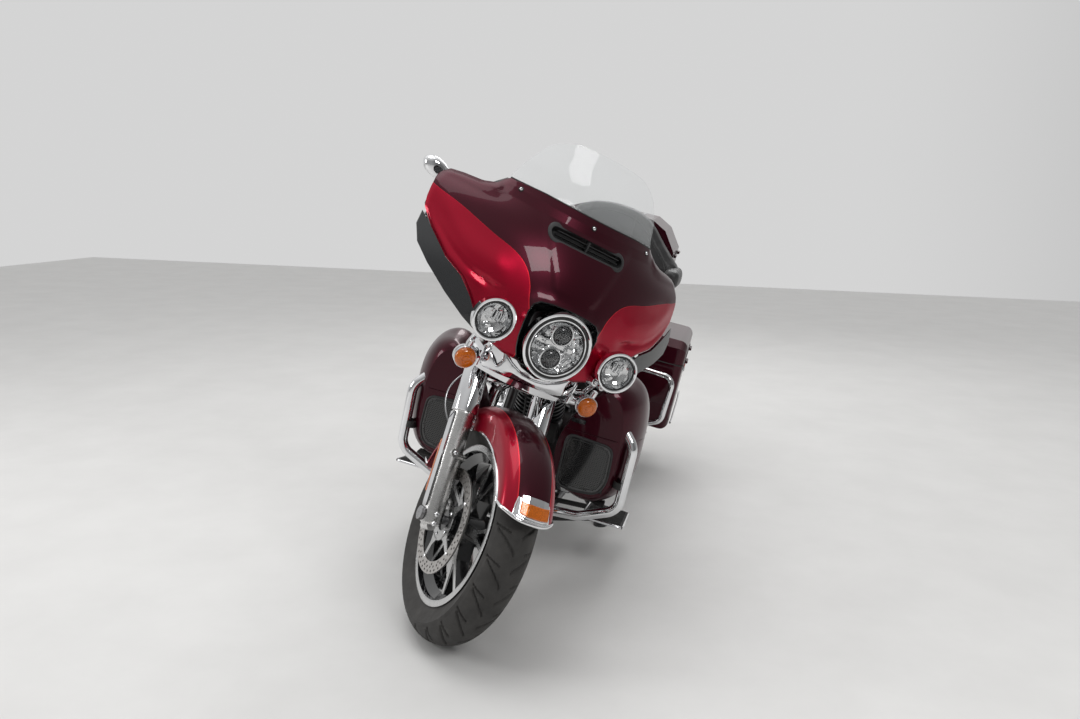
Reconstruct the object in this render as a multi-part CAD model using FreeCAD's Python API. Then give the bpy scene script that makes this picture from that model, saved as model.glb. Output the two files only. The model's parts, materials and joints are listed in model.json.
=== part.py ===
import FreeCAD, Part
import math
import os

# Touring cruiser motorcycle, full dress, parked on its side stand with the steering on its left stop.
# All lengths are millimetres. Each piece is first built on the upright bike with the steering straight:
# x is the rider's left, y runs backward from nose to tail, z is up, and the origin lies on the ground at
# mid wheelbase. park() then turns the fork, leans the bike and sets the three feet on the floor.

# Chassis geometry
WHEELBASE = 1625.0
RAKE = 26.0
FORK_ANGLE = 29.25
TRAIL = 170.0
STEER = 35.0
LEAN = 12.0
SEAT_HEIGHT = 740.0

# Tyres and wheels
FRONT_R = 320.0
FRONT_CROWN = 70.0
FRONT_HALF_WIDTH = 65.0
FRONT_RIM_R = 218.0
FRONT_RIM_HALF = 42.0
REAR_R = 320.0
REAR_CROWN = 110.0
REAR_HALF_WIDTH = 90.0
REAR_RIM_R = 203.0
REAR_RIM_HALF = 68.0
TYRE_WALL = 13.0
SPOKES = 5
AXLE_R = 12.5
BORE_CLEARANCE = 0.05
DISC_R = 150.0
DISC_X = 77.0
DISC_THICK = 5.0

# Fork
LEG_X = 118.0
TUBE_R = 24.5
SLIDER_R = 31.0
COVER_R = 37.0
SLIDER_LOW = -22.0
SLIDER_TOP = 302.0
COVER_TOP = 445.0
LOWER_CLAMP_S = (450.0, 482.0)
UPPER_CLAMP_S = (700.0, 728.0)
STEM_R = 14.0
NECK_R = 30.0

# Front fender
FENDER_HALF = 78.0
FENDER_R = 354.0
FENDER_SKIN = 3.0
FENDER_START = 34.5
FENDER_END = 182.0
FENDER_CROWN = ((78.0, 262.0), (78.0, 306.0), (75.5, 320.0), (69.0, 330.5), (58.0, 340.0), (44.0, 347.0),
                (24.0, 352.2), (0.0, 354.0))

# Fairing
HEADLAMP = (0.0, -757.0, 884.0)
HEADLAMP_R = 100.0
PASSING_LAMP = (206.0, -756.0, 886.0)
PASSING_R = 61.0
TURN_LAMP = (207.0, -698.0, 745.0)
TURN_R = 31.0
FAIRING_WALL = 4.0
SCREEN_THICK = 4.0

# Luggage
BAG_X = (250.0, 440.0)
BAG_Y = (530.0, 1120.0)
BAG_Z = (345.0, 640.0, 735.0)
BAG_WALL = 4.0
BAG_LID_OPEN = 75.0
CASE_X = 275.0
CASE_Y = (745.0, 1135.0)
CASE_Z = (865.0, 1045.0, 1180.0)
CASE_WALL = 4.0
BACKREST_GAP = 7.0
HINGE_R = 6.0
HINGE_PIN_R = 3.0
BAG_HINGES = (680.0, 980.0)
CASE_HINGES = (830.0, 1040.0)
CASE_LID_OPEN = 80.0
FUEL_DOOR_OPEN = 95.0

# Engine
CRANK = (-70.0, 372.0)
V_HALF = 22.5

# Number plate bracket: two bolts 146 mm apart, as on small plates
PLATE_PCD = 146.0
PLATE_HOLE_R = 3.5
PLATE_THICK = 4.0

# Footboards
FOOTBOARD_TILT = 12.0

# Side stand
STAND_PIVOT = (174.0, 160.0, 171.0)
STAND_FOOT = (300.0, 76.0)
STAND_R = 11.0
STAND_EYE_R = 17.0
STAND_EYE_HALF = 9.0
STAND_PIN_R = 7.0
STAND_FOLDED = (0.22, 0.96, -0.12)
STAND_PAD_R = 26.0
STAND_PAD_THICK = 8.0
STAND_FOLD = 88.0

FRONT_AXLE_Y = -WHEELBASE / 2
REAR_AXLE_Y = WHEELBASE / 2
STEER_GROUND_Y = FRONT_AXLE_Y - TRAIL


def vec(x, y, z):
    return FreeCAD.Vector(x, y, z)


STEER_AXIS = vec(0, math.sin(math.radians(RAKE)), math.cos(math.radians(RAKE)))
LEG_UP = vec(0, math.sin(math.radians(FORK_ANGLE)), math.cos(math.radians(FORK_ANGLE)))
LEG_BACK = vec(0, math.cos(math.radians(FORK_ANGLE)), -math.sin(math.radians(FORK_ANGLE)))


def leg_point(x, s, v=0.0):
    """A point by distance s up the fork leg from the front axle and v behind it."""
    return vec(x, FRONT_AXLE_Y, FRONT_R) + LEG_UP * s + LEG_BACK * v


def steer_point(z):
    """The point of the steering axis at height z."""
    return vec(0, STEER_GROUND_Y, 0) + STEER_AXIS * (z / STEER_AXIS.z)


def rod(start, end, radius):
    """Solid cylinder between two points."""
    along = end - start
    return Part.makeCylinder(radius, along.Length, start, along)


def cone(start, end, radius_start, radius_end):
    """Solid cone between two points."""
    along = end - start
    return Part.makeCone(radius_start, radius_end, along.Length, start, along)


def block(x_range, y_range, z_range, edge=0.0):
    """Box by its ranges, with all edges rounded if edge is given."""
    low = vec(x_range[0], y_range[0], z_range[0])
    solid = Part.makeBox(x_range[1] - x_range[0], y_range[1] - y_range[0], z_range[1] - z_range[0], low)
    return solid.makeFillet(edge, solid.Edges) if edge else solid


def leg_block(x_range, v_range, s_range, edge=0.0):
    """Box in the fork's own directions: across, behind the legs and up the legs."""
    solid = block(x_range, v_range, s_range, edge)
    turn = FreeCAD.Rotation(vec(1, 0, 0), -FORK_ANGLE)
    solid.Placement = FreeCAD.Placement(vec(0, FRONT_AXLE_Y, FRONT_R), turn)
    return solid


def pipe(corners, bend, radius):
    """Round bar along straight runs joined by tangent arcs."""
    edges = []
    start = corners[0]
    for before, corner, after in zip(corners, corners[1:], corners[2:]):
        one = (before - corner).normalize()
        two = (after - corner).normalize()
        half = one.getAngle(two) / 2
        back = bend / math.tan(half)
        arc_in = corner + one * back
        arc_out = corner + two * back
        middle = corner + (one + two).normalize() * (bend / math.sin(half) - bend)
        edges.append(Part.LineSegment(start, arc_in).toShape())
        edges.append(Part.Arc(arc_in, middle, arc_out).toShape())
        start = arc_out
    edges.append(Part.LineSegment(start, corners[-1]).toShape())
    circle = Part.Wire(Part.Circle(corners[0], corners[1] - corners[0], radius).toShape())
    return Part.Wire(edges).makePipeShell([circle], True, False)


def polygon(points):
    """Closed flat wire through the points."""
    return Part.makePolygon(points + [points[0]])


def prism(points, along):
    """Solid from a closed polygon, pushed along a vector."""
    return Part.Face(polygon(points)).extrude(along)


def turned(profile, y, z, start=0.0, sweep=360.0):
    """Ring about a cross axle at (y, z) from a closed outline of (x, radius) points.

    Angles run from straight forward, up and over to the back.
    """
    points = [vec(x, y - radius, z) for x, radius in profile]
    face = Part.Face(polygon(points))
    face.rotate(vec(0, y, z), vec(1, 0, 0), -start)
    return face.revolve(vec(0, y, z), vec(1, 0, 0), -sweep)


def spun(profile, origin, axis):
    """Solid of revolution from (distance along axis, radius) points that start and end on the axis."""
    points = [vec(radius, 0, along) for along, radius in profile]
    solid = Part.Face(polygon(points)).revolve(vec(0, 0, 0), vec(0, 0, 1), 360)
    solid.Placement = FreeCAD.Placement(origin, FreeCAD.Rotation(vec(0, 0, 1), axis))
    return solid


def arc_points(centre, radius, start, end, steps):
    """Points (x, radius) of an arc in a wheel's section, angles from straight out."""
    angles = [math.radians(start + (end - start) * i / steps) for i in range(steps + 1)]
    return [(centre[0] + radius * math.sin(a), centre[1] + radius * math.cos(a)) for a in angles]


def mirrored(shape):
    """The same piece on the other side of the bike."""
    return shape.mirror(vec(0, 0, 0), vec(1, 0, 0))


def pair(shape):
    """A left piece and its mirror image."""
    return Part.makeCompound([shape, mirrored(shape)])


def fused(shapes):
    """One solid from touching or crossing pieces."""
    return shapes[0].multiFuse(shapes[1:]).removeSplitter()


def solids_of(shape):
    """Compound of a shape's solids, without crumbs a cut may leave."""
    largest = max(solid.Volume for solid in shape.Solids)
    return Part.makeCompound([solid for solid in shape.Solids if solid.Volume > 0.03 * largest])


def ring_section(half_width, top, bottom, shoulder, y, count=24):
    """Closed smooth section across the bike at y: an oval with its widest point at shoulder height."""
    points = []
    for i in range(count):
        angle = 2 * math.pi * i / count
        x = half_width * math.copysign(abs(math.sin(angle)) ** 0.8, math.sin(angle))
        rise = math.cos(angle)
        reach = top - shoulder if rise > 0 else shoulder - bottom
        z = shoulder + reach * math.copysign(abs(rise) ** 0.8, rise)
        points.append(vec(x, y, z))
    curve = Part.BSplineCurve()
    curve.interpolate(Points=points, PeriodicFlag=True)
    return Part.Wire(curve.toShape())


def lofted(sections):
    """Solid through sections (y, half width, top, bottom, shoulder)."""
    wires = [ring_section(half, top, bottom, shoulder, y) for y, half, top, bottom, shoulder in sections]
    return Part.makeLoft(wires, True, False)


# Front wheel

def tyre(y, z, radius, crown, half_width, rim_r, rim_half):
    """Tyre as a thick ring, open on the rim side."""
    centre = (0.0, radius - crown)
    reach = math.degrees(math.asin(half_width / crown))
    outer = arc_points(centre, crown, -reach, reach, 16)
    inner = arc_points(centre, crown - TYRE_WALL, reach * 0.82, -reach * 0.82, 12)
    right_bead = [(rim_half, rim_r + 12.0), (rim_half, rim_r), (rim_half - 14.0, rim_r)]
    left_bead = [(-x, r) for x, r in reversed(right_bead)]
    return turned(outer + right_bead + inner + left_bead, y, z)


def rim(y, z, rim_r, rim_half):
    """Rim well and flanges."""
    right = [(rim_half - 14.0, rim_r), (rim_half, rim_r), (rim_half, rim_r + 12.0), (rim_half + 5.0, rim_r + 12.0),
             (rim_half + 5.0, rim_r - 6.0), (rim_half - 10.0, rim_r - 9.0), (12.0, rim_r - 30.0)]
    left = [(-x, r) for x, r in reversed(right)]
    well = [(-20.0, rim_r - 14.0), (20.0, rim_r - 14.0)]
    return turned(right + left + well, y, z)


def spoke(y, z, angle, hub_r, rim_r, half):
    """One spoke that forks into two prongs at the rim."""
    outline = ((-16.0, hub_r - 6), (-14.0, hub_r + 48), (-46.0, rim_r - 30), (-29.0, rim_r - 26),
               (0.0, hub_r + 72), (29.0, rim_r - 26), (46.0, rim_r - 30), (14.0, hub_r + 48), (16.0, hub_r - 6))
    solid = prism([vec(-half, y + side, z + reach) for side, reach in outline], vec(2 * half, 0, 0))
    solid.rotate(vec(0, y, z), vec(1, 0, 0), angle)
    return solid


def wheel(y, z, rim_r, rim_half, hub_half, hub_r):
    """Cast wheel: rim, forked spokes that thin outward, and hub with its bore."""
    hub = turned([(-hub_half, AXLE_R + BORE_CLEARANCE), (hub_half, AXLE_R + BORE_CLEARANCE), (hub_half, hub_r - 8),
                  (hub_half - 12, hub_r), (-hub_half + 12, hub_r), (-hub_half, hub_r - 8)], y, z)
    taper = turned([(-24, hub_r - 8), (24, hub_r - 8), (13, rim_r - 20), (-13, rim_r - 20)], y, z)
    spokes = [spoke(y, z, 360.0 * i / SPOKES, hub_r, rim_r, 26.0).common(taper) for i in range(SPOKES)]
    return fused([rim(y, z, rim_r, rim_half), hub] + spokes)


def disc(y, z, x_inner, thick, outer_r, hub_r):
    """Brake disc with its carrier."""
    band = turned([(x_inner, outer_r - 32), (x_inner + thick, outer_r - 32), (x_inner + thick, outer_r),
                   (x_inner, outer_r)], y, z)
    centre = turned([(x_inner, hub_r), (x_inner + thick, hub_r), (x_inner + thick, hub_r + 26),
                     (x_inner, hub_r + 26)], y, z)
    arms = []
    for i in range(5):
        arm = block((x_inner, x_inner + thick), (y - 9, y + 9), (z + hub_r + 20, z + outer_r - 28))
        arm.rotate(vec(0, y, z), vec(1, 0, 0), 72.0 * i)
        arms.append(arm)
    return fused([band, centre] + arms)


def front_tyre():
    return tyre(FRONT_AXLE_Y, FRONT_R, FRONT_R, FRONT_CROWN, FRONT_HALF_WIDTH, FRONT_RIM_R, FRONT_RIM_HALF)


def front_wheel():
    return wheel(FRONT_AXLE_Y, FRONT_R, FRONT_RIM_R, FRONT_RIM_HALF, DISC_X, 46.0)


def front_discs():
    return pair(disc(FRONT_AXLE_Y, FRONT_R, DISC_X, DISC_THICK, DISC_R, 28.0))


def rear_tyre():
    return tyre(REAR_AXLE_Y, REAR_R, REAR_R, REAR_CROWN, REAR_HALF_WIDTH, REAR_RIM_R, REAR_RIM_HALF)


def rear_wheel():
    return wheel(REAR_AXLE_Y, REAR_R, REAR_RIM_R, REAR_RIM_HALF, 98.0, 56.0)


def rear_disc():
    return mirrored(disc(REAR_AXLE_Y, REAR_R, 98.0, 6.0, 148.0, 28.0))


def rear_pulley():
    y, z = REAR_AXLE_Y, REAR_R
    return turned([(98, 28), (112, 28), (112, 60), (106, 64), (106, 88), (124, 90), (124, 108), (98, 108),
                   (98, 88), (98, 64)], y, z)


# Fork

def front_axle():
    y, z = FRONT_AXLE_Y, FRONT_R
    bar = rod(vec(-LEG_X - 30, y, z), vec(LEG_X + 30, y, z), AXLE_R)
    head = rod(vec(LEG_X + 30, y, z), vec(LEG_X + 38, y, z), 19)
    nut = rod(vec(-LEG_X - 30, y, z), vec(-LEG_X - 40, y, z), 19)
    return fused([bar, head, nut])


def fork_sliders():
    leg = rod(leg_point(LEG_X, SLIDER_LOW + 14), leg_point(LEG_X, SLIDER_TOP - 34), SLIDER_R)
    foot = cone(leg_point(LEG_X, SLIDER_LOW), leg_point(LEG_X, SLIDER_LOW + 14), SLIDER_R - 8, SLIDER_R)
    collar = rod(leg_point(LEG_X, SLIDER_TOP - 34), leg_point(LEG_X, SLIDER_TOP), SLIDER_R + 2)
    boss = rod(vec(LEG_X - SLIDER_R, FRONT_AXLE_Y, FRONT_R), vec(LEG_X + SLIDER_R - 1, FRONT_AXLE_Y, FRONT_R), 24)
    lugs = [leg_block((LEG_X - 8, LEG_X + 8), (SLIDER_R - 6, SLIDER_R + 22), (s - 14, s + 14)) for s in (78, 172)]
    side = fused([leg, foot, collar, boss] + lugs)
    side = side.cut(rod(vec(0, FRONT_AXLE_Y, FRONT_R), vec(LEG_X + 60, FRONT_AXLE_Y, FRONT_R), AXLE_R))
    return pair(side)


def fork_covers():
    top = COVER_TOP
    outer = fused([cone(leg_point(LEG_X, SLIDER_TOP), leg_point(LEG_X, SLIDER_TOP + 18), SLIDER_R + 3, COVER_R),
                   rod(leg_point(LEG_X, SLIDER_TOP + 18), leg_point(LEG_X, top), COVER_R)])
    bore = rod(leg_point(LEG_X, SLIDER_TOP - 1), leg_point(LEG_X, top + 1), TUBE_R)
    return pair(outer.cut(bore))


def triple_clamps():
    """Fork tubes, both clamps and the steering stem as one piece."""
    tubes = [rod(leg_point(x, SLIDER_TOP), leg_point(x, UPPER_CLAMP_S[1] + 10), TUBE_R) for x in (LEG_X, -LEG_X)]
    clamps = []
    for low, high in (LOWER_CLAMP_S, UPPER_CLAMP_S):
        clamps.append(leg_block((-LEG_X, LEG_X), (-62, 26), (low, high)))
        clamps += [rod(leg_point(x, low), leg_point(x, high), COVER_R) for x in (LEG_X, -LEG_X)]
    low_z = leg_point(0, LOWER_CLAMP_S[0]).z
    high_z = leg_point(0, UPPER_CLAMP_S[1]).z
    stem = rod(steer_point(low_z + 24), steer_point(high_z + 18), STEM_R)
    return fused(tubes + clamps + [stem])


def front_fender():
    """Arched guard over the tyre with deeper sides between the legs, and pads that meet the sliders."""
    y, z = FRONT_AXLE_Y, FRONT_R
    outer = [(-x, r) for x, r in FENDER_CROWN] + list(reversed(FENDER_CROWN[:-1]))
    inner = [(x * (1 - FENDER_SKIN / FENDER_HALF), min(r, r - FENDER_SKIN if r > 300 else r)) for x, r in outer]
    shell = turned(outer + list(reversed(inner)), y, z, FENDER_START, FENDER_END - FENDER_START)
    hem = Part.makeCylinder(332.0, 400, vec(-200, y - 6, z - 72), vec(1, 0, 0))
    shell = shell.cut(hem)
    pads = [leg_block((FENDER_HALF - 1, FENDER_HALF + 13), (-18, 18), (s - 16, s + 16)) for s in (268.0, 292.0)]
    return fused([shell] + pads + [mirrored(pad) for pad in pads])


def fender_tip_lamp():
    """Bezel with the lens on the fender's nose."""
    y, z = FRONT_AXLE_Y, FRONT_R
    outline = [(-40.0, 346.6), (-20.0, 351.0), (0.0, 352.4), (20.0, 351.0), (40.0, 346.6), (38.0, FENDER_R + 4),
               (22.0, FENDER_R + 8), (0.0, FENDER_R + 9), (-22.0, FENDER_R + 8), (-38.0, FENDER_R + 4)]
    return turned(outline, y, z, FENDER_START + 2.0, 8.0)


def front_calipers():
    """Brake calipers behind the legs, straddling the discs."""
    x0 = DISC_X - 16
    body = leg_block((x0, LEG_X - 9), (SLIDER_R + 8, SLIDER_R + 74), (60, 190), 7.0)
    slot = turned([(DISC_X - 3, 60.0), (DISC_X + DISC_THICK + 3, 60.0), (DISC_X + DISC_THICK + 3, DISC_R + 5),
                   (DISC_X - 3, DISC_R + 5)], FRONT_AXLE_Y, FRONT_R)
    bridge = leg_block((LEG_X - 10, LEG_X + 8), (SLIDER_R + 14, SLIDER_R + 34), (66, 184))
    return pair(fused([body, bridge]).cut(slot))


# Fairing

FAIRING_SECTIONS = (
    # z, y at the centre, y at the reference half width
    (760.0, -722.0, -560.0),
    (850.0, -731.0, -556.0),
    (960.0, -716.0, -540.0),
    (1063.0, -681.0, -482.0),
    (1150.0, -629.0, -422.0),
    (1211.0, -588.0, -312.0),
    (1270.0, -548.0, -250.0),
)
FAIRING_REF = 445.0
FAIRING_OUTLINE = ((0.0, 1236.0), (150.0, 1236.0), (255.0, 1230.0), (288.0, 1200.0), (322.0, 1187.0), (372.0, 1180.0),
                   (410.0, 1172.0), (436.0, 1145.0), (446.0, 1105.0), (444.0, 1050.0), (412.0, 1008.0),
                   (360.0, 962.0), (308.0, 938.0), (266.0, 900.0), (222.0, 846.0), (190.0, 820.0), (120.0, 800.0),
                   (0.0, 795.0))


def bowed_slab(sections, start, thick):
    """Slab of a bowed face given by sections, from start behind the face and thick along y."""
    grid = []
    for z, centre, tip in sections:
        xs = [FAIRING_REF * 1.2 * (i / 6.0 - 1.0) for i in range(13)]
        grid.append([vec(x, centre + (tip - centre) * (x / FAIRING_REF) ** 2 + start, z) for x in xs])
    surface = Part.BSplineSurface()
    surface.interpolate(grid)
    return surface.toShape().extrude(vec(0, thick, 0))


def fairing_slab(start, thick):
    """Slab of the fairing's own face."""
    return bowed_slab(FAIRING_SECTIONS, start, thick)


def outline_prism(inset, front=-800.0, back=-300.0):
    """The fairing's outline seen from the front as a block, made smaller by inset."""
    half = [(x, z) for x, z in FAIRING_OUTLINE]
    points = [vec(x, front, z) for x, z in half] + [vec(-x, front, z) for x, z in reversed(half[1:-1])]
    wire = polygon(points)
    if inset:
        wire = wire.makeOffset2D(-inset, 2)
    return Part.Face(wire).extrude(vec(0, back - front, 0))


def outer_fairing():
    """Bowed front shell with its lamp hole and vent slot."""
    shell = fairing_slab(0.0, FAIRING_WALL).common(outline_prism(0.0, -800.0, -405.0))
    shell = shell.cut(rod(vec(0, -820, HEADLAMP[2]), vec(0, -600, HEADLAMP[2]), HEADLAMP_R))
    return solids_of(shell.cut(vent_slot(0.0)))


def vent_slot(inset):
    """Stadium-shaped block of the vent under the screen."""
    half, rise, z = 108.0 - inset, 19.0 - inset, 1159.0
    middle = block((-half, half), (-700, -560), (z - rise, z + rise))
    ends = [rod(vec(x, -700, z), vec(x, -560, z), rise) for x in (half, -half)]
    return fused([middle] + ends)


def fairing_vent():
    """Trim ring with a middle strut in the vent slot."""
    band = fairing_slab(-3.0, FAIRING_WALL + 11.0)
    trim = band.common(vent_slot(0.0)).cut(vent_slot(9.0))
    strut = band.common(block((-16, 16), (-700, -560), (1135, 1185))).common(vent_slot(0.0))
    return solids_of(fused([trim, strut]))


def inner_fairing():
    """Dash behind the shell: a bowl whose rim meets the shell's back."""
    solid = fairing_slab(FAIRING_WALL, 500.0).common(outline_prism(7.0, -800.0, -440.0))
    pocket = fairing_slab(FAIRING_WALL - 1.0, 500.0).common(outline_prism(13.0, -800.0, -452.0))
    keep = block((-500, 500), (-790, -440), (930, 1232))
    return solid.cut(pocket).common(keep)


SCREEN_SECTIONS = (
    # z, y at the centre, y at the reference half width
    (1150.0, -629.0, -422.0),
    (1211.0, -588.0, -312.0),
    (1240.0, -568.0, -280.0),
    (1300.0, -545.0, -258.0),
    (1360.0, -520.0, -236.0),
    (1430.0, -490.0, -210.0),
)
SCREEN_OUTLINE = ((0.0, 1412.0), (60.0, 1411.0), (110.0, 1404.0), (155.0, 1388.0), (190.0, 1360.0), (218.0, 1322.0),
                  (238.0, 1275.0), (250.0, 1228.0), (240.0, 1212.0), (120.0, 1196.0), (0.0, 1190.0))


def windshield():
    """Clear bowed screen on the front of the fairing's top edge."""
    sheet = bowed_slab(SCREEN_SECTIONS, -SCREEN_THICK - 1.0, SCREEN_THICK)
    points = [vec(x, -800, z) for x, z in SCREEN_OUTLINE]
    points += [vec(-x, -800, z) for x, z in reversed(SCREEN_OUTLINE[1:-1])]
    feet = [rod(vec(x, y - 6, 1211), vec(x, y + 4, 1211), 6) for x, y in ((0, -590), (224, -521), (-224, -521))]
    return fused([sheet.common(prism(points, vec(0, 500, 0)))] + feet)


def lamp_shell(centre, radius, depth, rim_depth):
    """Round bowl with an open front, its rim at the centre point."""
    x, y, z = centre
    outer = [(0, 0), (0, radius), (rim_depth, radius), (depth * 0.6, radius * 0.82), (depth, radius * 0.35),
             (depth, 0)]
    inner = [(-1, 0), (-1, radius - 8), (rim_depth, radius - 8), (depth * 0.55, radius * 0.82 - 9),
             (depth - 6, radius * 0.3 - 4), (depth - 6, 0)]
    origin = vec(x, y, z)
    back = vec(0, 1, 0)
    return spun(outer, origin, back).cut(spun(inner, origin, back))


def lamp_lens(centre, radius, rim_depth):
    """Domed glass that fills the lamp's mouth."""
    x, y, z = centre
    profile = [(-6, 0), (-4, radius * 0.6), (2, radius - 8), (rim_depth * 0.6, radius - 8), (rim_depth * 0.6, 0)]
    return spun(profile, vec(x, y, z), vec(0, 1, 0))


def headlamp_shell():
    return lamp_shell(HEADLAMP, HEADLAMP_R, 105.0, 26.0)


def headlamp_lens():
    return lamp_lens(HEADLAMP, HEADLAMP_R, 26.0)


def passing_lamp_shells():
    return pair(lamp_shell(PASSING_LAMP, PASSING_R, 72.0, 20.0))


def passing_lamp_lenses():
    return pair(lamp_lens(PASSING_LAMP, PASSING_R, 20.0))


def turn_signal_shells():
    """Bullet lamps with stalks to the lamp bar."""
    shell = lamp_shell(TURN_LAMP, TURN_R, 58.0, 24.0)
    return pair(shell)


def turn_signal_lenses():
    return pair(lamp_lens(TURN_LAMP, TURN_R, 24.0))


def lamp_arms():
    """Brackets from the nacelle's sides to the side lamps."""
    x, y, z = PASSING_LAMP
    tx, ty, tz = TURN_LAMP
    arm = pipe([vec(NACELLE_X - 3, -640, 756), vec(x - 6, -650, 770), vec(x, y + 54, z - 38)], 14, 8)
    stalk = rod(vec(NACELLE_X - 3, -640, 742), vec(tx - TURN_R + 12, ty + 30, tz), 8)
    return [arm, stalk, mirrored(arm), mirrored(stalk)]


NACELLE_X = 160.0
NACELLE_SECTIONS = (
    # z, y at the centre, y at the reference half width
    (700.0, -708.0, -250.0),
    (760.0, -722.0, -264.0),
    (830.0, -730.0, -272.0),
)
NACELLE_OUTLINE = ((0.0, 722.0), (150.0, 722.0), (160.0, 732.0), (160.0, 790.0), (146.0, 808.0), (118.0, 800.0),
                   (92.0, 806.0), (78.0, 800.0), (52.0, 784.0), (0.0, 771.0))


def fork_nacelle():
    """Bright swept cover under the headlamp, from leg to leg, with the arms of the side lamps."""
    points = [vec(x, -800, z) for x, z in NACELLE_OUTLINE]
    points += [vec(-x, -800, z) for x, z in reversed(NACELLE_OUTLINE[1:-1])]
    front = bowed_slab(NACELLE_SECTIONS, 0.0, 4.0).common(prism(points, vec(0, 300, 0)))
    side = block((NACELLE_X - 4, NACELLE_X), (-668, -575), (724, 786))
    post = block((-16, 16), (-715, -636), (725, 737))
    return fused([front, side, mirrored(side), post] + lamp_arms())


def air_deflectors():
    """Smoked fins below the fairing's wings."""
    outline = [(448.0, 1038.0), (452.0, 1000.0), (436.0, 960.0), (396.0, 925.0), (330.0, 880.0), (262.0, 842.0),
               (214.0, 822.0), (222.0, 846.0), (266.0, 900.0), (308.0, 938.0), (360.0, 962.0), (412.0, 1008.0)]
    points = [vec(x, -800, z) for x, z in outline]
    fin = fairing_slab(-5.0, 5.0).common(prism(points, vec(0, 500, 0)))
    return pair(solids_of(fin))


def mirrors():
    """Mirror heads with arms to the dash."""
    head = block((326, 458), (-308, -272), (1110, 1176), 15.0)
    arm = pipe([vec(400, -286, 1122), vec(396, -380, 1112), vec(385, -452, 1110)], 20, 8)
    return pair(fused([head, arm]))


# Controls

BAR_INNER = vec(223, -384, 1027)
BAR_END = vec(378, -322, 1010)


def handlebar():
    """One bent bar with its risers on the top clamp."""
    top = leg_point(0, UPPER_CLAMP_S[1])
    right = [vec(90, -448, 1005), vec(130, -440, 1040), BAR_INNER, BAR_END]
    points = [vec(-point.x, point.y, point.z) for point in reversed(right)] + right
    bar = pipe(points, 40, 12.7)
    risers = [rod(vec(x, top.y + 8, top.z - 6), vec(x, -448, 1006), 15) for x in (45, -45)]
    return fused([bar] + risers)


def grips():
    """Rubber grips on the bar's ends."""
    start = BAR_END
    inner = BAR_INNER
    along = (start - inner).normalize()
    grip = rod(inner + along * 55, start + along * 4, 17.5)
    cap = rod(start + along * 4, start + along * 10, 19.0)
    bore = rod(inner, start, 12.7)
    return pair(fused([grip, cap]).cut(bore))


def hand_controls():
    """Switch housings with the levers in front of the grips."""
    start = BAR_END
    inner = BAR_INNER
    along = (start - inner).normalize()
    housing = rod(inner + along * 12, inner + along * 54, 24)
    front = vec(-along.y, along.x, 0).normalize() * -1
    if front.y > 0:
        front = front * -1
    perch = rod(inner + along * 30, inner + along * 30 + front * 52, 11)
    lever = pipe([inner + along * 30 + front * 50, inner + along * 90 + front * 58,
                  start + along * -6 + front * 44], 30, 6)
    bore = rod(inner - along * 20, start, 12.7)
    return pair(fused([housing, perch, lever]).cut(bore))


# Frame and engine

def frame():
    """Neck, backbone, cradle and rear rails."""
    neck_low = leg_point(0, LOWER_CLAMP_S[1]).z + 26
    neck_high = leg_point(0, UPPER_CLAMP_S[0]).z - 4
    neck = rod(steer_point(neck_low), steer_point(neck_high), NECK_R)
    spine = pipe([steer_point(850), vec(0, -420, 835), vec(0, 130, 815), vec(0, 262, 640)], 60, 24)
    cradle = pipe([steer_point(805) + vec(14, 20, 0), vec(34, -440, 700), vec(70, -408, 400), vec(120, -370, 200),
                   vec(140, 100, 178), vec(142, 300, 230), vec(142, 330, 480), vec(20, 250, 650)], 45, 16)
    rail = pipe([vec(14, 226, 660), vec(122, 320, 622), vec(126, 540, 636), vec(126, 900, 712)], 50, 13)
    cross = rod(vec(-140, -100, 199), vec(140, -100, 199), 14)
    front_mount = block((-40, 40), (-412, CRANK[0] - 110), (320, 344), 6)
    fender_bar = rod(vec(-126, 640, 650), vec(126, 640, 650), 10)
    fork_end = rod(vec(-150, 300, 330), vec(150, 300, 330), 17)
    tie = rod(vec(-84, -404, 332), vec(84, -404, 332), 15)
    tubes = [neck, spine, cradle, mirrored(cradle), rail, mirrored(rail), cross, fork_end, front_mount, tie,
             fender_bar]
    struts = [rod(vec(126, 600, 648), vec(BAG_X[0], 600, 600), 8), rod(vec(126, 880, 706), vec(BAG_X[0], 880, 630), 8),
              rod(vec(142, 335, 420), vec(BAG_X[0] + 20, BAG_Y[0] + 1, 500), 8)]
    tubes += struts + [mirrored(strut) for strut in struts]
    return fused(tubes + [stand_lug()]).cut(rod(steer_point(neck_low - 5), steer_point(neck_high + 5),
                                              STEM_R + BORE_CLEARANCE))


def along_cylinder(sign, distance):
    """Point on a cylinder's centre line: sign -1 is the front cylinder."""
    angle = math.radians(V_HALF) * sign
    return vec(0, CRANK[0] + math.sin(angle) * distance, CRANK[1] + math.cos(angle) * distance)


def crankcase():
    """Crankcase and gearbox as one heavy block."""
    case = Part.makeCylinder(128, 230, vec(-115, CRANK[0], CRANK[1]), vec(1, 0, 0))
    deck = block((-95, 95), (CRANK[0] - 120, CRANK[0] + 120), (CRANK[1], CRANK[1] + 118), 10)
    sump = block((-100, 100), (-165, 60), (210, CRANK[1]), 14)
    gearbox = block((-102, 97), (20, 278), (248, 468), 18)
    return fused([case, deck, sump, gearbox])


def engine():
    """Crankcase, gearbox and two finned barrels in a narrow V, one heavy piece."""
    stacks = []
    for sign in (-1, 1):
        barrel = rod(along_cylinder(sign, 100), along_cylinder(sign, 345), 66)
        fins = [rod(along_cylinder(sign, 142 + 17 * i), along_cylinder(sign, 148 + 17 * i), 92 if i < 8 else 98)
                for i in range(11)]
        stacks += [barrel] + fins
    return fused([crankcase()] + stacks)


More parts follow.
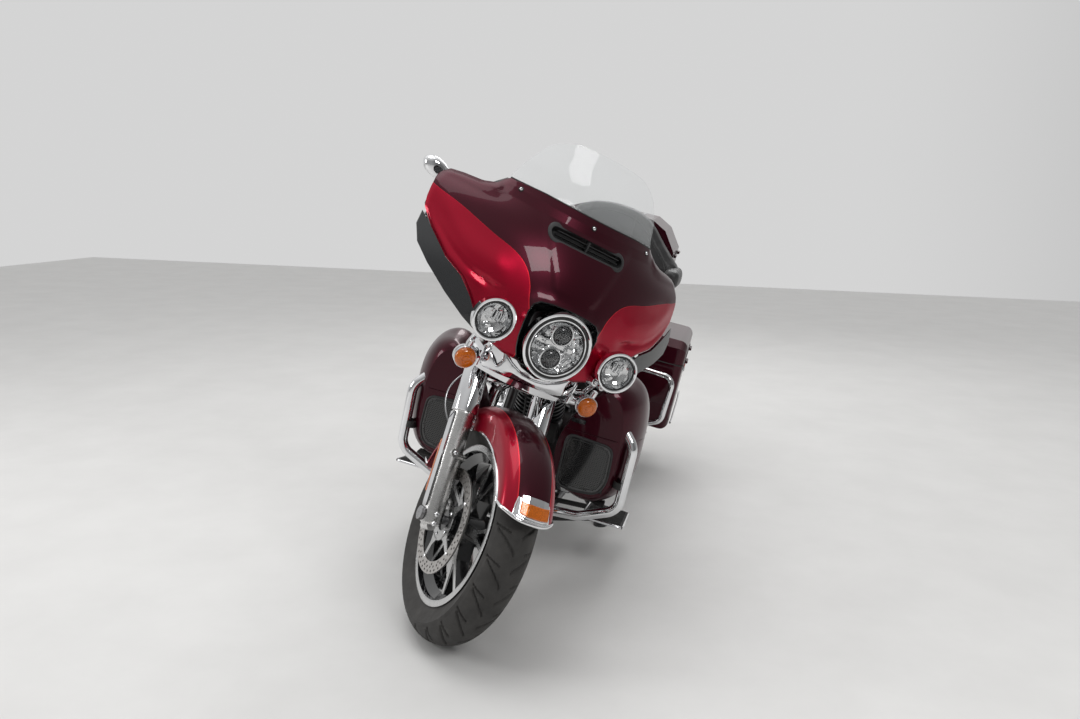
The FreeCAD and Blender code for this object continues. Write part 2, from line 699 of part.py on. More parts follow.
def rocker_covers():
    """Rounded covers on both heads."""
    covers = []
    for sign in (-1, 1):
        cover = block((-88, 88), (-74, 74), (0, 52), 16)
        base = block((-92, 92), (-78, 78), (0, 12), 4)
        cover = fused([cover, base])
        turn = FreeCAD.Rotation(vec(1, 0, 0), -V_HALF * sign)
        cover.Placement = FreeCAD.Placement(along_cylinder(sign, 345), turn)
        covers.append(cover)
    return Part.makeCompound(covers)


def primary_cover():
    """Long oval case on the left side."""
    front = Part.makeCylinder(118, 78, vec(115, CRANK[0] - 60, 360), vec(1, 0, 0))
    rear = Part.makeCylinder(128, 78, vec(115, 150, 372), vec(1, 0, 0))
    web = block((115, 193), (CRANK[0] - 60, 150), (244, 484))
    case = fused([front, rear, web])
    rim = [edge for edge in case.Edges if edge.BoundBox.XMin > 190]
    return case.makeFillet(22, rim)


def cam_cover():
    """Round covers on the right side."""
    cam = Part.makeCylinder(96, 60, vec(-115, CRANK[0], CRANK[1]), vec(-1, 0, 0))
    clutch = Part.makeCylinder(76, 55, vec(-102, 175, 372), vec(-1, 0, 0))
    cam = cam.makeFillet(14, [edge for edge in cam.Edges if edge.BoundBox.XMax < -170])
    rods = [rod(vec(-124, CRANK[0] + low, CRANK[1] + 84), vec(-76, CRANK[0] + high, CRANK[1] + 330), 9)
            for low, high in ((-34, -150), (-12, -104), (12, 104), (34, 150))]
    cam = fused([cam] + rods)
    clutch = clutch.makeFillet(12, [edge for edge in clutch.Edges if edge.BoundBox.XMax < -150])
    return Part.makeCompound([cam, clutch])


def air_cleaner():
    """Round filter housing on the right of the V."""
    body = Part.makeCylinder(92, 62, vec(-128, -66, 640), vec(-1, 0, 0))
    body = body.makeFillet(20, [edge for edge in body.Edges if edge.BoundBox.XMax < -185])
    throat = block((-130, -30), (-96, -36), (610, 668), 8)
    return fused([body, throat])


MUFFLER_FRONT = (290.0, 440.0, 262.0)
MUFFLER_BACK = (298.0, 1210.0, 290.0)
MUFFLER_R = 46.0


def exhaust():
    """Two header pipes on the right, a cross pipe to the left, and both mufflers."""
    end = vec(*MUFFLER_FRONT) + (vec(*MUFFLER_BACK) - vec(*MUFFLER_FRONT)).normalize() * 12
    front = pipe([vec(-60, -205, 630), vec(-128, -280, 590), vec(-172, -276, 330), vec(-184, -80, 226),
                  vec(-205, 250, 238), vec(-262, 390, 256), vec(-end.x, end.y, end.z)], 50, 22)
    rear = pipe([vec(-60, 80, 630), vec(-150, 150, 600), vec(-200, 196, 480), vec(-200, 232, 250)], 40, 20)
    cross = pipe([vec(-215, 290, 246), vec(-150, 392, 225), vec(150, 392, 225), vec(262, 410, 256), end], 35, 20)
    return fused([front, rear, cross] + mufflers())


def mufflers():
    """Twin tapered mufflers below the bags, open at the tail."""
    start, end = vec(*MUFFLER_FRONT), vec(*MUFFLER_BACK)
    length = (end - start).Length
    outer = [(0, 0), (0, 25), (60, MUFFLER_R), (length - 70, MUFFLER_R), (length - 60, 40), (length, 40),
             (length, 35), (length - 90, 35), (length - 90, 0)]
    left = spun(outer, start, (end - start).normalize())
    return [left, mirrored(left)]


# Body

def fuel_tank():
    """Long teardrop tank over the spine."""
    rows = ((-362, 46, 928, 856, 890), (-342, 94, 948, 822, 878), (-285, 142, 966, 794, 866),
            (-185, 167, 972, 778, 856), (-45, 169, 957, 772, 846), (75, 150, 924, 769, 834),
            (165, 114, 880, 768, 818), (212, 72, 838, 778, 806))
    tank = lofted(rows)
    tunnel = block((-34, 34), (-420, 260), (700, 864))
    return tank.cut(tunnel)


def tank_console():
    """Long trim strip along the tank's top."""
    rows = ((-300, 34, 972, 900, 950), (-200, 46, 978, 900, 955), (-40, 50, 967, 900, 945), (90, 46, 930, 860, 905),
            (190, 34, 880, 800, 850))
    return fused([lofted(rows), fuel_door_knuckles()])


def fuel_door():
    """Hinged flap over the filler."""
    axis = fuel_door_hinge()
    flap = block((-32, 32), (-195, -110), (979, 986), 2)
    knuckle = rod(axis - vec(10, 0, 0), axis + vec(10, 0, 0), 2.5)
    web = block((-10, 10), (axis.y, -193), (axis.z - 2, axis.z + 1.5))
    pin = rod(axis - vec(22, 0, 0), axis + vec(22, 0, 0), 1.2)
    return fused([flap, knuckle, web, pin])


def fuel_door_knuckles():
    """Eyes on the console that hold the flap's pin."""
    axis = fuel_door_hinge()
    eyes = []
    for low, high in ((-21, -10.5), (10.5, 21)):
        eye = rod(axis + vec(low, 0, 0), axis + vec(high, 0, 0), 2.5)
        eyes += [eye, block((low, high), (axis.y - 2.5, axis.y + 1.5), (960, axis.z - 1.5))]
    return fused(eyes).cut(rod(axis - vec(30, 0, 0), axis + vec(30, 0, 0), 1.2 + BORE_CLEARANCE))


def fuel_door_hinge():
    """Point of the fuel flap's hinge line at its front edge."""
    return vec(0, -200, 983)


def seat():
    """Two-up saddle: low rider's bucket, step and passenger pad."""
    rows = ((120, 70, 842, 770, 800), (170, 118, 800, 740, 768), (260, 165, 750, 672, 712), (380, 182, 742, 664, 705),
            (450, 186, 770, 664, 715), (500, 184, 838, 672, 755), (580, 178, 850, 690, 775),
            (680, 160, 838, 712, 780), (735, 120, 830, 730, 784))
    return lofted(rows)


def rear_fender():
    """Guard over the rear tyre, open below."""
    y, z = REAR_AXLE_Y, REAR_R
    outer = [(-112.0, 240.0), (-112.0, 330.0), (-96.0, 352.0), (-60.0, 366.0), (0.0, 371.0), (60.0, 366.0),
             (96.0, 352.0), (112.0, 330.0), (112.0, 240.0)]
    inner = [(x * 109.0 / 112.0, r - 3.0 if r > 300 else r) for x, r in outer]
    shell = turned(outer + list(reversed(inner)), y, z, 42.0, 158.0)
    return shell


def side_covers():
    """Panels between seat and bags."""
    points = [vec(150, 180, 660), vec(150, 470, 640), vec(150, 505, 480), vec(150, 400, 430), vec(150, 260, 470)]
    return pair(prism(points, vec(14, 0, 0)))


def swingarm():
    """Rear fork with its pivot and axle."""
    y, z = REAR_AXLE_Y, REAR_R
    arm = pipe([vec(126, 336, 330), vec(150, 440, 328), vec(152, 700, 322), vec(152, y + 26, z)], 60, 18)
    end = block((138, 166), (y - 36, y + 44), (z - 24, z + 24), 6)
    pivot = rod(vec(-138, 336, 330), vec(138, 336, 330), 19)
    parts = [arm, mirrored(arm), end, mirrored(end), pivot, rod(vec(-176, y, z), vec(176, y, z), AXLE_R)]
    return fused(parts)


def shocks():
    """Rear dampers from swingarm to rail."""
    low, high = vec(184, 742, 345), vec(160, 640, 660)
    along = (high - low).normalize()
    body = rod(low, high, 21)
    eye_low = rod(vec(152, 742, 345), vec(196, 742, 345), 16)
    eye_high = rod(vec(128, 640, 660), vec(176, 640, 660), 16)
    return pair(fused([body, eye_low, eye_high]))


def belt():
    """Drive belt on the left from the gearbox to the rear pulley."""
    y, z = REAR_AXLE_Y, REAR_R
    front_y, front_z, front_r = 210.0, 350.0, 50.0
    rear_r = 108.5
    outer = fused([Part.makeCylinder(rear_r + 7, 14, vec(100, y, z), vec(1, 0, 0)),
                   Part.makeCylinder(front_r + 7, 14, vec(100, front_y, front_z), vec(1, 0, 0)),
                   prism(belt_side(rear_r + 7, front_r + 7, y, z, front_y, front_z), vec(14, 0, 0))])
    inner = fused([Part.makeCylinder(rear_r, 20, vec(99, y, z), vec(1, 0, 0)),
                   Part.makeCylinder(front_r, 20, vec(99, front_y, front_z), vec(1, 0, 0)),
                   prism(belt_side(rear_r, front_r, y, z, front_y, front_z), vec(20, 0, 0)).translated(vec(-1, 0, 0))])
    return outer.cut(inner)


def belt_side(rear_r, front_r, y, z, front_y, front_z):
    """Corners of the straight part between two pulleys."""
    gap = math.hypot(y - front_y, z - front_z)
    tilt = math.atan2(z - front_z, y - front_y)
    lead = math.acos((rear_r - front_r) / gap)
    corners = []
    for sign in (1, -1):
        away = tilt + math.pi - sign * lead
        corners.append((vec(100, front_y + front_r * math.cos(away), front_z + front_r * math.sin(away)),
                        vec(100, y + rear_r * math.cos(away), z + rear_r * math.sin(away))))
    return [corners[0][0], corners[0][1], corners[1][1], corners[1][0]]


# Luggage

def bag_outline(z0, z1, grow=0.0):
    """Tapered block of a side bag between two heights."""
    x0, x1 = BAG_X[0] - grow, BAG_X[1] + grow
    y0, y1 = BAG_Y[0] - grow, BAG_Y[1] + grow
    return block((x0, x1), (y0, y1), (z0, z1))


def bag_solid(inset):
    """Whole side bag as one rounded block, made smaller by inset."""
    x0, x1 = BAG_X[0] + inset, BAG_X[1] - inset
    y0, y1 = BAG_Y[0] + inset, BAG_Y[1] - inset
    z0, z2 = BAG_Z[0] + inset, BAG_Z[2] - inset
    side = [vec(x0, y0 + 60, z0), vec(x0, y1 - 20, z0), vec(x0, y1, z0 + 60), vec(x0, y1 - 10, z2 - 30),
            vec(x0, y1 - 60, z2 - 14), vec(x0, y0 + 60, z2), vec(x0, y0 + 8, z2 - 26), vec(x0, y0, z0 + 120)]
    solid = prism(side, vec(x1 - x0, 0, 0))
    return solid.makeFillet(max(34.0 - inset, 6.0), [edge for edge in solid.Edges if edge.BoundBox.XMin > x1 - 1])


def lid_knuckles(axis, places):
    """Eyes and webs of a luggage hinge: the fixed pieces below the seam, and the lid's pieces with their pins."""
    fixed, moving = [], []
    for place in places:
        spot = vec(axis.x, place, axis.z)
        for low, high in ((-30, -10.5), (10.5, 30)):
            fixed.append(rod(spot + vec(0, low, 0), spot + vec(0, high, 0), HINGE_R))
            fixed.append(block((axis.x - 10, axis.x), (place + low, place + high), (axis.z - 5.5, axis.z - 0.5)))
        moving.append(rod(spot - vec(0, 10, 0), spot + vec(0, 10, 0), HINGE_R))
        moving.append(block((axis.x - 10, axis.x), (place - 10, place + 10), (axis.z + 1, axis.z + 5.5)))
        moving.append(rod(spot - vec(0, 29, 0), spot + vec(0, 29, 0), HINGE_PIN_R))
    bore = rod(vec(axis.x, places[0] - 60, axis.z), vec(axis.x, places[-1] + 60, axis.z), HINGE_PIN_R + BORE_CLEARANCE)
    return [piece.cut(bore) for piece in fixed], moving


def saddlebag_body():
    """Open-topped left bag."""
    cut_high = block((200, 500), (400, 1200), (BAG_Z[1], 800))
    shell = bag_solid(0.0).cut(bag_solid(BAG_WALL)).cut(cut_high)
    fixed, _ = lid_knuckles(bag_hinge(), BAG_HINGES)
    return fused([solids_of(shell)] + fixed)


def saddlebag_lid():
    """Lid of the left bag."""
    cut_low = block((200, 500), (400, 1200), (300, BAG_Z[1] + 0.6))
    shell = bag_solid(0.0).cut(bag_solid(BAG_WALL)).cut(cut_low)
    _, moving = lid_knuckles(bag_hinge(), BAG_HINGES)
    return fused([solids_of(shell)] + moving)


def saddlebag_bodies():
    return pair(saddlebag_body().Solids[0])


def saddlebag_lid_right():
    return mirrored(saddlebag_lid())


def bag_hinge():
    """Point of the left lid's hinge line, on the bag's outer edge just below the seam."""
    return vec(BAG_X[1] + 7.0, (BAG_Y[0] + BAG_Y[1]) / 2, BAG_Z[1])


def case_solid(inset):
    """Whole top case as one rounded block, made smaller by inset."""
    x = CASE_X - inset
    y0, y1 = CASE_Y[0] + inset, CASE_Y[1] - inset
    z0, z2 = CASE_Z[0] + inset, CASE_Z[2] - inset
    front = [vec(-x + 26, y0, z0), vec(x - 26, y0, z0), vec(x, y0, z0 + 60), vec(x, y0, CASE_Z[1] + 20),
             vec(x - 56, y0, z2 - 34), vec(x - 120, y0, z2), vec(-x + 120, y0, z2), vec(-x + 56, y0, z2 - 34),
             vec(-x, y0, CASE_Z[1] + 20), vec(-x, y0, z0 + 60)]
    solid = prism(front, vec(0, y1 - y0, 0))
    return solid.makeFillet(max(40.0 - inset, 6.0), [edge for edge in solid.Edges if edge.BoundBox.YMin > y1 - 1])


def top_case_base():
    cut_high = block((-400, 400), (700, 1300), (CASE_Z[1], 1400))
    fixed, _ = lid_knuckles(case_hinge(), CASE_HINGES)
    return fused([solids_of(case_solid(0.0).cut(case_solid(CASE_WALL)).cut(cut_high))] + fixed)


def top_case_lid():
    cut_low = block((-400, 400), (700, 1300), (800, CASE_Z[1] + 0.6))
    _, moving = lid_knuckles(case_hinge(), CASE_HINGES)
    return fused([solids_of(case_solid(0.0).cut(case_solid(CASE_WALL)).cut(cut_low))] + moving)


def case_hinge():
    """Point of the top case lid's hinge line, low on its left side."""
    return vec(CASE_X + 7.0, (CASE_Y[0] + CASE_Y[1]) / 2, CASE_Z[1])


def backrest():
    """Passenger backrest with arm pads, on a block in front of the case's base."""
    rear = CASE_Y[0] - BACKREST_GAP
    pad = block((-150, 150), (rear - 70, rear), (880, 1200), 30)
    wings = [block((min(s * 140, s * 338), max(s * 140, s * 338)), (rear - 64, rear), (915, 1052), 28)
             for s in (1, -1)]
    arms = [block((min(s * 268, s * 338), max(s * 268, s * 338)), (rear - 186, rear - 28), (935, 1010), 28)
            for s in (1, -1)]
    spacer = block((-110, 110), (rear - 10, CASE_Y[0]), (900, 1025))
    return fused([pad, spacer] + wings + arms)


def luggage_rack():
    """Rack between rear rails and top case."""
    top = CASE_Z[0] - 10
    hoop = pipe([vec(126, 720, 674), vec(118, 790, top), vec(118, 1080, top)], 30, 10)
    stay = rod(vec(126, 870, 704), vec(118, 960, top), 8)
    bars = [rod(vec(-118, y, top), vec(118, y, top), 9) for y in (830, 1060)]
    return fused([hoop, mirrored(hoop), stay, mirrored(stay)] + bars)


def plate_bracket():
    """Flat bracket with two bolt holes for a number plate, hung below the tail lamp."""
    low, high = vec(0, 1180, 452), vec(0, 1166, 556)
    up = (high - low).normalize()
    back = vec(0, up.z, -up.y)
    corners = [low + vec(s * 89, 0, 0) for s in (-1, 1)] + [high + vec(s * 89, 0, 0) for s in (1, -1)]
    plate = prism(corners, back * PLATE_THICK)
    holes = [rod(plate_centre() + vec(s * PLATE_PCD / 2, 0, 0) - back * 10, plate_centre()
                 + vec(s * PLATE_PCD / 2, 0, 0) + back * 10, PLATE_HOLE_R) for s in (1, -1)]
    return plate.cut(fused(holes))


def plate_centre():
    """Middle of the two plate holes, on the bracket's rear face."""
    low, high = vec(0, 1180, 452), vec(0, 1166, 556)
    up = (high - low).normalize()
    back = vec(0, up.z, -up.y)
    return low + up * ((high - low).Length / 2) + back * PLATE_THICK


def plate_normal():
    """Direction the plate faces."""
    up = (vec(0, 1166, 556) - vec(0, 1180, 452)).normalize()
    return vec(0, up.z, -up.y)


def tail_lamps():
    """Tail lamp and rear signals on the fender's end."""
    lamp = block((-52, 52), (1150, 1190), (545, 600), 10)
    bar = rod(vec(-150, 1150, 640), vec(150, 1150, 640), 10)
    signals = [rod(vec(s * 150, 1120, 640), vec(s * 150, 1180, 640), 31) for s in (1, -1)]
    post = block((-20, 20), (1078, 1156), (560, 650), 4)
    return fused([bar, post, lamp] + signals)


# Guards, boards and stand

LOWER_OUTLINE = ((150.0, 390.0), (150.0, 585.0), (196.0, 658.0), (240.0, 712.0), (286.0, 738.0), (332.0, 724.0),
                 (364.0, 684.0), (382.0, 620.0), (386.0, 540.0), (382.0, 440.0), (350.0, 366.0), (290.0, 338.0),
                 (212.0, 350.0))
LOWER_SECTIONS = (
    # y, share of the width, share of the height
    (-448.0, 0.74, 0.86),
    (-432.0, 0.81, 0.94),
    (-400.0, 0.90, 0.985),
    (-345.0, 0.985, 1.0),
    (-245.0, 1.0, 1.0),
)
GRILLE_X = (198.0, 306.0)
GRILLE_Z = (388.0, 540.0)


def lower_solid(inset):
    """Leg shield as a closed rounded block, made smaller by inset."""
    wires = []
    for y, wide, high in LOWER_SECTIONS:
        points = []
        for x, z in LOWER_OUTLINE:
            px = 150.0 + inset + (x - 150.0) * (wide - 2 * inset / 236.0)
            pz = 540.0 + (z - 540.0) * (high - 2 * inset / 400.0)
            points.append(vec(px, y + inset, pz))
        curve = Part.BSplineCurve()
        curve.interpolate(Points=points, PeriodicFlag=True)
        wires.append(Part.Wire(curve.toShape()))
    return Part.makeLoft(wires, True, False)


def lower_fairings():
    """Leg shields: a closed glove box above and an open-backed shield with a grille window below."""
    pocket = lower_solid(5.0).common(block((100, 400), (-500, -200), (300, 556)))
    window = block(GRILLE_X, (-460, -425), GRILLE_Z)
    back = block((100, 400), (-246, -235), (300, 556))
    heel = block((100, 212), (-330, -200), (300, 760))
    return pair(lower_solid(0.0).cut([pocket, window, back, heel]))


def lower_grilles():
    """Dark grilles in the shields' windows."""
    return pair(block(GRILLE_X, (-443, -439), GRILLE_Z))


def engine_guard():
    """Bent bar in front of the engine; its upper run goes through the glove boxes."""
    x, bar = 367.0, 16.0
    half = pipe([vec(0, -428, 664), vec(110, -428, 652), vec(290, -398, 640), vec(x, -436, 560), vec(x, -432, 345),
                 vec(250, -430, 290), vec(60, -418, 268)], 55, bar)
    return fused([half, mirrored(half)])


def saddlebag_guards():
    """Bent bars in front of the side bags."""
    loop = pipe([vec(150, 470, 560), vec(200, 500, 590), vec(300, 470, 605), vec(418, 450, 605), vec(410, 445, 420),
                 vec(300, 470, 360), vec(150, 440, 340)], 40, 11)
    return pair(loop)


def footboards():
    """Rider's boards on brackets from the cradle, with the brake pedal and the toe shifter."""
    middle = vec(325, -221, 236)
    board = block((-70, 70), (-151, 151), (-4.5, 4.5), 4)
    board.Placement = FreeCAD.Placement(middle, FreeCAD.Rotation(vec(1, 0, 0), -FOOTBOARD_TILT))
    slope = math.tan(math.radians(FOOTBOARD_TILT))
    arms = [rod(vec(130, y, start), vec(300, y, middle.z - 4 - slope * (y - middle.y)), 9)
            for y, start in ((-310, 197), (-130, 198))]
    left = fused([board] + arms)
    shift = pipe([vec(180, -120, 300), vec(232, -130, 300), vec(238, -330, 318), vec(300, -345, 320)], 16, 7)
    brake = pipe([vec(-240, -308, 226), vec(-240, -262, 268), vec(-240, -330, 308), vec(-262, -350, 312)], 16, 7)
    pad = block((-330, -250), (-372, -338), (306, 320), 4)
    return Part.makeCompound([left, fused([mirrored(left), brake, pad]), shift])


def park_ground():
    """Lean, pitch and lift that set both tyres on the floor, with the steering turned."""
    lean = math.radians(LEAN)

    def wheel_low(centre, axis, radius, crown, pitch):
        turn = FreeCAD.Rotation(vec(0, 1, 0), LEAN).multiply(FreeCAD.Rotation(vec(1, 0, 0), pitch))
        spot = turn.multVec(centre)
        spin = turn.multVec(axis)
        return spot.z - (radius - crown) * math.sqrt(1 - spin.z ** 2) - crown

    steer = FreeCAD.Rotation(STEER_AXIS, STEER)
    base = vec(0, STEER_GROUND_Y, 0)
    front = base + steer.multVec(vec(0, FRONT_AXLE_Y, FRONT_R) - base)
    front_axis = steer.multVec(vec(1, 0, 0))
    rear = vec(0, REAR_AXLE_Y, REAR_R)
    low, high = -5.0, 5.0
    for _ in range(60):
        middle = (low + high) / 2
        front_low = wheel_low(front, front_axis, FRONT_R, FRONT_CROWN, middle)
        rear_low = wheel_low(rear, vec(1, 0, 0), REAR_R, REAR_CROWN, middle)
        if front_low > rear_low:
            low = middle
        else:
            high = middle
    turn = FreeCAD.Rotation(vec(0, 1, 0), LEAN).multiply(FreeCAD.Rotation(vec(1, 0, 0), middle))
    return turn, -rear_low


def floor_point(x, y):
    """The floor's point below (x, y) of the upright bike, and the floor's normal, in the bike's own frame."""
    turn, lift = park_ground()
    back = turn.inverted()
    normal = back.multVec(vec(0, 0, 1))
    z = (-lift - normal.x * x - normal.y * y) / normal.z
    return vec(x, y, z), normal


def side_stand():
    """Leg, pad and pivot eye, in its parked place."""
    pivot, axis = vec(*STAND_PIVOT), stand_axis()
    foot, normal = floor_point(*STAND_FOOT)
    ankle = foot + normal * (STAND_PAD_THICK - 1)
    leg = rod(pivot, ankle, STAND_R)
    pad = rod(foot, foot + normal * STAND_PAD_THICK, STAND_PAD_R)
    eye = rod(pivot - axis * STAND_EYE_HALF, pivot + axis * STAND_EYE_HALF, STAND_EYE_R)
    bore = rod(pivot - axis * 60, pivot + axis * 60, STAND_PIN_R + BORE_CLEARANCE)
    return fused([leg, pad, eye]).cut(bore)


def stand_lug():
    """Pin and boss on the left cradle tube that carry the stand."""
    pivot, axis = vec(*STAND_PIVOT), stand_axis()
    pin = rod(pivot - axis * 34, pivot + axis * (STAND_EYE_HALF + 3), STAND_PIN_R)
    boss = rod(pivot - axis * 40, pivot - axis * (STAND_R + 1), 15)
    block_up = block((pivot.x - 52, pivot.x - 22), (pivot.y - 17, pivot.y + 19), (pivot.z - 30, pivot.z + 20))
    room = rod(pivot - axis * (STAND_R + 1), pivot + axis * 60, STAND_EYE_R + 6)
    return fused([block_up.cut(room), boss, pin])


def stand_axis():
    """Direction of the stand's hinge: positive folds it back and up."""
    foot, _ = floor_point(*STAND_FOOT)
    down = (foot - vec(*STAND_PIVOT)).normalize()
    folded = vec(*STAND_FOLDED).normalize()
    return down.cross(folded).normalize()


# Node name and the makers of its pieces. Pieces of one node stay apart or are joined by their maker.
FORK_NODES = (
    ("triple_clamps", (triple_clamps,)),
    ("fork_sliders", (fork_sliders,)),
    ("fork_covers", (fork_covers,)),
    ("front_axle", (front_axle,)),
    ("front_fender", (front_fender,)),
    ("front_calipers", (front_calipers,)),
    ("lamp_shells", (headlamp_shell, passing_lamp_shells, turn_signal_shells, fender_tip_lamp)),
    ("lamp_lenses", (headlamp_lens, passing_lamp_lenses)),
    ("turn_lenses", (turn_signal_lenses,)),
    ("fork_nacelle", (fork_nacelle,)),
    ("outer_fairing", (outer_fairing,)),
    ("fairing_vent", (fairing_vent,)),
    ("inner_fairing", (inner_fairing,)),
    ("windshield", (windshield,)),
    ("air_deflectors", (air_deflectors,)),
    ("mirrors", (mirrors,)),
    ("handlebar", (handlebar,)),
    ("grips", (grips,)),
    ("hand_controls", (hand_controls,)),
    ("front_tyre", (front_tyre,)),
    ("front_wheel", (front_wheel,)),
    ("front_discs", (front_discs,)),
)
CHASSIS_NODES = (
    ("frame", (frame,)),
    ("engine", (engine,)),
    ("engine_covers", (primary_cover, cam_cover, rocker_covers)),
    ("air_cleaner", (air_cleaner,)),
    ("exhaust", (exhaust,)),
    ("fuel_tank", (fuel_tank,)),
    ("tank_console", (tank_console,)),
    ("fuel_door", (fuel_door,)),
    ("seat", (seat,)),
    ("rear_fender", (rear_fender,)),
    ("side_covers", (side_covers,)),
    ("swingarm", (swingarm,)),
    ("shocks", (shocks,)),
    ("belt", (belt,)),
    ("rear_tyre", (rear_tyre,)),
    ("rear_wheel", (rear_wheel,)),
    ("rear_disc_and_pulley", (rear_disc, rear_pulley)),
    ("saddlebag_bodies", (saddlebag_bodies,)),
    ("saddlebag_lid_left", (saddlebag_lid,)),
    ("saddlebag_lid_right", (saddlebag_lid_right,)),
    ("top_case_base", (top_case_base,)),
    ("top_case_lid", (top_case_lid,)),
    ("backrest", (backrest,)),
    ("luggage_rack", (luggage_rack,)),
    ("tail_lamps", (tail_lamps,)),
    ("plate_bracket", (plate_bracket,)),
    ("lower_fairings", (lower_fairings,)),
    ("lower_grilles", (lower_grilles,)),
    ("crash_guards", (engine_guard, saddlebag_guards)),
    ("footboards", (footboards,)),
    ("side_stand", (side_stand,)),
)
# Each piece is cut to seat on the pieces after it.
SEATS = {
    "frame": ("engine",),
    "rear_fender": ("frame",),
    "tail_lamps": ("rear_fender",),
    "luggage_rack": ("frame", "top_case_base"),
    "fork_nacelle": ("triple_clamps", "fork_covers", "lamp_shells", "outer_fairing"),
    "inner_fairing": ("triple_clamps", "handlebar", "mirrors"),
    "handlebar": ("triple_clamps",),
    "front_fender": ("fork_sliders", "fork_covers"),
    "front_axle": ("fork_sliders",),
    "front_calipers": ("fork_sliders",),
    "lamp_shells": ("front_fender",),
    "outer_fairing": ("lamp_shells",),
    "windshield": ("outer_fairing",),
    "swingarm": ("frame",),
    "side_covers": ("frame",),
    "saddlebag_bodies": ("frame",),
    "footboards": ("frame", "engine_covers"),
    "engine_covers": ("engine",),
    "air_cleaner": ("engine", "engine_covers"),
    "exhaust": ("engine", "engine_covers"),
    "tank_console": ("fuel_tank",),
    "seat": ("fuel_tank", "frame", "tank_console"),
    "crash_guards": ("side_covers", "swingarm", "frame", "shocks"),
    "shocks": ("swingarm", "frame"),
    "lower_fairings": ("crash_guards",),
    "plate_bracket": ("tail_lamps",),
}


def make_node(makers):
    """All pieces of one node."""
    solids = [solid for maker in makers for solid in maker().Solids]
    return solids[0] if len(solids) == 1 else Part.makeCompound(solids)


def build_upright():
    """All pieces on the upright bike, cut where they seat on one another."""
    shapes = {name: make_node(makers) for name, makers in FORK_NODES + CHASSIS_NODES}
    whole = dict(shapes)
    for name, others in SEATS.items():
        cutters = [solid for other in others for solid in whole[other].Solids]
        shapes[name] = solids_of(shapes[name].cut(cutters))
    return shapes


def steer_placement():
    """Turn of the fork to its left stop."""
    base = vec(0, STEER_GROUND_Y, 0)
    turn = FreeCAD.Rotation(STEER_AXIS, STEER)
    return FreeCAD.Placement(base - turn.multVec(base), turn)


def park(shapes):
    """Placements of fork and chassis pieces that stand the bike on the floor, centred on its outline."""
    turn, lift = park_ground()
    stand = FreeCAD.Placement(vec(0, 0, lift), turn)
    fork = stand.multiply(steer_placement())
    fork_names = {name for name, _ in FORK_NODES}
    box = FreeCAD.BoundBox()
    for name, shape in shapes.items():
        placed = shape.copy()
        placed.Placement = (fork if name in fork_names else stand).multiply(placed.Placement)
        box.add(placed.optimalBoundingBox(False))
    shift = FreeCAD.Placement(vec(-box.Center.x, -box.Center.y, 0), FreeCAD.Rotation())
    return shift.multiply(fork), shift.multiply(stand)


def main():
    os.makedirs("parts", exist_ok=True)
    shapes = build_upright()
    fork, stand = park(shapes)
    fork_names = {name for name, _ in FORK_NODES}
    for name, shape in shapes.items():
        shape.Placement = (fork if name in fork_names else stand).multiply(shape.Placement)
        shape.exportStep("parts/" + name + ".step")


if __name__ == "__main__":
    main()
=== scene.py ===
"""Touring cruiser motorcycle: finishes, paint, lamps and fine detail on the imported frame."""
from __future__ import annotations

import json
import logging
import math
from dataclasses import dataclass
from enum import Enum
from typing import Callable, Iterable, Sequence

import bpy
import numpy as np
from mathutils import Matrix, Vector
from mathutils.bvhtree import BVHTree

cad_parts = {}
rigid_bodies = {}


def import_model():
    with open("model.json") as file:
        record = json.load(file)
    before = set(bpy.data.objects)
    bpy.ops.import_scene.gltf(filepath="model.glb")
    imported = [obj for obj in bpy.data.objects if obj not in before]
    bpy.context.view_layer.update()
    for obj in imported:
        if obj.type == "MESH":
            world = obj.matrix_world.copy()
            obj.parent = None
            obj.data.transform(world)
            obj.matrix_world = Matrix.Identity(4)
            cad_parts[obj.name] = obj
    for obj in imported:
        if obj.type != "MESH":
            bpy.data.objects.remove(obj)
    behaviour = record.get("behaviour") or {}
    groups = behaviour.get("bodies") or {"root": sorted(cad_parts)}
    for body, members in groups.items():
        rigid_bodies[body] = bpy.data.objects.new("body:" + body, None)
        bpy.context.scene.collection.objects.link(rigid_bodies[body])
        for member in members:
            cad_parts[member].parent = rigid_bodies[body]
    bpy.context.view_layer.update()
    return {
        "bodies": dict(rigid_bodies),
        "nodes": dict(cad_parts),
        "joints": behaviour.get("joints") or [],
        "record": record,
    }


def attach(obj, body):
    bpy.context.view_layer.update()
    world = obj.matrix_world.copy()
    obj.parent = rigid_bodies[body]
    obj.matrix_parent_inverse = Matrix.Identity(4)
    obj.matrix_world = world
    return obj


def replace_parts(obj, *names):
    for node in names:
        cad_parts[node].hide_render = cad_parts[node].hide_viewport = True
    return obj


LOG = logging.getLogger("cruiser")
MM = 0.001
Point = Sequence[float]
Face = Sequence[int]
Started = tuple[bpy.types.NodeTree, bpy.types.Node, bpy.types.Node, dict[str, str]]

# Directions on the upright bike.
ORIGIN = (0, 0, 0)
LEFT = (1, 0, 0)
RIGHT = (-1, 0, 0)
BACK = (0, 1, 0)
AHEAD = (0, -1, 0)
UP = (0, 0, 1)
DOWN = (0, 0, -1)


class Rig(Enum):
    """The two groups of the bike that keep their own straight-ahead axes."""

    CHASSIS = "chassis"
    FORK = "steering"


